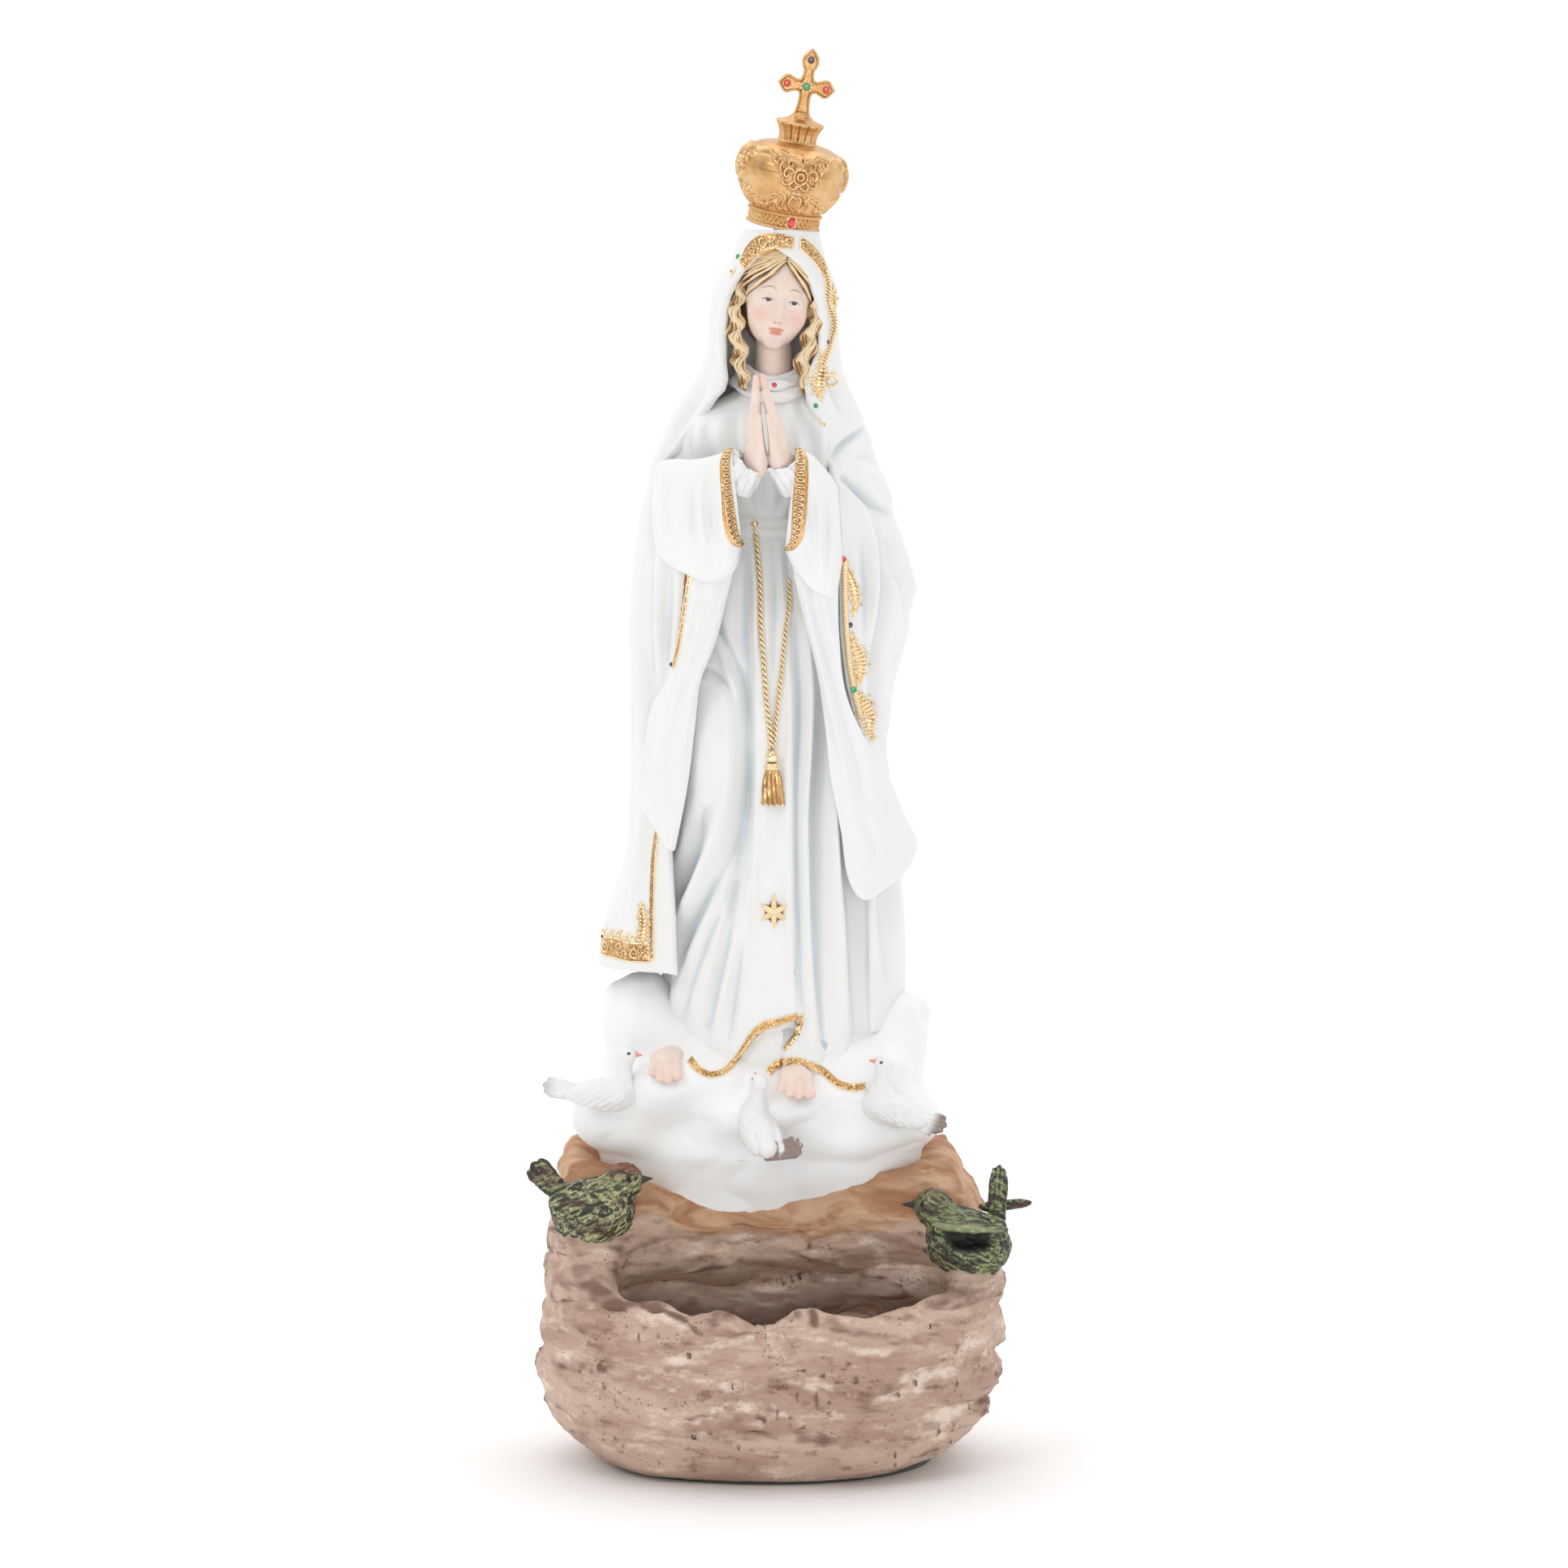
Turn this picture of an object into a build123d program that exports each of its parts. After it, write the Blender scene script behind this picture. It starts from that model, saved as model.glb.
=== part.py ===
from build123d import *
import math
import os

# Crowned Madonna statue of painted cast resin, standing on a cloud above a rock bowl.
#
# Row frame: +Z up, the statue faces -Y, +X is on the right of someone looking at its face.
# The origin is on the surface that it stands on, under the middle of the bowl.
# Each node is one casting, gilded relief or fitting, as a simple closed solid at its real size.

# ---- driving dimensions, in millimetres -------------------------------------------------
FELT_THICKNESS = 1.5
ROCK_HALF_WIDTH = 102.0
ROCK_HALF_DEPTH = 77.0
RIM_HEIGHT = 90.0            # rim of the bowl, at its middle
RIM_FALL = 0.085             # it falls from left to right by this much for each millimetre
BOWL_FLOOR = 30.0
HEM_HEIGHT = 172.0
WAIST_HEIGHT = 413.0
HEAD_CENTRE = (3.0, -1.0, 512.0)
HEAD_RADII = (15.5, 18.5, 22.0)
HEAD_ROLL = 9.8              # degrees that the top of the head leans towards +X
HEAD_PITCH = 7.0             # and towards -Y
CROWN_SEAT = (4.9, 1.5, 543.6)
CROWN_BAND_RADIUS = 15.6
CROWN_BULB_RADIUS = 23.8
CROWN_BAND_TOP = 7.5         # the crown's own heights run along its leaning axis
CROWN_BULB_TOP = 37.0
CROWN_COLLAR_TOP = 45.0
CROWN_TOP = 78.0
CROSS_CENTRE = 61.5
CROSS_HALF_SPAN = 12.6
CROSS_THICKNESS = 4.6
PEG_WIDTH = 7.0
PEG_HEIGHT = 13.0
PEG_CLEARANCE = 0.2
SEAT_GAP = 0.3
GEM_RADIUS = 1.3
CLOTH = 5.0                  # thickness of the cast mantle
TRIM_RADIUS = 1.3            # half the width of a gilded border

# Rings are (height, centre x, centre y, half width, half depth).
ROCK_RINGS = [
    (FELT_THICKNESS, -1, -6, 76, 58), (6, -1, -7, 84, 64), (14, -1, -8, 92, 69),
    (32, 0, -10, ROCK_HALF_WIDTH - 2, ROCK_HALF_DEPTH - 2), (62, 0, -10, ROCK_HALF_WIDTH, ROCK_HALF_DEPTH),
    (88, 0, -8, ROCK_HALF_WIDTH - 2, ROCK_HALF_DEPTH - 3), (106, -1, -1, 95, 64), (122, -2, 8, 90, 54),
    (138, -5, 14, 82, 44),
]
BOWL_RINGS = [
    (BOWL_FLOOR, 3, -43, 56, 18), (38, 4, -45, 67, 23), (54, 5, -45, 74, 26), (76, 5, -45, 77, 27),
    (124, 5, -45, 78, 28),
]
CLOUD_RINGS = [
    (110, -12, -2, 26, 22), (120, -8, 4, 52, 34), (134, -5, 9, 77, 43), (150, -6, 11, 80, 44),
    (165, -7, 13, 78, 41), (180, -5, 15, 74, 38), (196, -3, 17, 73, 35), (205, -1, 18, 70, 32),
]
TUNIC_RINGS = [
    (HEM_HEIGHT, 4, 5, 43, 37), (205, 1, 7, 45, 36), (260, -1, 10, 42, 32), (330, -2, 12, 37, 28),
    (380, -1, 13, 29, 23), (WAIST_HEIGHT, 0, 14, 21, 18), (425, 0, 14, 24, 19), (442, 0, 14, 29, 20),
    (458, 1, 13, 31, 18), (468, 1, 11, 26, 16), (476, 1, 8, 15, 13), (482, 1, 7, 12, 11),
]
MANTLE_RINGS = [
    (206, -10, 12, 67, 41), (245, -7, 12, 64, 40), (280, -4.5, 12, 59, 38), (345, -3, 12, 58.5, 37),
    (385, 1, 12, 62.5, 36), (415, 0, 12, 56, 35), (440, -3, 12, 49, 32), (460, -1, 11, 41, 28),
    (480, 0, 8, 32.5, 25), (505, 1.5, 5, 28, 23.5), (520, 2, 4, 26.5, 22.5), (532, 3.5, 2.5, 21.5, 20.5),
    (546, 5, 1.5, 16.5, 16.5),
]
MANTLE_FRONT = [  # outline of the opening, seen from the front
    (-47, 190), (45, 190), (41, 330), (41, 400), (30, 448), (20, 464), (20.5, 505), (17, 522), (10, 533),
    (0, 535), (-10, 530), (-17, 518), (-19, 505), (-18, 464), (-33, 448), (-44, 400), (-44, 330),
]
SLEEVE_RINGS = [  # left sleeve, from its hanging edge up to the shoulder
    (391, -29, -30, 13, 10), (398, -32, -29, 20, 15), (418, -34, -26, 24, 18), (436, -35, -19, 21.5, 18),
    (450, -33, -9, 16, 16), (462, -27, 2, 9, 11),
]
PANEL_RINGS_LEFT = [
    (263, -41, -24, 3, 3), (280, -45, -23, 9, 5), (320, -43, -24, 12, 5), (360, -34, -26, 13, 5),
    (390, -28, -27, 13, 6),
]
PANEL_RINGS_RIGHT = [
    (254, 40, -25, 4, 4), (272, 48, -22, 15, 5), (310, 40, -23, 14, 5), (350, 30, -25, 13, 5),
    (386, 24, -27, 12, 6),
]
SLEEVE_RINGS_RIGHT = [(h, -x, y, rx, ry) for h, x, y, rx, ry in SLEEVE_RINGS]

# Gilded borders: the body they lie on, places (x, height) on its front, and the nodes under them.
BORDERS = {
    "veil_border": (
        MANTLE_RINGS,
        [(-16, 524), (-10.5, 533.5), (0, 538), (11, 536), (18.5, 524), (22, 505), (22, 485), (21.5, 466)],
        ["mantle", "hair_cap"],
    ),
    "sleeve_border_left": (
        SLEEVE_RINGS, [(-18, 446), (-14, 434), (-12.5, 420), (-14, 409)], ["sleeve_left", "cuff_left"],
    ),
    "sleeve_border_right": (
        SLEEVE_RINGS_RIGHT, [(18, 446), (14, 434), (12.5, 420), (14, 409)], ["sleeve_right", "cuff_right"],
    ),
    "panel_border_left": (
        PANEL_RINGS_LEFT, [(-37, 387), (-41, 372), (-44, 356)], ["mantle_panel_left", "sleeve_left"],
    ),
    "panel_border_right": (
        PANEL_RINGS_RIGHT, [(26, 383), (28, 360), (32, 336)], ["mantle_panel_right", "sleeve_right"],
    ),
    "mantle_border_left": (MANTLE_RINGS, [(-49.5, 290), (-50, 255), (-50.5, 214)], ["mantle", "tunic"]),
    "mantle_hem_border": (MANTLE_RINGS, [(-72, 211), (-62, 209.5), (-53, 210)], ["mantle"]),
    "tunic_hem_border_left": (
        TUNIC_RINGS, [(-32, 183), (-25, 178.5), (-16, 183), (-7, 198), (4, 203)], ["tunic"],
    ),
    "tunic_hem_border_right": (
        TUNIC_RINGS, [(0, 180), (9, 184), (19, 180.5), (30, 175), (38, 175)], ["tunic", "foot_right"],
    ),
}
# Round stones: the body they sit on, x, height, and the nodes under them.
STONES = {
    "green": [
        (MANTLE_RINGS, -13.5, 529, ["mantle", "veil_border"]),
        (MANTLE_RINGS, 23.5, 468, ["mantle", "veil_border"]),
        (PANEL_RINGS_RIGHT, 31, 341, ["mantle_panel_right", "panel_border_right"]),
    ],
    "dark": [
        (MANTLE_RINGS, 23.5, 495, ["mantle", "veil_border"]),
        (PANEL_RINGS_RIGHT, 28, 361, ["mantle_panel_right", "panel_border_right"]),
        (PANEL_RINGS_LEFT, -43.5, 358, ["mantle_panel_left", "panel_border_left"]),
    ],
    "red": [
        (TUNIC_RINGS, -3.5, 474, ["tunic"]),
        (PANEL_RINGS_RIGHT, 26.3, 380, ["mantle_panel_right", "panel_border_right"]),
        (PANEL_RINGS_LEFT, -40, 375, ["mantle_panel_left", "panel_border_left"]),
    ],
}
WREN_LEFT = (-79.0, -36.0, 118.0)
WREN_RIGHT = (86.0, -38.0, 103.0)
DOVE_LEFT = (-70.0, -27.0, 166.0)
DOVE_MIDDLE = (-5.0, -45.0, 150.0)
DOVE_RIGHT = (53.0, -31.0, 161.0)


# ---- shapes that several pieces share -----------------------------------------------------
def body_of_rings(rings):
    """A closed solid through elliptical rings."""
    with BuildPart() as part:
        for height, x, y, half_width, half_depth in rings:
            with BuildSketch(Plane(origin=(x, y, height))):
                Ellipse(half_width, half_depth)
        loft(ruled=True)
    return part.part


def ellipsoid(centre, radii, turn=(0, 0, 0)):
    """An ellipsoid, turned about its own centre."""
    return Location(centre, turn) * scale(Sphere(1), by=radii)


def mirrored(rings, about_x=1.0):
    """The same rings on the other side of the body."""
    return [(h, 2 * about_x - x, y, rx, ry) for h, x, y, rx, ry in rings]


def bar(points, radius):
    """A round bar that runs smoothly through points."""
    path = Spline(*points)
    return sweep(Plane(path @ 0, z_dir=path % 0) * Circle(radius), path=path)


def front_of(rings, x, height):
    """How far forward a body of rings comes at a place on its front."""
    for lower, upper in zip(rings, rings[1:]):
        if lower[0] <= height <= upper[0]:
            part = (height - lower[0]) / (upper[0] - lower[0])
            ring = [a + part * (b - a) for a, b in zip(lower[1:], upper[1:])]
            across = min(1, abs(x - ring[0]) / ring[2])
            return ring[1] - ring[3] * math.sqrt(1 - across**2)
    raise ValueError("the place is above or below the body")


def border(rings, places):
    """A gilded bead along places (x, height) on the front of a body of rings."""
    return bar([(x, front_of(rings, x, height) - 0.4, height) for x, height in places], TRIM_RADIUS)


def without(piece, *others):
    """What is left of a piece once its neighbours have their room, with no slivers."""
    for other in others:
        piece = piece - other
    return max(piece.solids(), key=lambda solid: solid.volume)


def in_crown(height=0.0, x=0.0, y=0.0):
    """A place in the crown's own leaning frame."""
    return Location(CROWN_SEAT) * Location((0, 0, 0), (HEAD_PITCH, HEAD_ROLL, 0)) * Location((x, y, height))


# ---- bowl and cloud ------------------------------------------------------------------------
def base_felt():
    return extrude(Location((-1, -6, 0)) * Ellipse(72, 54), FELT_THICKNESS)


def bowl_space():
    """The hollow of the bowl and the air over its rim."""
    back, front, sky = -17.0, -110.0, 190.0
    outline = Polyline(
        (front, RIM_HEIGHT - 9), (back - 12, RIM_HEIGHT + 2), (back - 1, RIM_HEIGHT + 16), (back + 7, sky),
        (front, sky), close=True,
    )
    above_rim = extrude(Plane.YZ * make_face(outline), 140, both=True)
    lean = math.degrees(math.atan(RIM_FALL))
    turned = Pos(0, 0, RIM_HEIGHT) * Rotation(0, lean, 0) * Pos(0, 0, -RIM_HEIGHT) * above_rim
    return body_of_rings(BOWL_RINGS) + turned


def rock_basin(cloud, *birds):
    return without(body_of_rings(ROCK_RINGS), bowl_space(), cloud, *birds)


def foot(x, y, z, half_width):
    return ellipsoid((x, y, z), (half_width, 15, 6.5))


# ---- figure --------------------------------------------------------------------------------
def head():
    turn = (HEAD_PITCH, HEAD_ROLL, 0)
    neck = body_of_rings([(474, 1, 5, 8.6, 8.6), (488, 2, 4, 7.8, 8.2), (504, 3, 3, 8.5, 9)])
    return ellipsoid(HEAD_CENTRE, HEAD_RADII, turn) + neck


def hair_cap(skull):
    """The hair over the brow and temples, between the face and the veil."""
    turn = (HEAD_PITCH, HEAD_ROLL, 0)
    outer = ellipsoid((HEAD_CENTRE[0], HEAD_CENTRE[1] + 2.5, HEAD_CENTRE[2] + 1), (18, 18.6, 23.2), turn)
    face = Location(HEAD_CENTRE, turn) * Location((0, -16, -5)) * scale(Sphere(1), by=(13.5, 14, 20))
    return without(outer, face, skull)


def hair_lock(side):
    """A long wavy lock beside the neck; side is +1 on the left and -1 on the right."""
    x = 2 - 15.5 * side
    rings = [
        (470, x + 3 * side, -13, 5, 4), (482, x - 0.5 * side, -11, 5, 4.5), (495, x + 1.5 * side, -8, 5, 5),
        (508, x + 1.5 * side, -5, 4, 5), (518, x + 2.5 * side, -4, 3, 4),
    ]
    return body_of_rings(rings)


def hand(side):
    """One of the two palms, pressed together with the fingers up."""
    x = -0.4
    rings = [
        (438, x - 8.6 * side, -42, 5.2, 7), (450, x - 6.2 * side, -44, 5.0, 8),
        (464, x - 4.4 * side, -45, 4.0, 7.5), (475, x - 2.8 * side, -45, 2.5, 5.5),
        (479, x - 2.2 * side, -45, 1.6, 4),
    ]
    return body_of_rings(rings)


def cuff(side):
    x = -0.4
    rings = [
        (425, x - 15 * side, -35, 5.5, 8),
        (434, x - 13 * side, -39, 7, 9),
        (443, x - 9.6 * side, -42, 6.6, 8.6),
    ]
    return body_of_rings(rings)


def mantle():
    """The cloak and veil: a shell that is open in front."""
    crown_of_head = [(538, 4, 2, 12, 12)]
    lining = [(h, x, y, rx - CLOTH, ry - CLOTH) for h, x, y, rx, ry in MANTLE_RINGS[:-1]] + crown_of_head
    lining[0] = (200,) + lining[0][1:]
    front = Pos(0, 1, 0) * extrude(Plane.XZ * make_face(Polyline(*MANTLE_FRONT, close=True)), 100)
    above_seat = in_crown(-SEAT_GAP) * Pos(0, 0, 20) * Box(80, 80, 40)
    return without(body_of_rings(MANTLE_RINGS), body_of_rings(lining), front, above_seat)


def waist_sash():
    rings = [(WAIST_HEIGHT - 4, 0, 13.5, 23, 20), (WAIST_HEIGHT + 3, 0, 13.5, 22.6, 19.6)]
    return body_of_rings(rings)


# ---- crown ---------------------------------------------------------------------------------
def socket():
    wide = PEG_WIDTH + 2 * PEG_CLEARANCE
    return Pos(0, 0, PEG_HEIGHT / 2) * Box(wide, wide, PEG_HEIGHT + 2)


def crown_band():
    ring = Cylinder(CROWN_BAND_RADIUS, CROWN_BAND_TOP, align=(Align.CENTER, Align.CENTER, Align.MIN))
    for height in (0.8, CROWN_BAND_TOP - 0.8):
        ring += Pos(0, 0, height) * Torus(CROWN_BAND_RADIUS - 0.1, 0.7)
    return in_crown() * (ring - socket())


def crown_bulb():
    """The bulbous upper part, turned about the crown's axis."""
    start, end = (15.2, CROWN_BAND_TOP), (8.4, CROWN_BULB_TOP)
    along = (19.6, 13.5), (CROWN_BULB_RADIUS, 24.5), (19.4, 33.5)
    side = Spline(start, *along, end, tangents=((0.7, 1), (-1, 0.1)))
    axis = Polyline(end, (0, CROWN_BULB_TOP), (0, CROWN_BAND_TOP), start)
    return in_crown() * (revolve(Plane.XZ * make_face(Curve() + side + axis), Axis.Z) - socket())


def crown_collar():
    """The fluted cup under the cross."""
    flutes = 16
    cup = loft([Circle(8.6), Pos(0, 0, 3) * Circle(8.2), Pos(0, 0, 8) * Circle(10.4)])
    for i in range(flutes):
        turn = Rotation(0, 0, 360 * (i + 0.5) / flutes)
        cup -= turn * Pos(10.3, 0, 3.4) * Rotation(0, 12, 0) * Cylinder(1.3, 6.2)
    return in_crown(CROWN_BULB_TOP) * cup


def crown_cross():
    """A pointed cross on a flared stem, with a raised border round a sunk face."""
    s, c, top, foot_z = CROSS_HALF_SPAN, CROSS_CENTRE, CROWN_TOP, CROWN_COLLAR_TOP
    right = [
        (6.4, foot_z), (3.4, foot_z + 5.5), (2.4, c - 4.6), (2.7, c - 2.7), (s - 5.2, c - 3.6),
        (s - 1.6, c - 1.9), (s, c), (s - 1.6, c + 1.9), (s - 5.2, c + 3.6), (2.7, c + 2.7),
        (2.3, top - 9.0), (3.7, top - 5.6), (2.2, top - 2.0), (0, top),
    ]
    outline = right + [(-x, z) for x, z in reversed(right[:-1])]
    face = make_face(Polyline(*outline, close=True))
    plate = extrude(Plane.XZ * face, CROSS_THICKNESS / 2, both=True)
    sunk = extrude(Plane.XZ * offset(face, amount=-0.9, kind=Kind.INTERSECTION), 0.6, both=True)
    for front in (-1, 1):
        plate -= Pos(0, front * CROSS_THICKNESS / 2, 0) * sunk
    boss = Pos(0, 0, c) * Rotation(90, 0, 0) * Cylinder(2.6, CROSS_THICKNESS + 0.4)
    return in_crown() * (plate + boss)


def crown_peg():
    """The square dowel in the top of the veil, which the crown drops over."""
    bottom = -3.5
    return in_crown() * Pos(0, 0, (PEG_HEIGHT + bottom) / 2) * Box(PEG_WIDTH, PEG_WIDTH, PEG_HEIGHT - bottom)


# ---- birds ---------------------------------------------------------------------------------
def plump(half_length, radius):
    """A bird's body along X: full at the breast and tapered to the tail."""
    profile = [(-1, 0.25), (-0.55, 0.66), (-0.1, 0.94), (0.3, 1), (0.65, 0.86), (0.9, 0.5), (1, 0.2)]
    sections = [Plane.YZ.offset(along * half_length) * Circle(wide * radius) for along, wide in profile]
    return loft(sections)


def dove(at, heading, pitch):
    """A dove at rest: body, raised neck and head, beak and fan tail, facing +X before it turns."""
    body = Rotation(0, 12, 0) * plump(14, 8)
    neck = body_of_rings([(2, 7.5, 0, 5.4, 5.2), (11, 9.6, 0, 4, 4), (16, 10.2, 0, 3.8, 3.8)])
    skull = Pos(10.6, 0, 17) * Sphere(4.4)
    beak = Pos(16, 0, 16.6) * Rotation(0, 100, 0) * Cone(1.3, 0.3, 4)
    tail = Pos(-17, 0, 3.5) * Rotation(0, 18, 0) * Box(16, 9, 2.6)
    turned = Location(at) * Rotation(0, 0, heading) * Rotation(0, pitch, 0)
    return turned * (body + neck + skull + beak + tail)


def wren(at, heading, tail_tilt, tail_reach):
    """A plump garden bird with a cocked tail, facing +X before it turns."""
    body = plump(18, 14.3)
    perch = body_of_rings([(-17, 0, 0, 10, 8), (-8, 1, 0, 9, 7.5)])
    skull = Pos(12.5, 0, 12.5) * Sphere(8.4)
    beak = Pos(23, 0, 12.8) * Rotation(0, 94, 0) * Cone(2.2, 0.3, 7)
    tail = Pos(-12, 0, 5.5) * Rotation(0, tail_tilt, 0) * Pos(-tail_reach / 2, 0, 0) * Box(tail_reach, 9, 4)
    return Location(at) * Rotation(0, 0, heading) * (body + perch + skull + beak + tail)


# ---- gilded relief and stones ----------------------------------------------------------------
def skirt_star():
    """A six-pointed star whose points rise to a ridge in the middle."""
    outer, inner, height = 6.6, 3.3, 3.0
    radii = [outer if i % 2 == 0 else inner for i in range(12)]
    rim = [(r * math.sin(i * math.pi / 6), 0, r * math.cos(i * math.pi / 6)) for i, r in enumerate(radii)]
    tip = (0, -height, 0)
    sides = [make_face(Polyline(rim[i], rim[(i + 1) % 12], tip, close=True)) for i in range(12)]
    back = make_face(Polyline(*rim, close=True))
    return Location((1, -23.6, 249.5), (5, 0, 0)) * Solid(Shell(sides + [back]))


def tassel():
    knob = Pos(0, 0, 317.5) * Sphere(3.0)
    neck = Pos(0, 0, 314.2) * Torus(2.7, 0.9)
    rings = [(295, 0, 0, 5.4, 3.0), (303, 0, 0, 5.0, 3.0), (311, 0, 0, 4.0, 2.8), (315, 0, 0, 2.8, 2.5)]
    skirt = body_of_rings(rings)
    return Pos(0.2, -20.5, 0) * (knob + neck + skirt)


def girdle_cord():
    """The twisted cord: two strands that hang from the sash and meet above the tassel."""
    meet = (0.2, -20.5, 319)
    left = bar([(-7, -9.5, 411), (-5.2, -15, 385), (-3.2, -18.4, 345), meet], 1.1)
    right = bar([(8.2, -14.2, 389), (5.5, -17, 362), (2.6, -19.3, 336), meet], 1.1)
    return left + right


def gem(radius=GEM_RADIUS, tall=1.0):
    """A round faceted stone facing -Y, with its girdle at the origin."""
    stone = loft([RegularPolygon(radius, 8), Pos(0, 0, 0.75 * radius) * RegularPolygon(0.55 * radius, 8)])
    return Rotation(90, 0, 0) * scale(stone, by=(1, tall, 1))


def cross_gem(x, height):
    raised = 0.2 if x == 0 and height == CROSS_CENTRE else -0.6
    return in_crown(height, x, -CROSS_THICKNESS / 2 - raised) * gem()


def stone_on(rings, x, height, *under):
    """A stone glued on the front of a body of rings, over the relief under it."""
    return without(Pos(x, front_of(rings, x, height) - 1.2, height) * gem(1.5), *under)


def crown_gem():
    turn = Rotation(0, 0, 12)
    return in_crown(CROWN_BAND_TOP / 2) * turn * Pos(0, -CROWN_BAND_RADIUS - 0.05, 0) * gem(1.6, 1.25)


def build():
    """Every node by name, each cut clear of the pieces that it is glued to."""
    cloud, tunic, skull, peg = body_of_rings(CLOUD_RINGS), body_of_rings(TUNIC_RINGS), head(), crown_peg()
    cap, sash = without(hair_cap(skull), peg), waist_sash()
    left, right = body_of_rings(SLEEVE_RINGS), body_of_rings(mirrored(SLEEVE_RINGS, 0))
    wrens = {"wren_left": wren(WREN_LEFT, -15, 38, 19), "wren_right": wren(WREN_RIGHT, 168, 62, 24)}
    doves = {
        "dove_left": dove(DOVE_LEFT, -8, -6),
        "dove_middle": dove(DOVE_MIDDLE, 150, -22),
        "dove_right": dove(DOVE_RIGHT, 172, -20),
    }
    feet = {"foot_left": foot(-44, -25, 180, 8), "foot_right": foot(9, -31, 172, 9.5)}

    nodes = {
        "base_felt": base_felt(),
        "rock_basin": rock_basin(cloud, *wrens.values()),
        "cloud_base": without(cloud, tunic, *feet.values(), *doves.values()),
        "tunic": without(tunic, skull, sash, *feet.values()),
        "waist_sash": sash,
        "head": skull,
        "hair_cap": cap,
        "crown_peg": peg,
        **feet,
        **doves,
        **wrens,
    }
    locks = {"hair_lock_left": hair_lock(1), "hair_lock_right": hair_lock(-1)}
    for name, piece in locks.items():
        nodes[name] = without(piece, cap, tunic, skull)
    nodes["mantle"] = without(mantle(), tunic, cap, peg, cloud, *locks.values())
    for name, side, sleeve in (("left", 1, left), ("right", -1, right)):
        palm, wrist = hand(side), cuff(side)
        nodes[f"hand_{name}"] = without(palm, tunic)
        nodes[f"cuff_{name}"] = without(wrist, palm, tunic)
        nodes[f"sleeve_{name}"] = without(sleeve, tunic, nodes["mantle"], wrist, palm)
    for name, rings, sleeve in (("left", PANEL_RINGS_LEFT, left), ("right", PANEL_RINGS_RIGHT, right)):
        nodes[f"mantle_panel_{name}"] = without(body_of_rings(rings), sleeve, tunic, nodes["mantle"])

    for name, (rings, places, under) in BORDERS.items():
        nodes[name] = without(border(rings, places), *(nodes[node] for node in under))
    hems = (nodes["tunic_hem_border_left"], nodes["tunic_hem_border_right"])
    nodes["cloud_base"] = without(nodes["cloud_base"], *hems)
    nodes["hair_lock_right"] = without(nodes["hair_lock_right"], nodes["veil_border"])
    nodes["skirt_star"] = without(skirt_star(), tunic)
    nodes["girdle_cord"] = without(girdle_cord(), tunic, sash)
    nodes["tassel"] = without(tassel(), tunic, nodes["girdle_cord"])
    nodes["crown_band"], nodes["crown_bulb"] = crown_band(), crown_bulb()
    nodes["crown_collar"], nodes["crown_cross"] = crown_collar(), crown_cross()
    arm, tip = CROSS_HALF_SPAN - 4.0, CROWN_TOP - 5.0
    nodes["cross_gem_middle"] = cross_gem(0, CROSS_CENTRE)
    nodes["cross_gem_top"] = cross_gem(0, tip)
    nodes["cross_gems_on_arms"] = cross_gem(-arm, CROSS_CENTRE) + cross_gem(arm, CROSS_CENTRE)
    nodes["crown_gem"] = without(crown_gem(), nodes["crown_band"])
    for colour, places in STONES.items():
        stones = []
        for rings, x, height, under in places:
            stones.append(stone_on(rings, x, height, *(nodes[node] for node in under)))
        nodes[f"stones_{colour}"] = Part() + stones
    return nodes


def main():
    os.makedirs("parts", exist_ok=True)
    for name, shape in build().items():
        export_step(shape, f"parts/{name}.step")


main()
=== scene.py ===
"""Looks of a crowned Madonna statue: painted cast resin on a cloud above a rock bowl.

All shapes are worked out in millimetres in the row's frame (+Z up, the figure faces -Y)
and scaled to metres when they become meshes.
"""

import math

import bpy
import numpy as np
import openvdb
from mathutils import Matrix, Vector
from mathutils.bvhtree import BVHTree


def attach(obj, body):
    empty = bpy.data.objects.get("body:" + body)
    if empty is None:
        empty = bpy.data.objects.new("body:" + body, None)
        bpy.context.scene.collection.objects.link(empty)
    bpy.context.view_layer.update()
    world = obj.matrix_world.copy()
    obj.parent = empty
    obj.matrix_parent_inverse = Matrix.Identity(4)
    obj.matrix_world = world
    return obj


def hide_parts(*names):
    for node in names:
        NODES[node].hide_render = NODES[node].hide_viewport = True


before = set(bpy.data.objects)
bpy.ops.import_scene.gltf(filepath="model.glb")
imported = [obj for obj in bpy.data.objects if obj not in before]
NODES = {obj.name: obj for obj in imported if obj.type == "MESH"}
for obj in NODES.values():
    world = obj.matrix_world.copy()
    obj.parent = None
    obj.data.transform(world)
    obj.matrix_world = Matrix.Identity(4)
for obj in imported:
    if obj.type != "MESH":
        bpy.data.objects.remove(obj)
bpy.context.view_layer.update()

MM = 0.001
PIECES = {}


# ---------------------------------------------------------------- curves and fields
def smooth_values(x, xs, ys):
    """A smooth curve through (xs, ys), read at x."""
    xs, ys = np.asarray(xs, float), np.asarray(ys, float)
    x = np.clip(x, xs[0], xs[-1])
    slopes = np.gradient(ys, xs)
    i = np.clip(np.searchsorted(xs, x) - 1, 0, len(xs) - 2)
    width = xs[i + 1] - xs[i]
    t = (x - xs[i]) / width
    a = (1 + 2 * t) * (1 - t) ** 2
    b = t * (1 - t) ** 2
    c = t * t * (3 - 2 * t)
    d = t * t * (t - 1)
    return a * ys[i] + b * width * slopes[i] + c * ys[i + 1] + d * width * slopes[i + 1]


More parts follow.
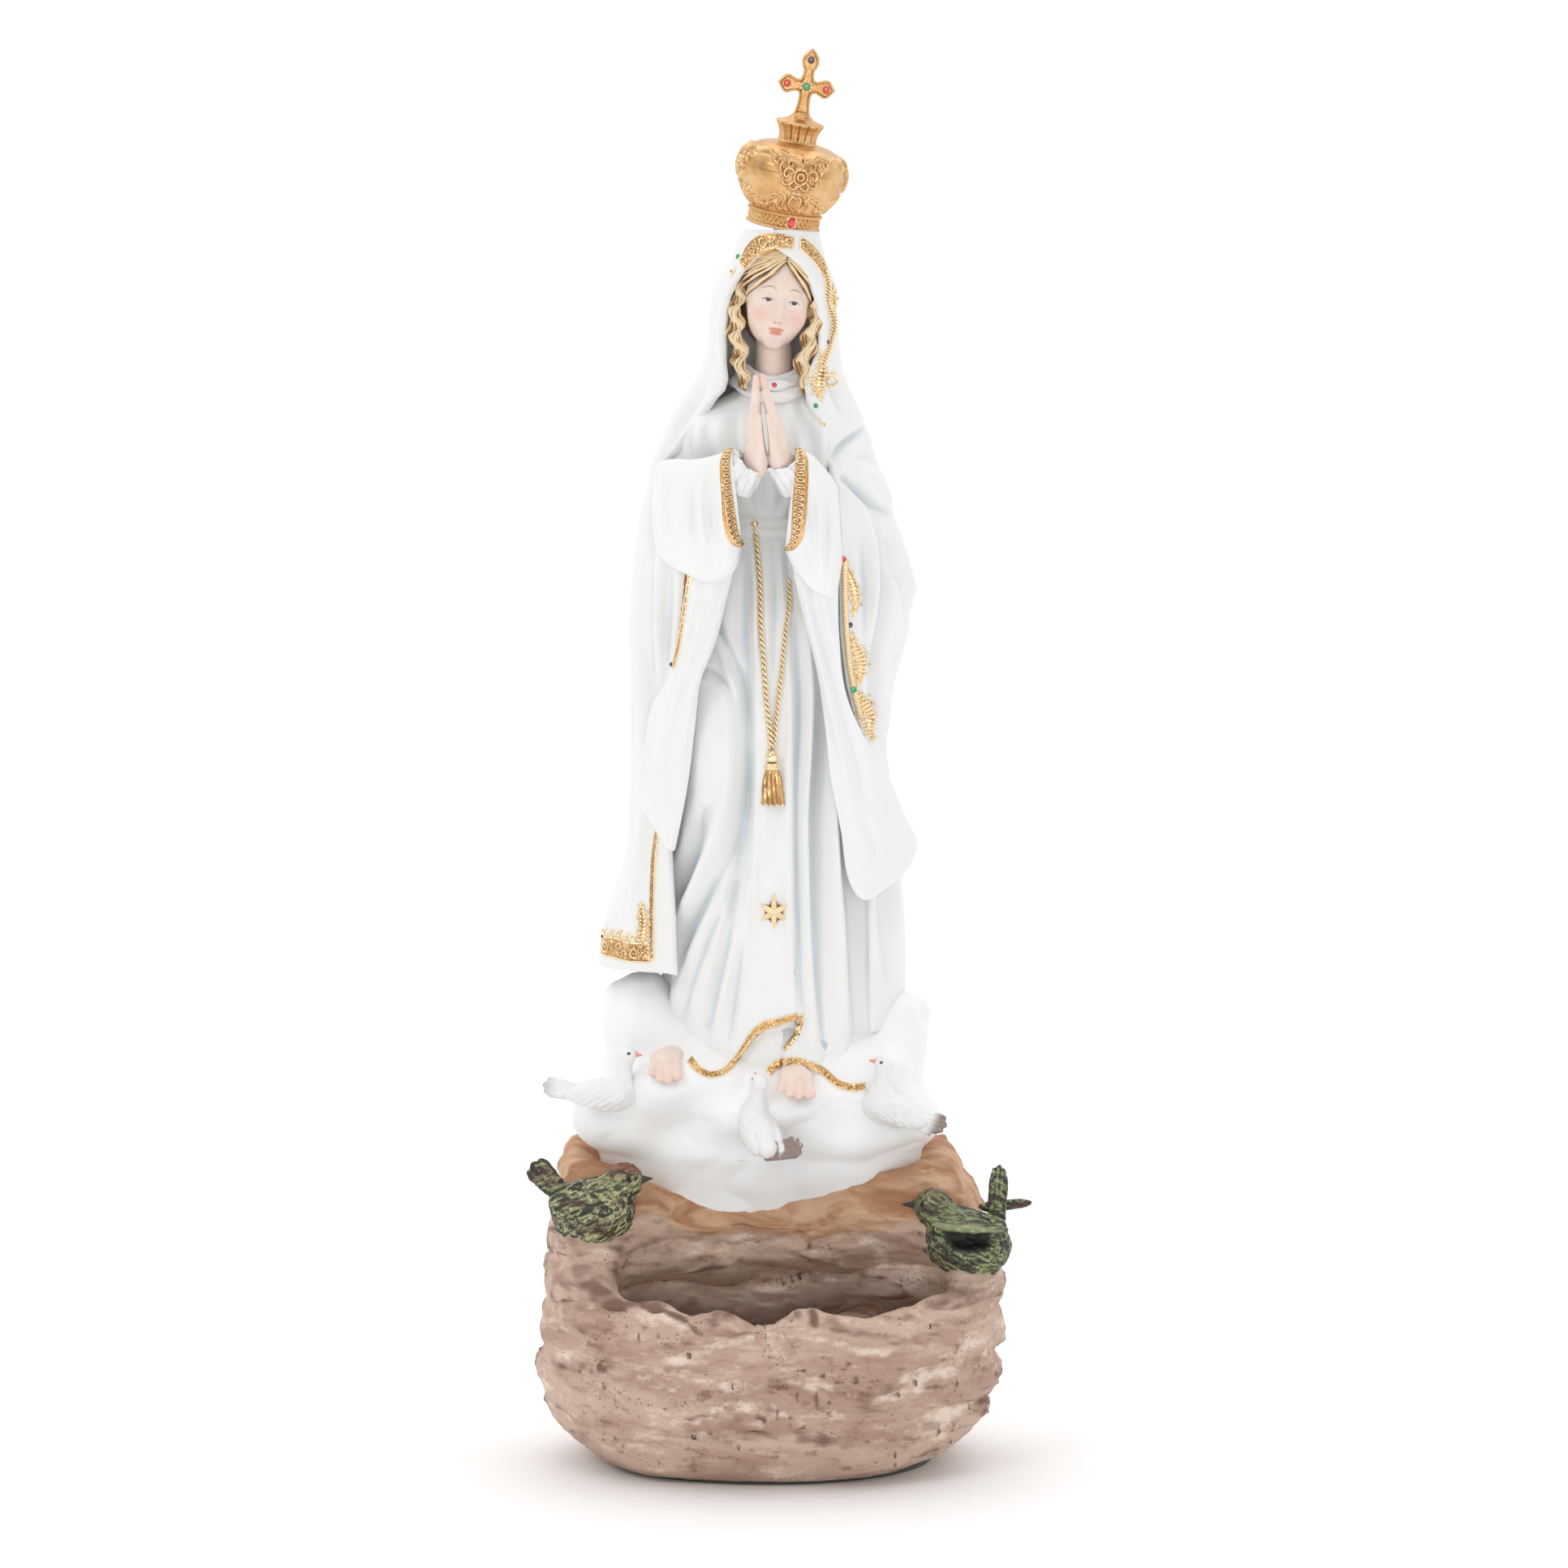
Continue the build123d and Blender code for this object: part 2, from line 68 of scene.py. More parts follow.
def smooth_path(points, count):
    """Points spread evenly along a smooth curve through the given ones."""
    points = np.asarray(points, float)
    steps = np.linalg.norm(np.diff(points, axis=0), axis=1)
    at = np.concatenate([[0], np.cumsum(steps)])
    fine = np.linspace(0, at[-1], 12 * len(points))
    curve = np.stack([smooth_values(fine, at, column) for column in points.T], axis=1)
    length = np.concatenate([[0], np.cumsum(np.linalg.norm(np.diff(curve, axis=0), axis=1))])
    even = np.linspace(0, length[-1], count)
    return np.stack([np.interp(even, length, column) for column in curve.T], axis=1)


def near_line(px, pz, line):
    """Signed distance to a line on a surface (positive on its left) and how far along it is."""
    steps = np.diff(line, axis=0)
    lengths = np.linalg.norm(steps, axis=1)
    starts = np.concatenate([[0], np.cumsum(lengths)])
    best = np.full(px.shape, 1e9)
    side = np.ones(px.shape)
    along = np.zeros(px.shape)
    for start, step, length, before in zip(line[:-1], steps, lengths, starts):
        t = np.clip(((px - start[0]) * step[0] + (pz - start[1]) * step[1]) / length**2, 0, 1)
        dx = px - start[0] - t * step[0]
        dz = pz - start[1] - t * step[1]
        distance = np.hypot(dx, dz)
        nearer = distance < best
        best = np.where(nearer, distance, best)
        side = np.where(nearer, np.where(step[0] * dz - step[1] * dx >= 0, 1.0, -1.0), side)
        along = np.where(nearer, (before + t * length) / starts[-1], along)
    return best * side, along


def step_up(low, high, x):
    """0 below low, 1 above high and smooth between."""
    t = np.clip((x - low) / (high - low), 0, 1)
    return t * t * (3 - 2 * t)


def folds(px, pz, table):
    """The height that drawn folds add to cloth.

    Each row is (kind, height, width, points): a valley is a crease between soft flanks, a
    ridge is a rounded pleat, and a lap stands up on the line's left and drops sharply there.
    """
    height = np.zeros(px.shape)
    for kind, size, width, points in table:
        line = smooth_path(points, 6 * len(points))
        near = np.ones(px.shape, bool)
        margin = 6 * width
        near &= (px > line[:, 0].min() - margin) & (px < line[:, 0].max() + margin)
        near &= (pz > line[:, 1].min() - margin) & (pz < line[:, 1].max() + margin)
        if not near.any():
            continue
        away, along = near_line(px[near], pz[near], line)
        ends = np.sqrt(np.clip(np.sin(np.pi * np.clip(along, 0.02, 0.98)), 0, 1))
        if kind == "valley":
            shape = -1 / (1 + (away / width) ** 2) + 0.3 * np.exp(
                -(((np.abs(away) - 2.3 * width) / width) ** 2)
            )
        elif kind == "ridge":
            shape = np.exp(-((away / width) ** 2))
        else:
            shape = np.where(away > 0, np.exp(-away / (2.2 * width)), -np.exp(away / width))
            shape *= np.tanh(np.abs(away) / 0.35)
        height[near] += size * ends * shape
    return height


def hash_noise(ix, iy, iz, seed):
    """A repeatable random number from 0 to 1 for each whole-number place."""
    h = ix.astype(np.int64) * 374761393 + iy.astype(np.int64) * 668265263
    h = h + iz.astype(np.int64) * 2147483647 + seed * 974634777
    h = (h ^ (h >> 13)) * 1274126177
    return ((h ^ (h >> 16)) & 0xFFFF).astype(np.float32) / 65535.0


def noise(x, y, z, size, seed=0):
    """Smooth noise from -1 to 1 with bumps about one size across."""
    x, y, z = x / size, y / size, z / size
    ix, iy, iz = np.floor(x), np.floor(y), np.floor(z)
    fx, fy, fz = x - ix, y - iy, z - iz
    fx, fy, fz = (f * f * (3 - 2 * f) for f in (fx, fy, fz))
    total = 0
    for dx in (0, 1):
        for dy in (0, 1):
            for dz in (0, 1):
                weight = (fx if dx else 1 - fx) * (fy if dy else 1 - fy) * (fz if dz else 1 - fz)
                total = total + weight * hash_noise(ix + dx, iy + dy, iz + dz, seed)
    return 2 * total - 1


def fractal(x, y, z, size, octaves, seed=0):
    """Noise with finer noise on it."""
    total, weight = 0, 1.0
    for octave in range(octaves):
        total = total + weight * noise(x, y, z, size / 2**octave, seed + octave)
        weight *= 0.5
    return total


# ---------------------------------------------------------------- meshes
def grid_faces(rows, columns, first=0, closed=False, flip=False):
    """Quads over a grid of vertices; closed joins the last column to the first."""
    row, column = np.meshgrid(
        np.arange(rows - 1), np.arange(columns if closed else columns - 1), indexing="ij"
    )
    following = (column + 1) % columns
    quads = np.stack(
        [row * columns + column, row * columns + following, (row + 1) * columns + following,
            (row + 1) * columns + column],
        axis=-1,
    ).reshape(-1, 4)
    if flip:
        quads = quads[:, ::-1]
    return quads + first


def fan(ring, centre, flip=False):
    """Triangles from a ring of vertex numbers to one in the middle."""
    ring = np.asarray(ring)
    following = np.roll(ring, -1)
    triangles = np.stack([ring, following, np.full(len(ring), centre)], axis=1)
    return triangles[:, ::-1] if flip else triangles


class Shape:
    """Vertices in millimetres and faces, gathered from several patches."""

    def __init__(self):
        self.points = []
        self.faces = []
        self.count = 0

    def add(self, points, *faces):
        points = np.asarray(points, float).reshape(-1, 3)
        self.points.append(points)
        for group in faces:
            self.faces.append(np.asarray(group) + self.count)
        self.count += len(points)
        return self

    def tube(self, path, radii, sides=10, twist=0.0, lobes=0, lobe=0.0, flat=1.0, up=(0, -1, 0)):
        """A tube along a path, whose section may be lobed or flattened, closed at both ends."""
        path = np.asarray(path, float)
        count = len(path)
        radii = np.broadcast_to(np.asarray(radii, float), (count,))
        tangent = np.gradient(path, axis=0)
        tangent /= np.linalg.norm(tangent, axis=1, keepdims=True) + 1e-12
        side = np.cross(tangent, np.asarray(up, float))
        side /= np.linalg.norm(side, axis=1, keepdims=True) + 1e-9
        out = np.cross(side, tangent)
        length = np.concatenate([[0], np.cumsum(np.linalg.norm(np.diff(path, axis=0), axis=1))])
        angle = np.linspace(0, 2 * np.pi, sides, endpoint=False)[None, :]
        turned = angle + twist * length[:, None]
        wide = radii[:, None] * (
            1 + lobe * np.cos(lobes * turned)
        ) if lobes else radii[:, None] * np.ones_like(angle)
        points = path[:, None] + (wide * np.cos(angle))[..., None] * side[:, None]
        points = points + (flat * wide * np.sin(angle))[..., None] * out[:, None]
        ends = np.stack([path[0], path[-1]])
        last = count * sides
        return self.add(
            np.concatenate([points.reshape(-1, 3), ends]),
            grid_faces(count, sides, closed=True, flip=True),
            fan(np.arange(sides), last),
            fan(np.arange(sides) + last - sides, last + 1, flip=True),
        )

    def ball(self, centre, radii, sides=16):
        """An ellipsoid, for beads and other small round parts."""
        across = np.linspace(0, 2 * np.pi, sides, endpoint=False)
        down = np.linspace(0, np.pi, sides // 2 + 1)[1:-1]
        ring = np.stack(
            [
                np.sin(down)[:, None] * np.cos(across),
                np.sin(down)[:, None] * np.sin(across),
                np.cos(down)[:, None] * np.ones_like(across),
            ],
            axis=-1,
        ).reshape(-1, 3)
        points = np.concatenate([ring, [[0, 0, 1], [0, 0, -1]]]) * np.asarray(radii) + np.asarray(centre)
        last = len(ring)
        return self.add(
            points,
            grid_faces(len(down), sides, closed=True, flip=True),
            fan(np.arange(sides), last),
            fan(np.arange(sides) + last - sides, last + 1, flip=True),
        )


def make_piece(name, shape, body, nodes, material, cavity_steps=8):
    """A piece from a shape, riding on its body and standing for its CAD nodes."""
    points = np.concatenate(shape.points) * MM
    mesh = bpy.data.meshes.new(name)
    mesh.vertices.add(len(points))
    mesh.vertices.foreach_set("co", points.astype(np.float32).ravel())
    sizes = np.concatenate([np.full(len(g), g.shape[1]) for g in shape.faces])
    corners = np.concatenate([g.ravel() for g in shape.faces])
    mesh.loops.add(len(corners))
    mesh.loops.foreach_set("vertex_index", corners.astype(np.int32))
    mesh.polygons.add(len(sizes))
    mesh.polygons.foreach_set("loop_start", np.concatenate([[0], np.cumsum(sizes)[:-1]]).astype(np.int32))
    mesh.polygons.foreach_set("loop_total", sizes.astype(np.int32))
    mesh.update(calc_edges=True)
    mesh.validate()
    mesh.shade_smooth()
    piece = bpy.data.objects.new(f"painted_{name}", mesh)
    bpy.context.scene.collection.objects.link(piece)
    PIECES[name] = piece
    mark_cavities(mesh, cavity_steps)
    mesh.materials.append(material)
    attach(piece, body)
    if nodes:
        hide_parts(*nodes)
    return piece


def add_values(piece, name, values):
    """A number at each point that a material reads by name."""
    attribute = piece.data.attributes.new(name, "FLOAT", "POINT")
    attribute.data.foreach_set("value", np.asarray(values, np.float32))


def mark_cavities(mesh, steps):
    """Stores how far each point lies below (over 0.5) or above its surroundings."""
    count = len(mesh.vertices)
    points = np.empty(count * 3, np.float32)
    mesh.vertices.foreach_get("co", points)
    points = points.reshape(-1, 3).astype(float)
    edges = np.empty(len(mesh.edges) * 2, np.int32)
    mesh.edges.foreach_get("vertices", edges)
    edges = edges.reshape(-1, 2)
    normals = np.empty(count * 3, np.float32)
    mesh.vertex_normals.foreach_get("vector", normals)
    normals = normals.reshape(-1, 3)
    ends = np.concatenate([edges[:, 0], edges[:, 1]])
    others = np.concatenate([edges[:, 1], edges[:, 0]])
    degree = np.maximum(np.bincount(ends, minlength=count), 1)[:, None]
    smooth = points
    for _ in range(steps):
        total = np.stack(
            [np.bincount(ends, smooth[others, axis], minlength=count) for axis in range(3)], axis=1
        )
        smooth = 0.2 * smooth + 0.8 * total / degree
    depth = ((smooth - points) * normals).sum(1) / MM
    values = np.clip(0.5 + 0.5 * depth, 0, 1).astype(np.float32)
    attribute = mesh.attributes.new("cavity", "FLOAT", "POINT")
    attribute.data.foreach_set("value", values)


def sculpt(field, low, high, voxel):
    """The surface where a field of distances, in millimetres, is 0, as a shape."""
    low, high = np.asarray(low, float), np.asarray(high, float)
    axes = [np.arange(a, b + voxel, voxel) for a, b in zip(low, high)]
    x, y, z = np.meshgrid(*axes, indexing="ij", sparse=True)
    values = np.broadcast_to(field(x, y, z), [len(axis) for axis in axes]).astype(np.float32)
    values = np.clip(values, -3 * voxel, 3 * voxel)
    grid = openvdb.FloatGrid(float(3 * voxel))
    grid.copyFromArray(np.ascontiguousarray(values))
    points, quads = grid.convertToQuads(isovalue=0.0)
    return Shape().add(points * voxel + low, quads[:, ::-1])


def gather(shape):
    """A shape's points and faces as two arrays, for shapes made of one kind of face."""
    return np.concatenate(shape.points), np.concatenate(shape.faces)


def normals_of(points, faces):
    """The direction that the surface faces at each point."""
    corners = points[faces]
    facing = np.cross(corners[:, 2] - corners[:, 0], corners[:, -1] - corners[:, 1])
    total = np.zeros_like(points)
    for corner in range(faces.shape[1]):
        for axis in range(3):
            total[:, axis] += np.bincount(faces[:, corner], facing[:, axis], minlength=len(points))
    return total / (np.linalg.norm(total, axis=1, keepdims=True) + 1e-12)


def relax(points, faces, steps, share=0.5):
    """Points moved towards their neighbours, to take the steps of the voxels out."""
    ends = np.concatenate([faces[:, k] for k in range(faces.shape[1])] * 2)
    others = np.concatenate(
        [np.roll(faces, -1, axis=1)[:, k] for k in range(faces.shape[1])]
        + [np.roll(faces, 1, axis=1)[:, k] for k in range(faces.shape[1])]
    )
    degree = np.maximum(np.bincount(ends, minlength=len(points)), 1)[:, None]
    for _ in range(steps):
        total = np.stack(
            [np.bincount(ends, points[others, k], minlength=len(points)) for k in range(3)], axis=1
        )
        points = points + share * (total / degree - points)
    return points


def displaced(shape, height, smooth=3):
    """A sculpted shape smoothed and pushed out by height(x, y, z, normals)."""
    points, faces = gather(shape)
    points = relax(points, faces, smooth)
    normals = normals_of(points, faces)
    out = height(points[:, 0], points[:, 1], points[:, 2], normals)
    return Shape().add(points + normals * out[:, None], faces)


# ---------------------------------------------------------------- fields of distance
def round_join(a, b, blend):
    """Two fields joined with a fillet."""
    h = np.clip(0.5 + 0.5 * (b - a) / blend, 0, 1)
    return b + (a - b) * h - blend * h * (1 - h)


def round_cut(a, b, blend):
    """Field a with b taken away, with a soft edge."""
    return -round_join(-a, b, blend)


def ellipsoid(x, y, z, centre, radii, turn=None):
    """An ellipsoid; turn is a 3 x 3 matrix from the row's frame to its own."""
    dx, dy, dz = x - centre[0], y - centre[1], z - centre[2]
    if turn is not None:
        dx, dy, dz = (row[0] * dx + row[1] * dy + row[2] * dz for row in turn)
    k = np.sqrt((dx / radii[0]) ** 2 + (dy / radii[1]) ** 2 + (dz / radii[2]) ** 2)
    g = np.sqrt((dx / radii[0] ** 2) ** 2 + (dy / radii[1] ** 2) ** 2 + (dz / radii[2] ** 2) ** 2)
    return k * (k - 1) / (g + 1e-9)


def capsule(x, y, z, start, end, radius, end_radius=None):
    """A rod with round ends, which may taper."""
    end_radius = radius if end_radius is None else end_radius
    start, end = np.asarray(start, float), np.asarray(end, float)
    run = end - start
    t = ((x - start[0]) * run[0] + (y - start[1]) * run[1] + (z - start[2]) * run[2]) / (run @ run)
    t = np.clip(t, 0, 1)
    dx, dy, dz = x - start[0] - t * run[0], y - start[1] - t * run[1], z - start[2] - t * run[2]
    return np.sqrt(dx * dx + dy * dy + dz * dz) - (radius + (end_radius - radius) * t)


def turn_matrix(pitch=0.0, roll=0.0, yaw=0.0):
    """The 3 x 3 matrix that leans towards -Y by pitch, towards +X by roll and turns by yaw."""
    p, r, w = (math.radians(a) for a in (pitch, roll, yaw))
    about_x = np.array([[1, 0, 0], [0, math.cos(p), -math.sin(p)], [0, math.sin(p), math.cos(p)]])
    about_y = np.array([[math.cos(r), 0, math.sin(r)], [0, 1, 0], [-math.sin(r), 0, math.cos(r)]])
    about_z = np.array([[math.cos(w), -math.sin(w), 0], [math.sin(w), math.cos(w), 0], [0, 0, 1]])
    return about_x @ about_y @ about_z


# ---------------------------------------------------------------- materials
class Paint:
    """A material being built out of nodes."""

    def __init__(self, name):
        self.material = bpy.data.materials.new(name)
        self.material.use_nodes = True
        self.tree = self.material.node_tree
        self.shader = self.tree.nodes["Principled BSDF"]
        self.place = self.node("ShaderNodeTexCoord").outputs["Object"]

    def node(self, kind, **settings):
        made = self.tree.nodes.new(kind)
        for key, value in settings.items():
            if key in made.inputs:
                made.inputs[key].default_value = value
            else:
                setattr(made, key, value)
        return made

    def link(self, source, target):
        self.tree.links.new(source, target)

    def cavity(self, low, high):
        """0 on open surface and 1 deep in a crease."""
        source = self.node("ShaderNodeAttribute", attribute_name="cavity").outputs["Fac"]
        return self.range(source, low, high)

    def range(self, source, low, high, to_low=0.0, to_high=1.0):
        spread = self.node("ShaderNodeMapRange", interpolation_type="SMOOTHSTEP")
        for index, value in zip((1, 2, 3, 4), (low, high, to_low, to_high)):
            spread.inputs[index].default_value = value
        self.link(source, spread.inputs[0])
        return spread.outputs[0]

    def noise(self, size_mm, detail=4.0, rough=0.55, stretch=(1, 1, 1), distortion=0.0):
        """Noise with features about size_mm across."""
        mapping = self.node("ShaderNodeMapping")
        mapping.inputs["Scale"].default_value = stretch
        self.link(self.place, mapping.inputs["Vector"])
        made = self.node("ShaderNodeTexNoise", Scale=1.0 / (size_mm * MM), Detail=detail, Roughness=rough)
        made.inputs["Distortion"].default_value = distortion
        self.link(mapping.outputs[0], made.inputs["Vector"])
        return made.outputs["Fac"]

    def mix(self, factor, first, second):
        """Colours mixed by a factor; each is a colour or a socket."""
        made = self.node("ShaderNodeMix", data_type="RGBA")
        self.put(factor, made.inputs[0])
        self.put(first, made.inputs[6])
        self.put(second, made.inputs[7])
        return made.outputs[2]

    def maths(self, operation, first, second=0.0):
        made = self.node("ShaderNodeMath", operation=operation)
        self.put(first, made.inputs[0])
        self.put(second, made.inputs[1])
        return made.outputs[0]

    def put(self, value, socket):
        if isinstance(value, bpy.types.NodeSocket):
            self.link(value, socket)
        elif isinstance(value, tuple):
            socket.default_value = (*value, 1.0)
        else:
            socket.default_value = value

    def bump(self, source, height_mm, strength=1.0):
        """Fine relief; several calls stack up."""
        made = self.node("ShaderNodeBump", Strength=strength, Distance=height_mm * MM)
        self.link(source, made.inputs["Height"])
        if self.shader.inputs["Normal"].is_linked:
            self.link(self.shader.inputs["Normal"].links[0].from_socket, made.inputs["Normal"])
        self.link(made.outputs[0], self.shader.inputs["Normal"])

    def finish(self, colour, **settings):
        self.put(colour, self.shader.inputs["Base Color"])
        for key, value in settings.items():
            self.put(value, self.shader.inputs[key.replace("_", " ")])
        return self.material


def white_paint(name, base, wash_and_shade, shade, wash_and_shade_from=0.56, wash_and_shade_to=0.95):
    """Ivory-white paint, cooler and darker in the creases: partly a settled wash and partly painted shade."""
    paint = Paint(name)
    cloudy = paint.noise(38, detail=3.0)
    # cool grey-blue in the creases: partly a real wash, partly painted shade of the folds
    wash_and_painted_shade = paint.maths(
        "MULTIPLY", paint.cavity(wash_and_shade_from, wash_and_shade_to), paint.range(cloudy, 0.25, 0.6, 0.55, 1.0)
    )
    colour = paint.mix(paint.range(cloudy, 0.5, 0.8), base, shade)
    colour = paint.mix(wash_and_painted_shade, colour, wash_and_shade)
    paint.bump(paint.noise(1.1, detail=3.0), 0.035)
    paint.bump(paint.noise(9, detail=2.0), 0.10)
    rough = paint.range(paint.noise(14), 0.3, 0.7, 0.34, 0.5)
    return paint.finish(colour, Roughness=rough, Specular_IOR_Level=0.45)


def gold_paint(name, recess_shade, edge, grain, grain_height, sheen):
    """Satin gold leaf paint, with brown painted shade in its recesses and a pale painted highlight on its
    edges.
    """
    paint = Paint(name)
    patchy = paint.noise(9, detail=3.0)
    colour = paint.mix(paint.range(patchy, 0.35, 0.7), (0.64, 0.355, 0.135), (0.80, 0.525, 0.265))
    # painted shade: dark brown in the recesses
    colour = paint.mix(paint.cavity(*recess_shade), colour, (0.21, 0.088, 0.028))
    # painted highlight: pale gold on the raised edges
    colour = paint.mix(paint.cavity(*edge), colour, (0.97, 0.79, 0.52))
    paint.bump(paint.noise(grain, detail=2.0), grain_height)
    rough = paint.range(paint.noise(2.5), 0.3, 0.7, *sheen)
    return paint.finish(colour, Roughness=rough, Metallic=0.9)


GOLD = gold_paint("gold", (0.53, 0.66), (0.45, 0.32), 2.4, 0.010, (0.29, 0.39))
TRIM = gold_paint("gold_trim", (0.512, 0.58), (0.485, 0.42), 1.3, 0.030, (0.17, 0.28))
WHITE = white_paint("white_cloth", (0.87, 0.875, 0.87), (0.66, 0.73, 0.76), (0.87, 0.855, 0.835), 0.56, 1.2)
CLOUD = white_paint("white_cloud", (0.92, 0.925, 0.92), (0.74, 0.80, 0.83), (0.90, 0.885, 0.86), 0.60, 1.5)


# ---------------------------------------------------------------- cloth in rings
def ring_values(rings, height):
    """Centre and half sizes of a body of rings at heights."""
    table = np.asarray(rings, float)
    return [smooth_values(height, table[:, 0], table[:, i]) for i in range(1, 5)]


def on_rings(rings, height, angle, out=0.0):
    """Points on a body of rings; angle 0 is +X and -90 degrees is the front."""
    cx, cy, rx, ry = ring_values(rings, height)
    nx, ny = np.cos(angle) / rx, np.sin(angle) / ry
    size = np.hypot(nx, ny)
    x = cx + rx * np.cos(angle) + out * nx / size
    y = cy + ry * np.sin(angle) + out * ny / size
    return np.stack([x, y, np.broadcast_to(height, x.shape)], axis=-1)


TUNIC_RINGS = [
    (168, 2, 6, 46, 38), (205, 0, 7, 47, 36.5), (260, -1, 9, 46, 33), (330, -2, 11, 44, 29.5),
    (380, -1, 12, 40, 25), (400, -1, 13, 33, 21.5), (411, 0, 14, 26, 18.5), (417, 0, 14, 25, 18),
    (422, 0, 13.5, 30, 21), (430, -2, 13, 38, 22.5), (445, -3, 12.5, 43, 21.5), (458, -2, 12, 36, 19.5),
    (466, 0, 11, 27, 17), (472, 1, 9, 17, 14), (479, 1, 7.5, 12.5, 11.5),
]
TUNIC_FOLDS = [
    ("valley", 5.0, 3.2, [(-13, 402), (-12, 370), (-10, 328), (-10, 300), (-11, 283), (-15, 262),
        (-21, 240), (-27, 216), (-30, 196)]),
    ("valley", 3.6, 2.0, [(12, 388), (12, 360), (12.5, 335), (11, 306), (11, 270), (12, 240), (14, 212),
        (17, 186)]),
    ("valley", 5.5, 3.0, [(22, 372), (22, 335), (21, 310), (19.5, 290), (19.5, 262), (20, 235), (22, 205),
        (25, 180)]),
    ("valley", 4.5, 2.6, [(30, 330), (31, 300), (33, 272), (36, 250), (38, 212), (39, 178)]),
    ("valley", 3.0, 2.2, [(43, 285), (45, 258), (48, 225), (49, 190)]),
    ("valley", 5.0, 2.6, [(-10, 312), (-12, 296), (-17, 275), (-27, 254), (-37, 237), (-44, 220),
        (-48, 205)]),
    ("valley", 4.2, 2.3, [(-14, 280), (-19, 256), (-28, 234), (-35, 214), (-41, 196)]),
    ("valley", 5.0, 2.4, [(-28, 290), (-33, 272), (-40, 257), (-47, 243)]),
    ("valley", 3.2, 2.0, [(-15, 256), (-18, 236), (-24, 212), (-29, 190)]),
    ("valley", 2.4, 1.8, [(-11, 250), (-13, 228), (-16, 206), (-20, 186)]),
    ("valley", 2.6, 1.5, [(-26, 374), (-18, 359), (-13, 346), (-10, 328)]),
    ("valley", 2.4, 1.6, [(-34, 348), (-28, 351), (-21, 347), (-15, 336)]),
    ("valley", 1.4, 1.2, [(-6, 405), (-5, 385), (-5, 358)]),
    ("valley", 1.3, 1.1, [(1.5, 405), (2, 380), (1, 350)]),
    ("valley", 1.6, 1.3, [(7, 404), (8, 388), (9.5, 368)]),
    ("ridge", 2.2, 2.2, [(-7, 392), (-7, 352), (-7, 306), (-8, 269), (-12, 232), (-15, 200)]),
    ("ridge", 2.0, 2.0, [(9.5, 350), (9, 318), (9, 293), (9, 257), (10, 222)]),
    ("ridge", 3.4, 2.8, [(14, 384), (16, 360), (17.5, 342), (16.5, 318), (15, 293), (15.5, 262), (17, 230),
        (19.5, 192)]),
    ("ridge", 3.6, 3.2, [(26.5, 350), (26, 300), (26.5, 266), (29, 232), (31, 186)]),
    ("ridge", 3.0, 3.0, [(41, 296), (41, 260), (43, 228), (44, 186)]),
    ("ridge", 3.5, 3.4, [(-20, 296), (-25, 272), (-33, 252), (-43, 234)]),
    ("ridge", 2.8, 2.6, [(-17, 268), (-22, 246), (-30, 224), (-37, 204)]),
    ("ridge", 2.4, 2.2, [(-13, 262), (-16, 240), (-21, 216), (-26, 192)]),
    ("valley", 2.2, 1.8, [(-22, 466), (-24, 452), (-22, 437), (-18, 424)]),
    ("valley", 1.8, 1.5, [(-14, 464), (-14, 450), (-11, 434), (-8, 422)]),
    ("valley", 1.5, 1.4, [(-27, 460), (-32, 450), (-31, 440)]),
    ("valley", 2.2, 1.8, [(12, 467), (15, 455), (17, 443), (16, 430)]),
    ("valley", 1.5, 1.3, [(4, 440), (5, 430), (3, 421)]),
    ("valley", 1.3, 1.2, [(-3, 438), (-3, 429), (-2, 420)]),
    ("ridge", 2.0, 2.6, [(8, 466), (10, 450), (11, 436), (8, 424)]),
]
HEM = [
    (-60, 182), (-43, 184), (-37, 181), (-30, 176), (-21, 176.5), (-13, 184.5), (-6, 193.5), (3, 197.5),
    (12.5, 200.4)
]
UNDER_HEM = [
    (-6, 177), (-2, 176), (3, 179), (9, 180.5), (16, 179), (23, 175), (29, 171), (41, 169.5), (60, 172)
]


def tunic_relief(x, z):
    """Height of the tunic's folds and of the bent knee, in front."""
    knee = 7.5 * np.exp(-(((x + 27 + 0.06 * (z - 300)) / 13) ** 2) - ((z - 312) / 46) ** 2)
    flat_fold = 2.0 * step_up(-9, -6, x) * (1 - step_up(8, 11, x)) * step_up(205, 240, z) * (
        1 - step_up(330, 372, z)
    )
    bust = 9.0 * np.exp(-(((x + 3) / 26) ** 2) - ((z - 444) / 17) ** 2)
    arms = 10.5 * np.exp(-(((x + 25) / 10) ** 2) - ((z - 456) / 15) ** 2)
    arms = arms + 7.0 * np.exp(-(((x - 19) / 7) ** 2) - ((z - 456) / 15) ** 2)
    return 1.3 * folds(x, z, TUNIC_FOLDS) + knee + flat_fold + bust + arms


def turned_back(x, z):
    """1 on the patch right of the turned edge, where the lower layer comes level with the upper."""
    edge = np.interp(z, [185.6, 192.2, 197.0, 201.6], [5.4, 10.6, 12.6, 12.4])
    return step_up(-0.8, 0.8, x - edge) * (1 - step_up(12.8, 14.2, x)) * (1 - step_up(198, 202, z))


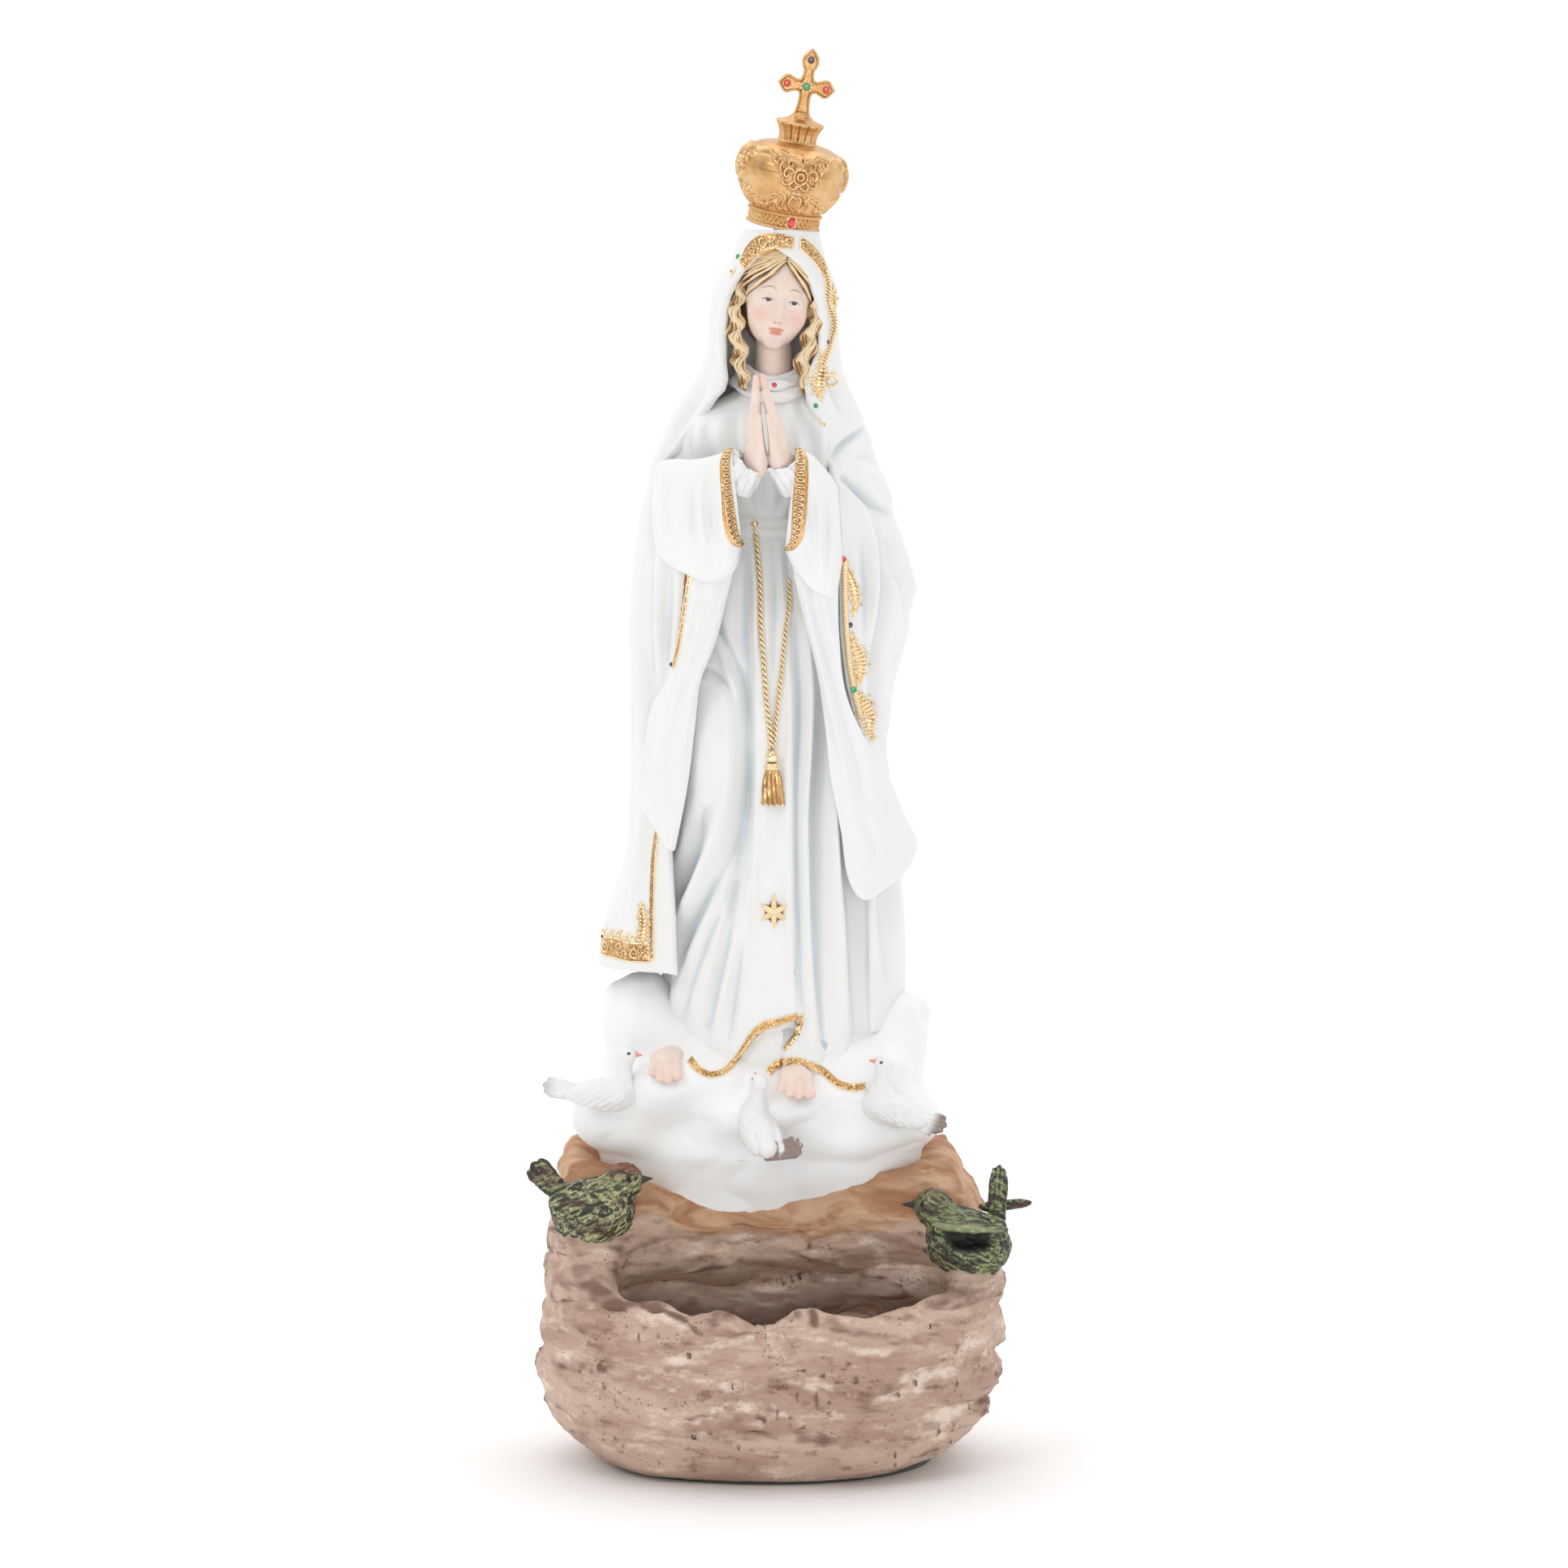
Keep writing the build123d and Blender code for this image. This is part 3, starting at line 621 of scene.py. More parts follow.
def tunic_shell(bottom, sunk, top, columns, rows):
    """The tunic's skin from a lower edge given by x, all round, up to a height."""
    angle = np.linspace(0, 2 * np.pi, columns, endpoint=False)[None, :]
    edge = np.full(columns, 172.0)
    flat = on_rings(TUNIC_RINGS, np.full((1, columns), 180.0), angle)[0]
    front = flat[:, 1] < 8
    edge[front] = bottom(flat[front, 0])
    share = np.linspace(0, 1, rows)[:, None]
    height = edge[None, :] + (top - edge[None, :]) * share
    angles = np.broadcast_to(angle, height.shape)
    base = on_rings(TUNIC_RINGS, height, angles)
    facing = np.clip(-1.6 * np.sin(angles), 0, 1)
    relief = tunic_relief(base[..., 0], base[..., 2]) * facing
    relief += (1 - facing) * 1.8 * np.sin(11 * angles) * step_up(0, 1, 1 - share)
    relief -= sunk * (1 - 0.95 * facing * turned_back(base[..., 0], base[..., 2]))
    return on_rings(TUNIC_RINGS, height, angles, relief)


def tunic_bottom(x):
    """The front hem: it sweeps up to the middle and the far side hangs lower."""
    left = np.interp(x, [p[0] for p in HEM], [p[1] for p in HEM])
    right = np.interp(x, [p[0] for p in UNDER_HEM], [p[1] for p in UNDER_HEM])
    return np.where(x < 12.5, left, right)


def under_bottom(x):
    return np.interp(x, [p[0] for p in UNDER_HEM], [p[1] for p in UNDER_HEM])


def add_shell(shape, outer, thickness, deep=14.0):
    """A closed ring of cloth with a turned-in lower edge, closed on top and deep inside."""
    rows, columns = outer.shape[:2]
    centre = outer.mean(axis=1, keepdims=True)
    lip = outer[0] + (centre[0] - outer[0]) * 0.012 + np.array([0, 0, -0.8])
    inside = outer[0] + (centre[0] - outer[0]) * thickness + np.array([0, 0, 1.0])
    raised = inside + np.array([0, 0, deep])
    points = np.concatenate([[raised, inside, lip], outer])
    top = outer[-1].mean(axis=0)
    floor = raised.mean(axis=0)
    total = (rows + 3) * columns
    shape.add(
        np.concatenate([points.reshape(-1, 3), [top, floor]]),
        grid_faces(rows + 3, columns, closed=True),
        fan(np.arange(columns) + total - columns, total),
        fan(np.arange(columns), total + 1, flip=True),
    )


tunic = Shape()
add_shell(tunic, tunic_shell(tunic_bottom, 0.0, 479, 560, 400), 0.08)
add_shell(tunic, tunic_shell(under_bottom, 3.2, 250, 480, 90), 0.08)
make_piece("tunic", tunic, "statue", ["tunic"], WHITE, 46)


# ---------------------------------------------------------------- mantle and veil
MANTLE_RINGS = [
    (212, -9.5, 12, 67.5, 41), (248, -5.5, 12, 64, 40), (270, -4, 12, 60, 39), (290, -4.3, 12, 58.3, 38),
    (318, -4.9, 12, 56.4, 37), (346, -2.9, 12, 59, 36.5), (373, -0.2, 12, 62.2, 36.5),
    (385, 1.3, 12, 62.8, 36.5),
    (397, 0.7, 12, 60.8, 36), (415, -0.8, 12, 56.8, 34.5), (430, -1.3, 12, 52.7, 33),
    (442, -2.3, 12, 49.2, 31),
    (455, -1.6, 11, 44.4, 28.5), (468, -1.3, 9.5, 38.2, 26), (477, -0.4, 8, 33.2, 25),
    (487, 0.6, 6.5, 29.4, 24.5),
    (497, 0.9, 5.2, 28.2, 24), (508, 0.8, 4.5, 27.8, 23.5), (516, 1.6, 4, 27, 23), (524, 2.1, 3.4, 23.6, 22),
    (530, 3.2, 3, 20.6, 20.5), (537, 3.6, 2.4, 18.2, 18.5), (542, 4.4, 2, 16.4, 16.8),
]
MANTLE_EDGE_LEFT = [
    (212, -42.5), (244, -43.5), (269, -45), (282, -46), (300, -45), (351, -43), (367, -39), (392, -36),
    (404, -40),
    (420, -46), (433, -50), (441, -48.5), (448, -43), (456, -36), (464, -30), (469, -25.5),
    (473, -21.5), (478, -20.5),
    (484, -21), (492, -22.2), (500, -22.8), (508, -22), (514, -20), (520, -17.2), (525, -14),
    (529, -10), (532, -5.5),
    (533.5, -2), (534.5, 2),
]
MANTLE_EDGE_RIGHT = [
    (212, 45), (260, 44), (300, 42), (328, 39), (345, 35), (367, 32), (397, 31), (410, 31), (430, 29.5),
    (442, 26.5),
    (452, 24.5), (460, 21), (467, 17), (474, 16), (480, 17.5), (488, 21), (496, 23.2), (503, 22), (512, 20.8),
    (518, 18.6), (523, 16.4), (527, 13.2), (530.5, 9), (533, 5), (534.5, 2),
]
MANTLE_FOLDS = [
    ("valley", 2.8, 1.8, [(26, 441), (31, 448), (38, 453), (44, 457)]),
    ("valley", 3.4, 2.0, [(30, 437), (40, 429), (50, 421), (58, 412)]),
    ("valley", 4.6, 2.4, [(34, 434), (44, 424), (50, 410), (50, 388), (47, 362), (47, 332), (50, 310)]),
    ("valley", 3.6, 2.0, [(53, 412), (56, 396), (60, 382), (61, 370)]),
    ("valley", 2.6, 1.8, [(40, 408), (42, 385), (42, 360), (43, 340)]),
    ("valley", 3.0, 2.2, [(56, 372), (54, 350), (52, 330)]),
    ("ridge", 2.6, 2.6, [(38, 440), (47, 434), (54, 424)]),
    ("ridge", 2.4, 2.4, [(46, 405), (46, 384), (44, 360)]),
    ("valley", 4.0, 2.4, [(-46, 441), (-50, 425), (-54, 402), (-55, 372), (-53, 335), (-54, 300)]),
    ("valley", 3.0, 2.0, [(-44, 398), (-46, 370), (-49, 340), (-52, 320)]),
    ("valley", 3.4, 2.6, [(-59, 318), (-62, 280), (-66, 246), (-69, 222)]),
    ("ridge", 2.6, 3.0, [(-56, 310), (-58, 272), (-60, 240), (-61, 218)]),
    ("valley", 2.6, 2.0, [(-28, 474), (-36, 463), (-43, 452), (-48, 440)]),
    ("valley", 2.2, 1.8, [(24, 480), (28, 470), (33, 460)]),
    ("valley", 3.4, 2.4, [(50, 300), (50, 262), (52, 230)]),
    ("ridge", 2.6, 2.4, [(55, 296), (55, 255), (56, 222)]),
    ("valley", 1.4, 1.6, [(-24, 512), (-25.5, 498), (-26, 484), (-29, 473)]),
    ("valley", 1.3, 1.6, [(25.5, 512), (26.5, 500), (26, 486)]),
]
BACK_PLEATS = 8


def mantle_surface(heights, columns, out=0.0):
    """The cloak's outer face: rows of points from its left front edge round the back to its right."""
    cx, _, rx, _ = ring_values(MANTLE_RINGS, heights)
    left = np.interp(heights, *zip(*MANTLE_EDGE_LEFT))
    right = np.interp(heights, *zip(*MANTLE_EDGE_RIGHT))
    start = np.arccos(np.clip((left - cx) / rx, -1, 1))
    end = np.arccos(np.clip((right - cx) / rx, -1, 1))
    share = np.linspace(0, 1, columns)[None, :]
    angle = -start[:, None] - share * (2 * np.pi - start + end)[:, None]
    height = np.broadcast_to(heights[:, None], angle.shape)
    base = on_rings(MANTLE_RINGS, height, angle)
    facing = np.clip(0.35 - 1.3 * np.sin(angle), 0, 1)
    relief = 1.3 * folds(base[..., 0], base[..., 2], MANTLE_FOLDS) * facing
    behind = np.clip(0.2 + np.sin(angle), 0, 1) * step_up(545, 430, height)
    sway = 0.25 * noise(base[..., 0], base[..., 1], height, 60, 3)
    pleats = np.sin(BACK_PLEATS * (angle + sway) + 0.008 * height)
    relief = relief + behind * (1.2 + 3.0 * step_up(460, 260, height)) * (
        np.abs(pleats) ** 0.7 * np.sign(pleats)
    )
    relief = relief + 1.0 * noise(base[..., 0], base[..., 1], height, 26, 5) * step_up(540, 480, height)
    return on_rings(MANTLE_RINGS, height, angle, out + relief)


def add_cloth(shape, outer, thickness, round_edge=0.9, roll_low=0.9):
    """Closed cloth with rounded edges from its outer face (rows from the bottom up)."""
    across = np.gradient(outer, axis=1)
    upward = np.gradient(outer, axis=0)
    normal = np.cross(across, upward)
    normal /= np.linalg.norm(normal, axis=2, keepdims=True) + 1e-9
    rows, columns = outer.shape[:2]
    inner = outer - normal * thickness
    edges = []
    for column, towards in ((0, 1), (-1, -2)):
        away = outer[:, column] - outer[:, towards]
        away /= np.linalg.norm(away, axis=1, keepdims=True) + 1e-9
        for share in (0.2, 0.5, 0.8):
            swell = round_edge * math.sin(math.pi * share)
            edges.append(outer[:, column] - normal[:, column] * thickness * share + away * swell)
    wrapped = np.concatenate(
        [outer, np.stack(edges[3:], axis=1), inner[:, ::-1], np.stack(edges[:3], axis=1)[:, ::-1]], axis=1
    )
    around = wrapped.shape[1]
    lower = wrapped[0].copy()
    middle = 0.5 * (outer[0] + inner[0])
    pull = np.concatenate([middle, middle[-1:].repeat(3, 0), middle[::-1], middle[:1].repeat(3, 0)])
    low_lip = lower + 0.35 * (pull - lower) + np.array([0, 0, -roll_low])
    low_seam = lower + 0.92 * (pull - lower) + np.array([0, 0, -1.15 * roll_low])
    points = np.concatenate([[low_seam, low_lip], wrapped])
    first = shape.count
    shape.add(points.reshape(-1, 3), grid_faces(rows + 2, around, closed=True))
    top = first + (rows + 1) * around
    strip = np.arange(columns - 1)
    opposite = columns + 3 + (columns - 1) - strip
    shape.faces.append(np.stack([strip, strip + 1, opposite - 1, opposite], axis=1) + top)
    shape.faces.append(np.stack([strip + 1, strip, opposite, opposite - 1], axis=1) + first)
    for base, flip in ((top, False), (first, True)):
        right_corner = np.arange(columns - 1, columns + 4)
        left_corner = np.array([around - 4, around - 3, around - 2, around - 1, 0])
        for corner in (right_corner, left_corner):
            ring = base + (corner[::-1] if flip else corner)
            shape.faces.append(ring[None, :])


mantle_heights = np.concatenate([np.linspace(214, 505, 300), np.linspace(505.6, 542, 90)])
mantle_face = mantle_surface(mantle_heights, 560)
near_hem = step_up(292, 214, mantle_face[..., 2])
hem_rise = 5.5 * step_up(-22, -48, mantle_face[..., 0]) * step_up(40, 10, mantle_face[..., 1])
hem_drop = 22.0 * step_up(25, 45, mantle_face[..., 0]) * step_up(45, 15, mantle_face[..., 1])
mantle_face[..., 2] += near_hem * (hem_rise - hem_drop)
mantle = Shape()
add_cloth(mantle, mantle_face[:, ::-1], 4.0)
make_piece("mantle", mantle, "statue", ["mantle"], WHITE, 40)


# ---------------------------------------------------------------- sleeves and forearm panels
def sleeve_loop(top, bottom, front, back, columns, rows):
    """A hanging sleeve from its open end to the elbow: rings between an upper and a lower line."""
    top, bottom = smooth_path(top, rows), smooth_path(bottom, rows)
    share = np.linspace(0, 1, rows)
    forward = np.interp(share, *zip(*front))
    behind = np.interp(share, *zip(*back))
    angle = np.linspace(0, 2 * np.pi, columns, endpoint=False)
    middle, half = 0.5 * (top + bottom), 0.5 * (top - bottom)
    points = middle[:, None] + half[:, None] * np.cos(angle)[None, :, None]
    bulge = np.where(np.sin(angle)[None, :] > 0, forward[:, None], behind[:, None])
    points[..., 1] -= bulge * np.sin(angle)[None, :]
    return points


def add_sleeve(shape, rings, table, mirror=1):
    """A hollow sleeve with folds pressed into its front, closed at the elbow."""
    rows, columns = rings.shape[:2]
    middle = rings.mean(axis=1, keepdims=True)
    away = rings - middle
    away /= np.linalg.norm(away, axis=2, keepdims=True) + 1e-9
    facing = np.clip(-away[..., 1] * 1.6, 0, 1)
    relief = folds(rings[..., 0], rings[..., 2], table) * facing
    outer = rings + away * relief[..., None]
    lip = outer[0] + (middle[0] - outer[0]) * 0.05 + (outer[0] - outer[1]) * 0.35
    inside = [outer[k] + (middle[k] - outer[k]) * (0.14 + 0.012 * k) for k in range(0, rows // 3, 2)]
    points = np.concatenate([np.array(inside)[::-1], [lip], outer])
    total = len(points) * columns
    shape.add(
        np.concatenate([points.reshape(-1, 3), [inside[-1].mean(axis=0), outer[-1].mean(axis=0)]]),
        grid_faces(len(points), columns, closed=True, flip=mirror > 0),
        fan(np.arange(columns), total, flip=mirror < 0),
        fan(np.arange(columns) + total - columns, total + 1, flip=mirror > 0),
    )


LEFT_SLEEVE = sleeve_loop(
    [(-17, -38, 448), (-24, -37, 445.5), (-33, -33, 443.5), (-42, -27, 443.5), (-48, -20, 442),
        (-51.5, -9, 436)],
    [(-12.5, -38, 407), (-15.5, -37, 396), (-23, -35, 390.5), (-36, -31, 393.5), (-48, -24, 401),
        (-52, -12, 415)],
    [(0, 6.5), (0.3, 11), (0.7, 13), (1, 4)],
    [(0, 6), (0.5, 16), (1, 8)],
    220, 150,
)
RIGHT_SLEEVE = sleeve_loop(
    [(11, -38, 448), (17, -37, 446), (22, -33, 441), (26, -27, 436), (29, -20, 431)],
    [(6, -38, 404.5), (10, -37, 396.5), (18, -35, 387), (26, -32, 384), (31, -22, 398)],
    [(0, 6.5), (0.3, 9), (0.7, 11), (1, 5)],
    [(0, 6), (0.5, 14), (1, 8)],
    220, 130,
)
LEFT_SLEEVE_FOLDS = [
    ("valley", 2.6, 1.8, [(-24, 444), (-26, 430), (-25, 413), (-22, 399)]),
    ("valley", 2.0, 1.7, [(-33, 440), (-34, 424), (-32, 404)]),
    ("valley", 2.4, 1.6, [(-28, 408), (-26, 399), (-24, 393), (-22, 390)]),
    ("valley", 2.2, 1.5, [(-33, 402), (-31, 397), (-29.5, 392)]),
    ("valley", 1.8, 2.0, [(-43, 436), (-45, 424), (-43, 410)]),
    ("ridge", 2.2, 2.6, [(-20, 443), (-20.5, 425), (-18, 404), (-17, 396)]),
    ("ridge", 1.6, 2.0, [(-29, 440), (-30, 422), (-28, 405)]),
]
RIGHT_SLEEVE_FOLDS = [
    ("valley", 2.8, 1.5, [(18, 444), (22, 436), (24, 420), (24.5, 402), (24.5, 390)]),
    ("valley", 2.2, 1.5, [(15, 436), (17, 420), (18, 405), (19, 394)]),
    ("valley", 2.6, 1.5, [(9, 402), (13, 396), (18, 391), (23, 388)]),
    ("valley", 1.8, 1.2, [(14, 410), (17, 400), (21, 392)]),
    ("ridge", 2.0, 1.8, [(19, 441), (21, 428), (21.5, 410), (22, 396)]),
]
sleeve_left, sleeve_right = Shape(), Shape()
add_sleeve(sleeve_left, LEFT_SLEEVE, LEFT_SLEEVE_FOLDS)
add_sleeve(sleeve_right, RIGHT_SLEEVE, RIGHT_SLEEVE_FOLDS, mirror=-1)
make_piece("sleeve_left", sleeve_left, "statue", ["sleeve_left"], WHITE, 26)
make_piece("sleeve_right", sleeve_right, "statue", ["sleeve_right"], WHITE, 26)

PANEL_RING = (-2, 12, 70, 42)


def panel_face(left, right, table, rows, columns, crown, back_off):
    """A hanging panel's outer face between two drawn edges, wrapped round the body."""
    left, right = smooth_path(left, rows)[::-1], smooth_path(right, rows)[::-1]
    share = np.linspace(0, 1, columns)[None, :]
    x = left[:, :1] + (right[:, :1] - left[:, :1]) * share
    z = left[:, 1:] + (right[:, 1:] - left[:, 1:]) * share
    cx, cy, rx, ry = PANEL_RING
    y = cy - ry * np.sqrt(np.clip(1 - ((x - cx) / rx) ** 2, 0.02, 1))
    y = y + back_off - crown * np.sin(np.pi * np.clip(share, 0, 1)) ** 0.8
    y = y - folds(x, z, table) - 0.5 * noise(x, 0 * x, z, 18, 9)
    return np.stack([x, y, z], axis=-1)


LEFT_PANEL = panel_face(
    [(-35, 400), (-38, 380), (-41, 362), (-45, 348), (-52, 336), (-55.5, 318), (-60, 296), (-51, 281.5),
        (-46.5, 273.5)],
    [(-14, 404), (-18, 388), (-24, 364), (-30.5, 347), (-33, 328), (-35, 311), (-38, 292), (-40.6, 279),
        (-41.8, 273)],
    [
        ("valley", 1.8, 1.8, [(-24, 392), (-30, 368), (-38, 345), (-44, 322), (-47, 300)]),
        ("ridge", 1.8, 2.4, [(-20, 388), (-27, 362), (-34, 342), (-38, 318), (-41, 292)]),
        ("valley", 1.5, 1.6, [(-48, 336), (-52, 316), (-55, 300)]),
        ("valley", 1.4, 1.4, [(-31, 392), (-35, 370), (-40, 354)]),
    ],
    260, 90, 2.6, 1.5,
)
RIGHT_PANEL = panel_face(
    [(8, 404), (11.5, 386), (16, 367), (20, 351), (23, 331), (26.5, 302), (31, 280), (35, 257),
        (37.5, 252.5)],
    [(29.5, 404), (29.5, 367), (33, 340), (38.8, 326), (50, 307), (57.5, 289), (64, 271.5), (59, 262),
        (44, 251)],
    [
        ("valley", 2.6, 1.8, [(17, 398), (20, 378), (25, 356), (30, 336), (38, 310), (42, 288)]),
        ("ridge", 2.2, 2.2, [(13, 392), (17, 372), (22, 352), (27, 330), (33, 304), (38, 280)]),
        ("ridge", 1.8, 2.6, [(24, 394), (27, 370), (33, 346), (43, 318), (50, 296)]),
        ("valley", 1.6, 1.8, [(46, 312), (50, 296), (51, 280)]),
        ("valley", 1.5, 1.4, [(24, 400), (25.5, 382), (28, 366)]),
        ("valley", 1.4, 1.6, [(40, 288), (45, 275), (47, 262)]),
    ],
    280, 100, 2.6, 0.5,
)
panel_left, panel_right = Shape(), Shape()
add_cloth(panel_left, LEFT_PANEL, 4.0, 0.9, 0.7)
add_cloth(panel_right, RIGHT_PANEL, 4.0, 0.9, 0.7)
make_piece("mantle_panel_left", panel_left, "statue", ["mantle_panel_left"], WHITE, 26)
make_piece("mantle_panel_right", panel_right, "statue", ["mantle_panel_right"], WHITE, 26)


# ---------------------------------------------------------------- collar and sash
def soft_roll(path, radius, wrinkles, sides=26, squash=0.7):
    """A gathered roll of cloth along a path."""
    path = smooth_path(path, 200)
    shape = Shape()
    share = np.linspace(0, 1, len(path))
    radii = radius * np.clip(np.sin(np.pi * np.clip(share, 0.03, 0.97)), 0, 1) ** 0.25
    radii = radii * (1 + wrinkles * noise(share * 40, share * 0, share * 0 + 3, 2.2, 12))
    shape.tube(path, radii, sides, twist=0.22, lobes=3, lobe=0.10, flat=squash)
    return shape


def neck_ring(height, out, sag):
    """A ring round the neck, lower in front."""
    angle = np.linspace(-1.5 * np.pi, 0.5 * np.pi, 40)
    x = 1.2 + (14.5 + out) * np.cos(angle)
    y = 7.0 + (12.5 + out) * np.sin(angle)
    z = height - sag * np.clip(-np.sin(angle), 0, 1) ** 2
    return np.stack([x, y, z], axis=1)


collar = soft_roll(neck_ring(480, 0, 6), 3.2, 0.12)
for lower in (soft_roll(neck_ring(476.5, 3.2, 7), 2.5, 0.2), soft_roll(neck_ring(483, -1.6, 6), 1.8, 0.1)):
    collar.add(np.concatenate(lower.points), *lower.faces)
make_piece("collar", collar, "statue", [], WHITE, 6)

sash = Shape()
sash_angle = np.linspace(0, 2 * np.pi, 300, endpoint=False)[None, :]
sash_height = np.linspace(408.5, 417.5, 24)[:, None]
sash_share = (sash_height - 408.5) / 9
sash_swell = 1.8 * np.sin(np.pi * sash_share) ** 0.5 - 0.5 * np.exp(-(((sash_share - 0.55) / 0.12) ** 2))
sash_swell = sash_swell + 0.25 * noise(sash_angle * 12, sash_height / 3, sash_angle * 0, 1.3, 21)
sash_face = on_rings(TUNIC_RINGS, sash_height + 0 * sash_angle, sash_angle + 0 * sash_height, sash_swell)
add_shell(sash, sash_face, 0.04, deep=3.0)
make_piece("waist_sash", sash, "statue", ["waist_sash"], WHITE, 8)


# ---------------------------------------------------------------- rock bowl
ROCK_SIZE = [
    (1.5, -1, -7, 70, 55), (6, -1, -7, 79, 61), (14, -1, -7, 89, 66), (24, 0, -8, 96, 71),
    (36, 0, -9, 99, 74),
    (60, 0, -10, 100, 75), (80, 0, -9, 100.5, 75), (95, 0, -7, 97, 72), (108, 0, -3, 94, 67),
    (122, -3, 6, 91, 56),
    (134, -6, 12, 86, 46), (142, -7, 14, 80, 42),
]
LAYER_EDGES = [-2, 18, 38, 59, 81, 100, 120, 150]
RIM = [
    (-105, 112), (-92, 108), (-86, 99), (-75, 90), (-64, 82), (-56, 81), (-49, 83), (-42, 81),
    (-35, 76), (-29, 77),
    (-24, 80), (-15, 78), (-7, 75), (2, 76), (11, 80), (25, 79), (40, 77.5), (55, 80), (70, 86),
    (85, 88), (97, 93),
    (105, 96),
]
LIP = [(-105, 122), (-80, 121), (-62, 119), (-50, 122), (-40, 113), (-28, 108), (-12, 111), (6, 106),
    (28, 108),
       (54, 114), (70, 117), (105, 112)]
CLOUD_LINE = [(-105, 138), (-84, 134), (-65, 129), (-47, 124), (-26, 119), (-14, 115), (2, 115), (14, 118),
    (28, 124),
              (49, 129), (71, 133), (105, 131)]
HOLLOW = [
    (26, 4, -44, 50, 14), (32, 4, -44, 60, 20), (42, 4, -45, 69, 25), (60, 4, -45.5, 73, 27),
    (82, 4, -46, 74, 27.5),
    (96, 5, -48, 74, 24), (106, 6, -51, 74, 21), (150, 6, -56, 78, 22),
]


def on_table(x, table):
    return np.interp(x, [row[0] for row in table], [row[1] for row in table])


def rock_field(x, y, z):
    rows = np.asarray(ROCK_SIZE, float)
    cx, cy, rx, ry = (smooth_values(z, rows[:, 0], rows[:, i]) for i in range(1, 5))
    across, deep = np.abs(x - cx) / rx, np.abs(y - cy) / ry
    round_body = ((across**2.5 + deep**2.5) ** 0.4 - 1) * 62
    wander = 11.0 * noise(x, y, 0 * x, 60, 41) + 5.0 * noise(x, y, 0 * x, 24, 42)
    layer = np.interp(z + wander - 0.05 * x, LAYER_EDGES, np.arange(len(LAYER_EDGES)))
    strength = 1.0 + 0.9 * noise(x, y, z, 38, 43)
    ledge = 3.1 * strength * (np.abs(np.sin(np.pi * layer)) ** 0.5 - 0.72)
    body = round_body - ledge
    rim = on_table(x, RIM)
    lip, line = on_table(x, LIP), on_table(x, CLOUD_LINE)
    shelf = lip + (line - lip) * step_up(-32, -22, y) + 3 * step_up(-10, 20, y)
    back = step_up(-54, -34, y)
    top = rim + (shelf - rim) * back + 1.5 * noise(x, y, 0 * x, 16, 44)
    body = -round_join(-body, -(z - top) * 0.8, 5.0)
    rows = np.asarray(HOLLOW, float)
    hx, hy, hrx, hry = (np.interp(z, rows[:, 0], rows[:, i]) for i in range(1, 5))
    hollow = (((np.abs(x - hx) / hrx) ** 2.6 + (np.abs(y - hy) / hry) ** 2.6) ** (1 / 2.6) - 1) * 24
    hollow = np.maximum(hollow + 1.6 * ledge * step_up(-40, -26, y), 29 - z)
    return np.maximum(round_cut(body, hollow, 4.0), 1.5 - z)


def rock_relief(x, y, z, normals):
    """Long broken strata, pits and cracks, on everything but the smooth shelf."""
    flat_shelf = step_up(-36, -24, y) * step_up(
        -6, 3, z - on_table(x, LIP)
    ) * step_up(0.15, 0.4, normals[:, 2])
    rough = 1 - 0.85 * flat_shelf
    tilt = z + 0.10 * x + 3 * noise(x, y, z, 40, 50)
    lumps = fractal(x * 0.8, y * 0.8, tilt * 1.1, 30, 2, 50)
    long_grain = fractal(x * 0.45, y * 0.45, tilt * 1.5, 8, 3, 51)
    somewhere = step_up(-0.1, 0.5, noise(x, y, z, 28, 57))
    cracks = -np.exp(-((fractal(x * 0.35, y * 0.35, tilt * 1.3, 17, 2, 55) / 0.11) ** 2)) * somewhere
    slabs = np.tanh(2.2 * fractal(x * 0.45, y * 0.45, tilt, 24, 2, 58))
    pits = -np.clip(noise(x, y, z, 2.8, 60) - 0.30, 0, 1) * step_up(0.0, 0.4, noise(x, y, z, 17, 61))
    foot = step_up(3, 14, z)
    relief = 2.5 * lumps + 1.1 * long_grain + 1.2 * cracks + 2.2 * slabs + 2.4 * pits
    return foot * rough * relief + 0.3 * noise(x, y, z, 5, 62)


rock = displaced(sculpt(rock_field, (-108, -92, 0), (108, 66, 150), 1.05), rock_relief, 2)


# ---------------------------------------------------------------- cloud
CLOUD_LUMPS = [
    (-6, 9, 166, 72, 39, 42), (-61, -2, 152, 26, 27, 19), (-24, -12, 141, 34, 21, 25),
    (-10, -20, 136, 21, 14, 14),
    (24, -10, 147, 34, 25, 19), (55, 2, 151, 20, 25, 19), (55, 9, 183, 15, 23, 25), (-57, 9, 192, 19, 25, 26),
    (-2, -21, 158, 36, 20, 17), (-46, -17, 164, 26, 19, 15), (36, -14, 163, 24, 20, 15),
    (-44, -25, 170, 14, 15, 8),
    (10, -27, 161, 17, 15, 8), (46, -16, 176, 16, 14, 12), (-20, -20, 172, 30, 14, 10),
    (-74, 4, 160, 10, 18, 14),
    (62, 6, 196, 8, 14, 10), (-70, 8, 200, 7, 14, 12),
]


def cloud_field(x, y, z):
    y = y - 0.4 * np.maximum(137.0 - z, 0)
    z = np.maximum(z, 137.0)
    total = None
    for cx, cy, cz, rx, ry, rz in CLOUD_LUMPS:
        lump = ellipsoid(x, y, z, (cx, cy, cz), (rx, ry, rz))
        total = lump if total is None else round_join(total, lump, 6.0)
    return total


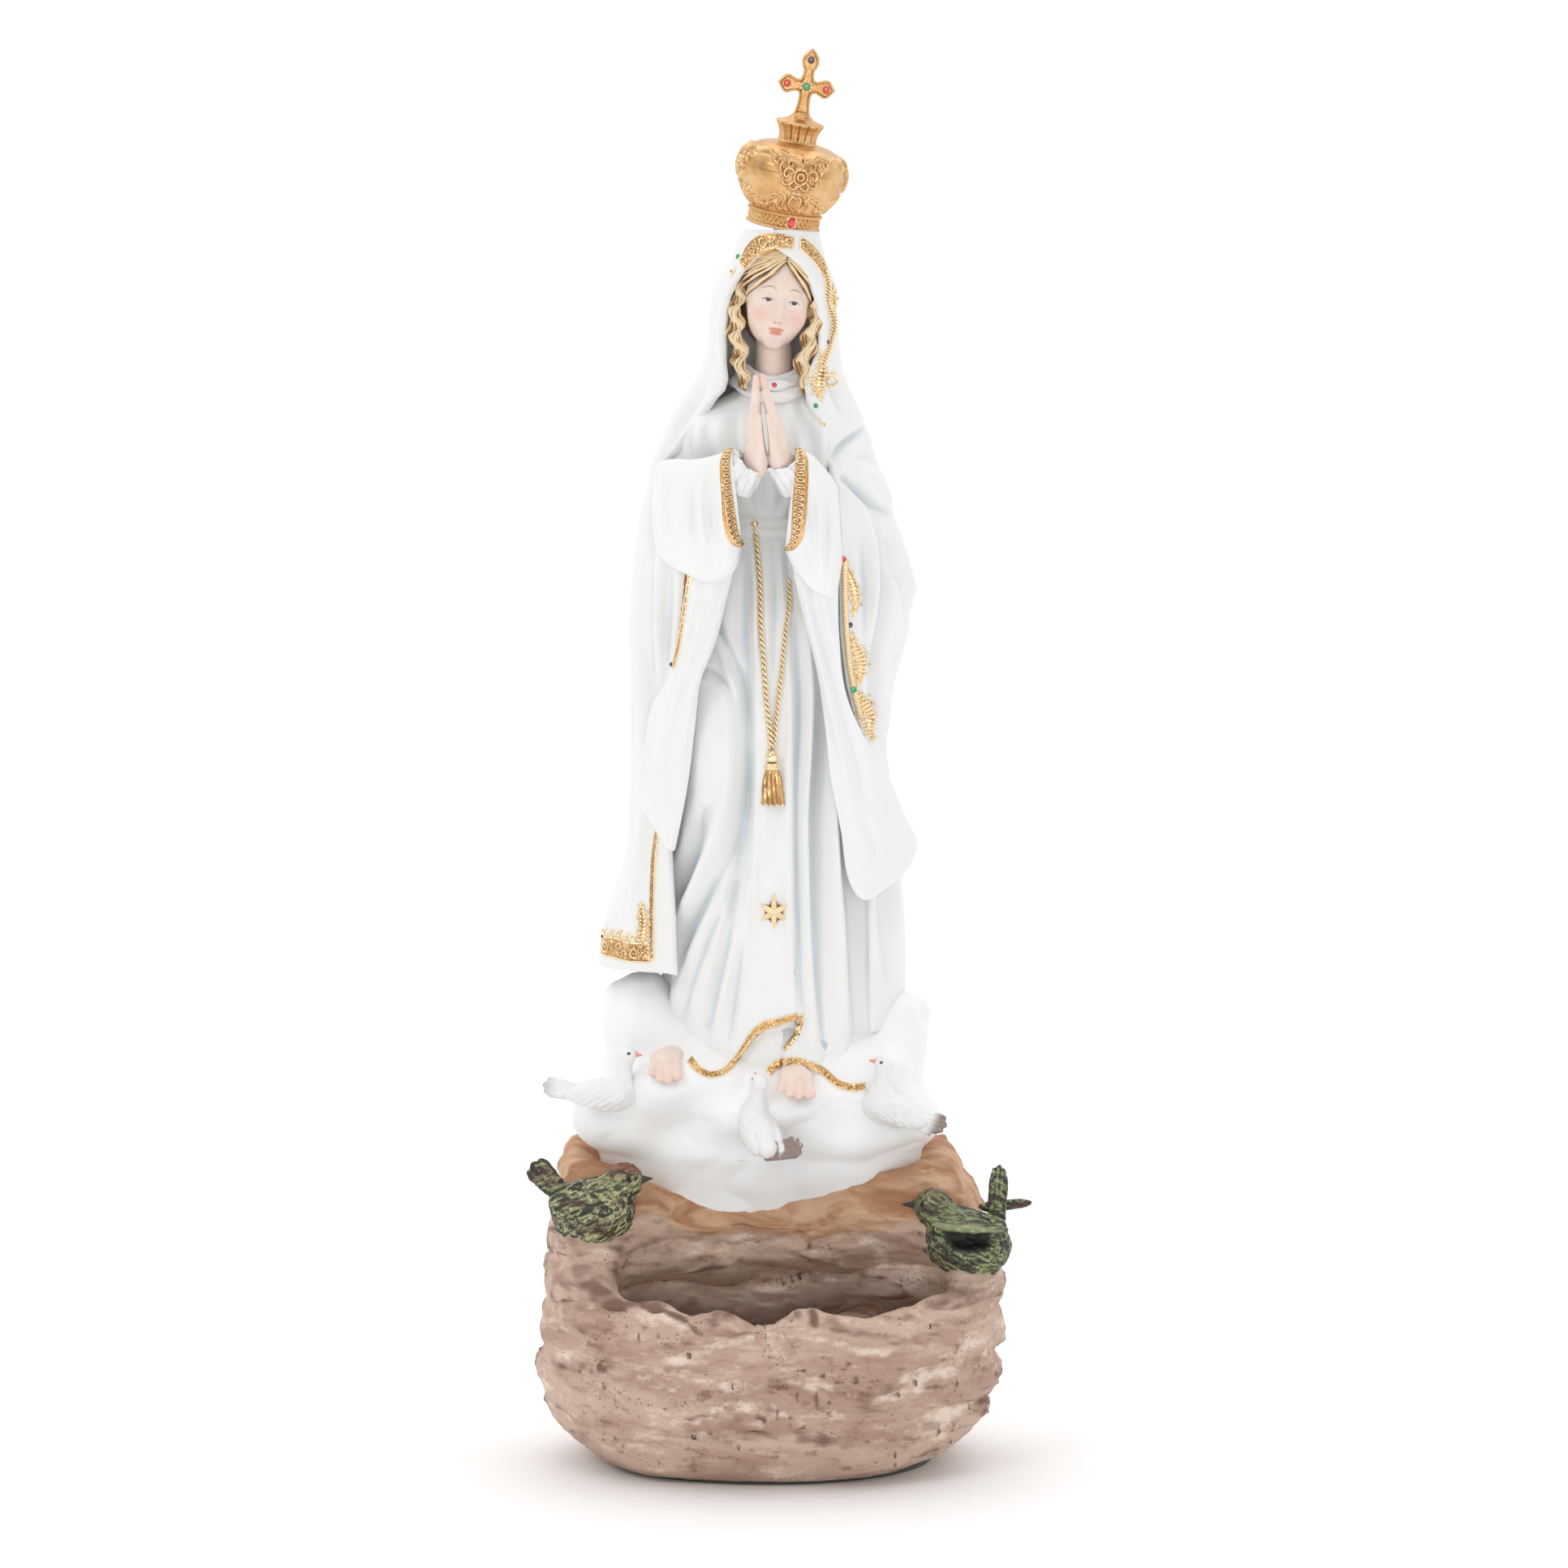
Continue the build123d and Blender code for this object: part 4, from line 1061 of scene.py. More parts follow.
def cloud_relief(x, y, z, normals):
    swirls = np.abs(fractal(x, y, z * 1.2, 30, 2, 70))
    return 3.4 * (0.5 - swirls) + 1.5 * noise(x, y, z, 17, 72)


cloud = displaced(sculpt(cloud_field, (-94, -50, 106), (84, 56, 216), 1.2), cloud_relief, 4)
make_piece("cloud", cloud, "statue", ["cloud_base"], CLOUD, 22)


def rock_paint():
    """Pinkish-taupe rock with a cream painted highlight on its raised edges, dark painted shade in the cracks
    and the hollow, and orange-brown on the shelf.
    """
    paint = Paint("rock")
    streaky = paint.noise(22, detail=6.0, rough=0.65, stretch=(0.45, 0.45, 1.5), distortion=0.6)
    blotch = paint.noise(13, detail=7.0, rough=0.7, stretch=(0.6, 0.6, 1.2))
    colour = paint.mix(paint.range(streaky, 0.36, 0.62), (0.45, 0.295, 0.225), (0.62, 0.45, 0.355))
    colour = paint.mix(paint.range(blotch, 0.51, 0.70), colour, (0.84, 0.69, 0.585))
    colour = paint.mix(paint.range(blotch, 0.45, 0.30), colour, (0.27, 0.16, 0.115))
    speckle = paint.noise(1.6, detail=5.0, rough=0.7)
    patches = paint.range(paint.noise(16, detail=3.0), 0.48, 0.60)
    marks = paint.maths("MULTIPLY", paint.range(speckle, 0.57, 0.64), patches)
    colour = paint.mix(marks, colour, (0.17, 0.10, 0.075))
    # painted highlight: cream on the raised edges, in patches
    rock_edge_highlight = paint.maths("MULTIPLY", paint.cavity(0.46, 0.0), paint.range(blotch, 0.42, 0.60))
    colour = paint.mix(rock_edge_highlight, colour, (0.86, 0.73, 0.62))
    # painted shade: dark in the cracks and crevices
    colour = paint.mix(paint.cavity(0.58, 1.0), colour, (0.20, 0.115, 0.085))
    shelf = paint.node("ShaderNodeAttribute", attribute_name="shelf").outputs["Fac"]
    brushed = paint.noise(12, detail=5.0, rough=0.6, stretch=(0.35, 1, 1), distortion=0.8)
    brown = paint.mix(paint.range(brushed, 0.35, 0.65), (0.40, 0.19, 0.09), (0.63, 0.40, 0.25))
    colour = paint.mix(shelf, colour, brown)
    # painted shade: the hollow inside the bowl, darker deeper down
    inside = paint.node("ShaderNodeAttribute", attribute_name="inside").outputs["Fac"]
    colour = paint.mix(inside, colour, paint.mix(0.74, colour, (0.075, 0.042, 0.028)))
    paint.bump(streaky, 0.5, 0.6)
    paint.bump(speckle, 0.25, 0.8)
    paint.bump(paint.noise(0.8, detail=3.0), 0.05)
    return paint.finish(colour, Roughness=paint.range(blotch, 0.3, 0.7, 0.5, 0.75), Specular_IOR_Level=0.35)


def mark_rock(piece, shape):
    """Marks the smooth brown shelf and the shaded hollow for the paint."""
    points, faces = gather(shape)
    x, y, z = points.T
    upward = np.abs(normals_of(points, faces)[:, 2])
    ragged = 2.5 * noise(x, y, z, 9, 80)
    on_shelf = step_up(-5, 2, z + ragged - on_table(x, LIP) + 4) * step_up(-50, -38, y + ragged)
    add_values(piece, "shelf", on_shelf * step_up(100, 108, z + 0.3 * np.abs(x)))
    rows = np.asarray(HOLLOW, float)
    hx, hy, hrx, hry = (np.interp(z, rows[:, 0], rows[:, i]) for i in range(1, 5))
    in_hollow = ((x - hx) / (hrx + 4)) ** 2 + ((y - hy) / (hry + 4)) ** 2 < 1
    add_values(piece, "inside", in_hollow * step_up(102, 60, z) * step_up(0.9, 0.4, upward))


mark_rock(make_piece("rock", rock, "statue", ["rock_basin"], rock_paint(), 14), rock)


# ---------------------------------------------------------------- head
HEAD_CENTRE = np.array([3.0, -1.0, 514.2])
HEAD_TURN = turn_matrix(pitch=7, roll=9.8, yaw=5)
FACE_VOXEL = 0.3


def in_head(points):
    """Points from the head's own frame (face towards -Y) into the row's frame."""
    return HEAD_CENTRE + np.asarray(points, float) @ HEAD_TURN.T


def to_head(x, y, z):
    """Places in the row's frame as seen in the head's own frame."""
    offset = (x - HEAD_CENTRE[0], y - HEAD_CENTRE[1], z - HEAD_CENTRE[2])
    return [sum(HEAD_TURN[axis, column] * offset[axis] for axis in range(3)) for column in range(3)]


EYE = (5.7, -12.6, -0.6)
EYE_RADIUS = 3.7


def eye_opening(u, w):
    """Distance outside the almond between the lids."""
    u = np.abs(u) - EYE[0]
    w = w - EYE[2] + 0.45 - 0.05 * u
    upper = np.hypot(u + 0.1, w + 3.05) - 3.95
    lower = np.hypot(u + 0.1, w - 3.6) - 4.25
    return np.maximum(upper, lower)


def lips_field(u, v, w):
    bow = 0.30 * np.exp(-((u / 0.8) ** 2)) - 0.10 * (np.abs(u) > 2.8)
    upper = ellipsoid(u, v, w + bow, (0, -16.0, -13.3), (3.3, 1.9, 0.80))
    lower = ellipsoid(u, v, w, (0, -15.7, -14.8), (2.6, 2.1, 0.95))
    return upper, lower


def face_field(x, y, z):
    u, v, w = to_head(x, y, z)
    a = np.abs(u)
    skull = ellipsoid(u, v, w, (0, 2.5, 4.5), (15.0, 17.6, 17.0))
    front = ellipsoid(u, v, w, (0, -5.0, -3.6), (13.0, 12.0, 17.0))
    jaw = ellipsoid(u, v, w, (0, -6.2, -12.2), (9.6, 9.6, 9.4))
    head = round_join(round_join(skull, front, 5.0), jaw, 5.0)
    head = round_join(head, ellipsoid(a, v, w, (7.2, -11.3, -7.4), (4.6, 3.8, 5.0)), 5.0)
    head = round_join(head, ellipsoid(u, v, w, (0, -13.6, -19.4), (3.9, 3.2, 2.9)), 3.6)
    head = round_cut(head, ellipsoid(a, v, w, (5.3, -18.2, -0.4), (4.6, 3.3, 3.3)), 3.0)
    lids = np.sqrt((a - EYE[0]) ** 2 + (v - EYE[1]) ** 2 + (w - EYE[2]) ** 2)
    lid = np.maximum(lids - EYE_RADIUS - 0.45, -(eye_opening(u, w) + 0.05))
    lid = round_cut(lids - EYE_RADIUS - 0.45, np.maximum(eye_opening(u, w), v + 10), 0.25)
    head = round_join(head, lid, 1.0)
    head = round_cut(head, np.maximum(eye_opening(u, w), np.abs(v + 15.5) - 2.6), 0.25)
    head = round_join(head, lids - EYE_RADIUS, 0.12)
    bridge = capsule(u, v, w, (0, -14.9, 2.0), (0, -17.9, -7.9), 1.15, 1.55)
    tip = ellipsoid(u, v, w, (0, -18.2, -8.5), (1.75, 1.8, 1.5))
    wings = ellipsoid(a, v, w, (1.95, -16.6, -9.0), (1.15, 1.7, 1.15))
    nose = round_join(round_join(bridge, tip, 1.2), wings, 0.8)
    head = round_join(head, nose, 1.7)
    head = round_cut(head, ellipsoid(a, v, w, (0.95, -17.2, -10.1), (0.5, 0.9, 0.45)), 0.4)
    upper, lower = lips_field(u, v, w)
    head = round_join(head, upper, 0.7)
    head = round_join(head, lower, 0.8)
    seam_low = -14.0 + 0.035 * u * u
    head = round_cut(head, np.hypot(v + 17.4, w - seam_low) - 0.38 + 0.06 * a, 0.35)
    head = round_cut(head, capsule(u, v, w, (0, -17.6, -10.6), (0, -17.3, -12.0), 0.35), 0.8)
    nape = HEAD_CENTRE + HEAD_TURN @ np.array([0, 3.0, -10.0])
    neck = capsule(x, y, z, nape, (1.2, 7.0, 470), 7.4, 8.6)
    return round_join(head, neck, 4.0)


def face_shape():
    shape = sculpt(face_field, (-17, -27, 472), (25, 24, 538), FACE_VOXEL)
    points, faces = gather(shape)
    return Shape().add(relax(points, faces, 2, 0.35), faces)




def skin_material():
    """Pale porcelain skin, blushed, with warm painted shade in its creases, painted lips and whites of the
    eyes.
    """
    paint = Paint("skin_face")
    blush = paint.node("ShaderNodeAttribute", attribute_name="blush").outputs["Fac"]
    lips = paint.node("ShaderNodeAttribute", attribute_name="lips").outputs["Fac"]
    eyes = paint.node("ShaderNodeAttribute", attribute_name="eyes").outputs["Fac"]
    colour = paint.mix(paint.range(paint.noise(6), 0.3, 0.7), (0.84, 0.67, 0.585), (0.88, 0.73, 0.65))
    # painted shade: warm darkening in the creases
    colour = paint.mix(paint.cavity(0.54, 0.85), colour, (0.70, 0.42, 0.33))
    colour = paint.mix(blush, colour, (0.83, 0.42, 0.34))
    colour = paint.mix(lips, colour, (0.76, 0.33, 0.23))
    colour = paint.mix(eyes, colour, (0.86, 0.85, 0.83))
    paint.bump(paint.noise(0.6, detail=2.0), 0.01)
    rough = paint.range(paint.maths("MAXIMUM", lips, eyes), 0.0, 1.0, 0.40, 0.15)
    return paint.finish(colour, Roughness=rough, Subsurface_Weight=0.15, Subsurface_Scale=0.002)


def plain_paint(name, dark, light, roughness):
    """Brushed paint of one colour, a little uneven."""
    paint = Paint(name)
    colour = paint.mix(paint.range(paint.noise(0.8), 0.3, 0.7), dark, light)
    paint.bump(paint.noise(0.4), 0.01)
    return paint.finish(colour, Roughness=roughness)


SKIN = skin_material()
face = face_shape()
head_piece = make_piece("head", face, "statue", ["head"], SKIN, 4)
face_points, _ = gather(face)
fu, fv, fw = to_head(*face_points.T)
blush = 0.55 * np.exp(-(((np.abs(fu) - 8.2) / 3.8) ** 2) - ((fw + 7.8) / 3.4) ** 2) * (fv < -4)
blush = blush + 0.25 * np.exp(-((fu / 2.0) ** 2) - ((fw + 8.6) / 1.6) ** 2) * (fv < -15)
blush = blush + 0.16 * np.exp(-((fu / 3.0) ** 2) - ((fw + 20.0) / 2.0) ** 2)
add_values(head_piece, "blush", blush)
on_lips = np.maximum(*(step_up(0.30, 0.08, part) for part in lips_field(fu, fv, fw)))
add_values(head_piece, "lips", on_lips * (fv < -14) * step_up(3.5, 3.0, np.abs(fu)))
ball = np.sqrt((np.abs(fu) - EYE[0]) ** 2 + (fv - EYE[1]) ** 2 + (fw - EYE[2]) ** 2)
add_values(head_piece, "eyes", step_up(0.20, -0.05, eye_opening(fu, fw)) * step_up(EYE_RADIUS + 0.35,
    EYE_RADIUS + 0.1, ball) * (fv < -10))

irises, pupils, lashes = Shape(), Shape(), Shape()
for side in (-1, 1):
    eye = np.array([side * EYE[0], EYE[1], EYE[2]])
    gaze = np.array([0.06, -1.0, -0.20])
    gaze /= np.linalg.norm(gaze)
    across = np.cross(gaze, [0, 0, 1])
    across /= np.linalg.norm(across)
    upright = np.cross(across, gaze)
    for disc, radius, raised in ((irises, 1.28, 0.05), (pupils, 0.55, 0.085)):
        turn = np.linspace(0, 2 * np.pi, 28, endpoint=False)
        rings = []
        for share in (1.0, 0.8, 0.5, 0.2):
            sine = radius * share / EYE_RADIUS
            ring = across * (np.cos(turn) * sine)[:, None] + upright * (np.sin(turn) * sine)[:, None]
            ring = ring + gaze * math.sqrt(1 - sine * sine)
            rings.append(eye + ring * (EYE_RADIUS + raised))
        points = in_head(np.concatenate([np.concatenate(rings), [eye + gaze * (EYE_RADIUS + raised)]]))
        disc.add(points, grid_faces(4, 28, closed=True), fan(np.arange(28) + 84, 112))
    sweep = np.linspace(-2.35, 2.5, 24)
    lash_height = np.sqrt(3.95**2 - (sweep * side + 0.1) ** 2) - 3.05 + EYE[2] - 0.45 + 0.05 * sweep * side
    lid_depth = EYE[1] - np.sqrt(
        np.clip((EYE_RADIUS + 0.36) ** 2 - sweep**2 - (lash_height - EYE[2]) ** 2, 0, None)
    )
    line = np.stack([side * EYE[0] + sweep * side, lid_depth, lash_height], axis=1)
    lashes.tube(in_head(line), 0.10 + 0.05 * np.sin(np.linspace(0.2, np.pi * 0.9, 24)), 8)


def on_mesh(tree, place, towards):
    """Where a ray from a place meets a mesh, in millimetres, with the normal there."""
    hit, normal, _, _ = tree.ray_cast(Vector(place) * MM, Vector(towards), 1.0)
    if hit is None:
        return None, None
    return np.array(hit) / MM, np.array(normal)


face_tree = BVHTree.FromPolygons(
    [tuple(p * MM) for p in face_points], [tuple(f) for f in gather(face)[1].tolist()]
)
into_face = HEAD_TURN @ np.array([0.0, 1.0, 0.0])
for side in (-1, 1):
    brow = []
    for share in np.linspace(0, 1, 14):
        place = in_head(
            [side * (2.6 + 6.6 * share), -30, 3.6 + 1.5 * math.sin(math.pi * share**0.8) - 0.6 * share]
        )
        hit, normal = on_mesh(face_tree, place, into_face)
        if hit is not None:
            brow.append(hit + normal * 0.01)
    width = 0.14 * np.sin(np.linspace(0.35, np.pi - 0.15, len(brow))) + 0.03
    lashes.tube(np.array(brow), width, 8, flat=0.5)
make_piece(
    "irises", irises, "statue", [],
    plain_paint("iris_paint", (0.07, 0.10, 0.14), (0.13, 0.17, 0.22), 0.12)
)
make_piece(
    "pupils", pupils, "statue", [],
    plain_paint("pupil_paint", (0.006, 0.006, 0.008), (0.015, 0.015, 0.02), 0.08)
)
make_piece(
    "lashes", lashes, "statue", [],
    plain_paint("lash_paint", (0.16, 0.075, 0.035), (0.24, 0.13, 0.07), 0.5)
)


# ---------------------------------------------------------------- hair
def hair_paint():
    """Honey-blond hair, with a pale painted highlight on the ridges and brown painted shade in the grooves.
    """
    paint = Paint("hair")
    strands = paint.noise(2.2, detail=4.0, stretch=(1, 1, 0.35))
    colour = paint.mix(paint.range(strands, 0.35, 0.65), (0.56, 0.335, 0.135), (0.74, 0.51, 0.255))
    # painted highlight: pale on the ridges
    colour = paint.mix(paint.cavity(0.49, 0.42), colour, (0.90, 0.73, 0.48))
    # painted shade: dark brown in the grooves
    colour = paint.mix(paint.cavity(0.505, 0.60), colour, (0.25, 0.12, 0.042))
    paint.bump(strands, 0.12)
    return paint.finish(colour, Roughness=0.42, Specular_IOR_Level=0.4)


HAIR = hair_paint()


def cap_field(x, y, z):
    u, v, w = to_head(x, y, z)
    skull = ellipsoid(u, v, w, (0, 3.4, 4.6), (16.2, 18.6, 18.0))
    back = ellipsoid(u, v, w, (0, 7.0, -6.0), (14.5, 13.0, 18.0))
    cap = round_join(skull, back, 4.0)
    open_face = np.maximum(ellipsoid(u, v, w, (0, -19.0, -5.0), (14.0, 17.5, 21.2)), v - 6)
    return round_cut(cap, open_face, 1.5)


def on_skull(angle, along, out):
    """A place on the cap: angle 0 at the front middle, along from the top (0) down."""
    radii = np.array([16.2, 18.6, 18.0]) + out[:, None]
    polar = np.stack([np.sin(along) * np.sin(angle), -np.sin(along) * np.cos(angle), np.cos(along)], axis=-1)
    return polar * radii + np.array([0, 3.4, 4.6])


hair = sculpt(cap_field, (-17, -24, 476), (27, 26, 536), 0.6)
strand_shape = Shape()
strand_reach = []
for side in (-1, 1):
    for index in range(9):
        share = index / 8
        start_along = 0.90 - 0.40 * share
        steps = np.linspace(0, 1, 36)
        angle = side * (0.02 + (0.5 + 1.05 * share**0.6) * steps**0.9 + 0.55 * steps**2)
        along = start_along + (1.02 - 0.1 * share) * steps**1.5 + 0.10 * np.sin(np.pi * steps)
        path = on_skull(angle, along, 0.5 + 0.9 * np.sin(np.pi * np.clip(steps * 0.8 + 0.1, 0, 1)))
        path = path + 0.22 * np.stack(
            [noise(steps * 6, steps * 0, steps * 0 + index, 1.0, 90 + k) for k in range(3)], 1
        )
        radii = (0.90 - 0.16 * (index % 2)) * np.sin(np.pi * np.clip(0.12 + 0.8 * steps, 0, 1)) ** 0.5 + 0.12
        middle = in_head(path)
        strand_shape.tube(middle, radii, 12, twist=0.25, lobes=3, lobe=0.16)
        outward = middle - HEAD_CENTRE
        outward /= np.linalg.norm(outward, axis=1, keepdims=True)
        rows = np.concatenate([np.repeat(np.arange(36), 12), [0, 35]])
        away = strand_shape.points[-1] - middle[rows]
        strand_reach.append((away * outward[rows]).sum(axis=1) / radii[rows])
hair_points, hair_faces = gather(hair)
hair = Shape().add(relax(hair_points, hair_faces, 3), hair_faces)
hair.add(np.concatenate(strand_shape.points))
first = hair.count - len(hair.points[-1])
hair.faces += [group + first for group in strand_shape.faces]
hair_piece = make_piece("hair_cap", hair, "statue", ["hair_cap"], HAIR, 3)


def mark_grooves(piece, height, low, high):
    """Painted shade in the grooves between strands and a painted highlight on the strands, by how far each
    point stands out: dark at low, pale at high.
    """
    values = 0.64 - 0.26 * step_up(low, high, height)
    piece.data.attributes["cavity"].data.foreach_set("value", values.astype(np.float32))


mark_grooves(hair_piece, np.concatenate([np.full(len(hair_points), -1.0), *strand_reach]), 0.2, 1.0)


def wavy_lock(centre, width, waves, seed):
    """A lock of thirteen strands that wave together and cross over."""
    shape = Shape()
    path = smooth_path(centre, 90)
    share = np.linspace(0, 1, 90)
    swell = np.interp(share, *zip(*width))
    reaches = []
    for strand in range(13):
        phase = strand * 2 * np.pi / 13
        sway = 2 * np.pi * waves * share
        spread = swell * (0.62 + 0.16 * math.cos(5.1 * strand))
        across = spread * np.cos(phase + 0.9 * np.sin(sway)) + 1.25 * np.sin(sway + 0.5 * seed)
        deep = 0.62 * spread * np.sin(phase + 0.9 * np.sin(sway)) + 0.9 * np.cos(sway + 0.5 * strand)
        wander = 0.35 * noise(share * 9, share * 0 + strand, share * 0, 1.0, seed)
        points = path + np.stack([across + wander, deep, 0.5 * np.sin(sway + phase)], axis=1)
        radii = 0.29 * swell * np.sin(np.pi * np.clip(0.10 + 0.84 * share, 0, 1)) ** 0.45 + 0.12
        shape.tube(points, radii, 10, twist=0.3, lobes=3, lobe=0.15)
        ring = shape.points[-1]
        rows = np.concatenate([np.repeat(np.arange(90), 10), [0, 89]])
        outward = np.stack([np.cos(phase), np.sin(phase), 0.0])
        reaches.append(((ring - points[rows]) @ outward) / radii[rows])
    return shape, np.concatenate(reaches)


LOCK_WIDTH = [(0, 2.0), (0.25, 2.9), (0.6, 3.3), (0.85, 3.1), (1, 1.4)]
lock_left, reach_left = wavy_lock([(-10.4, -4, 524), (-14.4, -6.5, 513), (-15.6, -7.5, 500),
    (-13.6, -8, 488), (-12.8, -9, 479), (-10.4, -9.5, 473)], LOCK_WIDTH, 4.6, 3)
lock_right, reach_right = wavy_lock(
    [(19.2, -6, 520), (19.8, -8, 508), (17.2, -9, 496), (14.4, -10, 487), (14.2, -10, 478), (16.6, -10, 470)],
    LOCK_WIDTH, 4.4, 8
)
for name, lock, reach in (
    ("hair_lock_left", lock_left, reach_left), ("hair_lock_right", lock_right, reach_right)
):
    mark_grooves(make_piece(name, lock, "statue", [name], HAIR, 3), reach, -0.2, 0.9)


# ---------------------------------------------------------------- hands and cuffs
def hand_field(x, y, z, side):
    """One of two hands laid palm to palm; side -1 is the one on the left."""
    u = side * (x + 1.3 + 0.105 * (z - 445))
    palm = ellipsoid(u, y, z, (3.9, -39.0, 451.0), (4.5, 6.2, 14.5))
    wrist = capsule(u, y, z, (5.6, -37.5, 445), (8.2, -35.8, 438.5), 4.4, 3.8)
    hand = round_join(palm, wrist, 4.0)
    for index, (depth, tip, size) in enumerate(
        ((-43.6, 472.0, 1.45), (-41.0, 477.6, 1.6), (-38.0, 478.6, 1.6), (-35.2, 474.5, 1.5))
    ):
        knuckle = (3.9, depth + 0.5, 457.0)
        middle = (3.0, depth, 467.0)
        end = (1.35, depth + 0.2, tip)
        finger = round_join(
            capsule(u, y, z, knuckle, middle, size + 1.2, size + 0.6),
            capsule(u, y, z, middle, end, size + 0.6, size - 0.1), 0.8,
        )
        hand = round_join(hand, finger, 1.3 if index else 1.0)
    thumb = round_join(
        capsule(u, y, z, (3.0, -43.5, 446), (2.6, -46.2, 454), 2.2, 1.8),
        capsule(u, y, z, (2.6, -46.2, 454), (1.9, -46.0, 462.0), 1.8, 1.35), 0.8,
    )
    hand = round_join(hand, thumb, 1.6)
    hollow = ellipsoid(u, y, z, (0.0, -40, 456), (0.9, 12, 10))
    return np.maximum(round_cut(hand, hollow, 1.0), 0.10 - u)


def hand_shape(side):
    low, high = ((-20, -50, 424), (1, -28, 482)) if side < 0 else ((-6, -50, 424), (16, -28, 482))
    shape = sculpt(lambda x, y, z: hand_field(x, y, z, side), low, high, 0.38)
    points, faces = gather(shape)
    return Shape().add(relax(points, faces, 2, 0.4), faces)


def cuff_shape(side):
    """The white inner cuff round a wrist, its mouth drawn in small gathers."""
    shape = Shape()
    rows, columns = 50, 120
    share = np.linspace(0, 1, rows)[:, None]
    angle = np.linspace(0, 2 * np.pi, columns, endpoint=False)[None, :]
    start, end = np.array([side * 7.0 - 1.9, -38.0, 443.0]), np.array([side * 13.8 - 1.9, -33.5, 432.0])
    axis = (end - start) / np.linalg.norm(end - start)
    level = np.cross(axis, [0, 1, 0])
    level /= np.linalg.norm(level)
    ahead = np.cross(axis, level)
    gathers = 0.50 * np.sin(9 * angle + 4 * share) + 0.35 * np.sin(17 * angle + 1.5)
    radius = 7.2 + 1.3 * share + gathers * (1 - 0.6 * share) - 0.8 * np.exp(-((share - 0.16) / 0.06) ** 2)
    mouth = 1.2 * np.cos(angle) - 0.5 * np.sin(3 * angle)
    points = start + axis * ((share * 13.5 + mouth * (1 - share))[..., None])
    points = points + level * (
        radius * np.cos(angle)
    )[..., None] + ahead * (radius * np.sin(angle))[..., None]
    inner = points[::-1] + (start + axis * 6 - points[::-1]) * 0.12 * np.array([1, 1, 1])
    ring = np.concatenate([inner[6:], points])
    shape.add(ring.reshape(-1, 3), grid_faces(len(ring), columns, closed=True, flip=side > 0))
    closing = np.arange(columns)
    last = (len(ring) - 1) * columns
    band = np.stack([closing + last, np.roll(closing, -1) + last, np.roll(closing, -1), closing], axis=1)
    shape.faces.append(band[:, ::-1] if side > 0 else band)
    return shape


for side, name in ((-1, "left"), (1, "right")):
    hand_piece = make_piece(
        f"hand_{name}", hand_shape(side), "statue", [f"hand_{name}"], SKIN, 4
    )
    points = np.array([v.co for v in hand_piece.data.vertices]) / MM
    add_values(hand_piece, "blush", 0.30 * step_up(470, 479, points[:, 2]))
    make_piece(f"cuff_{name}", cuff_shape(side), "statue", [f"cuff_{name}"], WHITE, 4)


# ---------------------------------------------------------------- feet
def foot_field(x, y, z, toes, heel, reach):
    """The front of a bare foot with its toes pointing forward and down."""
    foot = capsule(
        x, y, z, heel, (np.mean([t[0] for t in toes]), toes[2][1] + reach, toes[2][2] + 5.5), 7.0, 5.2
    )
    instep = (np.mean([t[0] for t in toes]), toes[2][1] + 13.0, toes[2][2] + 6.4)
    foot = round_join(foot, ellipsoid(x, y, z, instep, (6.8, 8.0, 4.6)), 2.0)
    middle = np.mean([t[0] for t in toes])
    for tx, ty, tz, size in toes:
        root = (middle + 0.72 * (tx - middle), ty + 10.0, tz + 6.0)
        foot = round_join(foot, capsule(x, y, z, root, (tx, ty, tz), size + 0.5, size + 0.1), 0.55)
    return foot


LEFT_TOES = [
    (-40.6, -39.0, 176.0, 2.1), (-44.6, -40.2, 174.6, 2.0), (-48.4, -39.6, 175.2, 1.9),
    (-51.8, -37.4, 177.2, 1.7)
]
RIGHT_TOES = [
    (4.6, -44.0, 171.4, 1.8), (8.2, -45.0, 169.6, 1.95), (12.2, -45.2, 168.8, 2.0),
    (16.8, -44.2, 169.0, 2.5)
]
for name, toes, heel in (("left", LEFT_TOES, (-44, -22, 180)), ("right", RIGHT_TOES, (10.5, -26, 174))):
    centre = np.array(heel)
    low = (min(t[0] for t in toes) - 6, -49, 163)
    high = (max(t[0] for t in toes) + 6, -12, 194)
    toes_shape = sculpt(lambda x, y, z: foot_field(x, y, z, toes, heel, 13.0), low, high, 0.45)
    points, faces = gather(toes_shape)
    toes_shape = Shape().add(relax(points, faces, 2, 0.4), faces)
    foot_piece = make_piece(f"foot_{name}", toes_shape, "statue", [f"foot_{name}"], SKIN, 4)
    points = np.array([v.co for v in foot_piece.data.vertices]) / MM
    add_values(foot_piece, "blush", 0.20 * step_up(182, 174, points[:, 2] - (0 if name == "left" else -6)))


# ---------------------------------------------------------------- crown
CROWN_SEAT = np.array([4.9, 1.5, 543.6])
CROWN_TURN = turn_matrix(pitch=7, roll=9.8)
CROWN_PROFILE = [
    (15.3, 0.0), (16.1, 0.35), (16.3, 0.9), (16.0, 1.5), (15.45, 1.8), (15.45, 5.6), (16.1, 5.9),
    (16.35, 6.6),
    (16.0, 7.3), (15.4, 7.7), (15.9, 8.6), (17.7, 11.2), (20.0, 14.4), (22.3, 18.4), (23.5, 22.0),
    (23.8, 24.8),
    (23.3, 28.0), (22.0, 30.8), (19.6, 33.4), (15.6, 35.6), (11.5, 36.6), (9.1, 36.9), (8.5, 37.5),
    (8.3, 38.8),
    (8.6, 41.0), (9.4, 43.2), (10.5, 44.9), (10.55, 45.7), (9.9, 46.1), (8.0, 46.5), (5.8, 47.3), (4.2, 48.6),
    (3.0, 50.2), (0.02, 51.0),
]
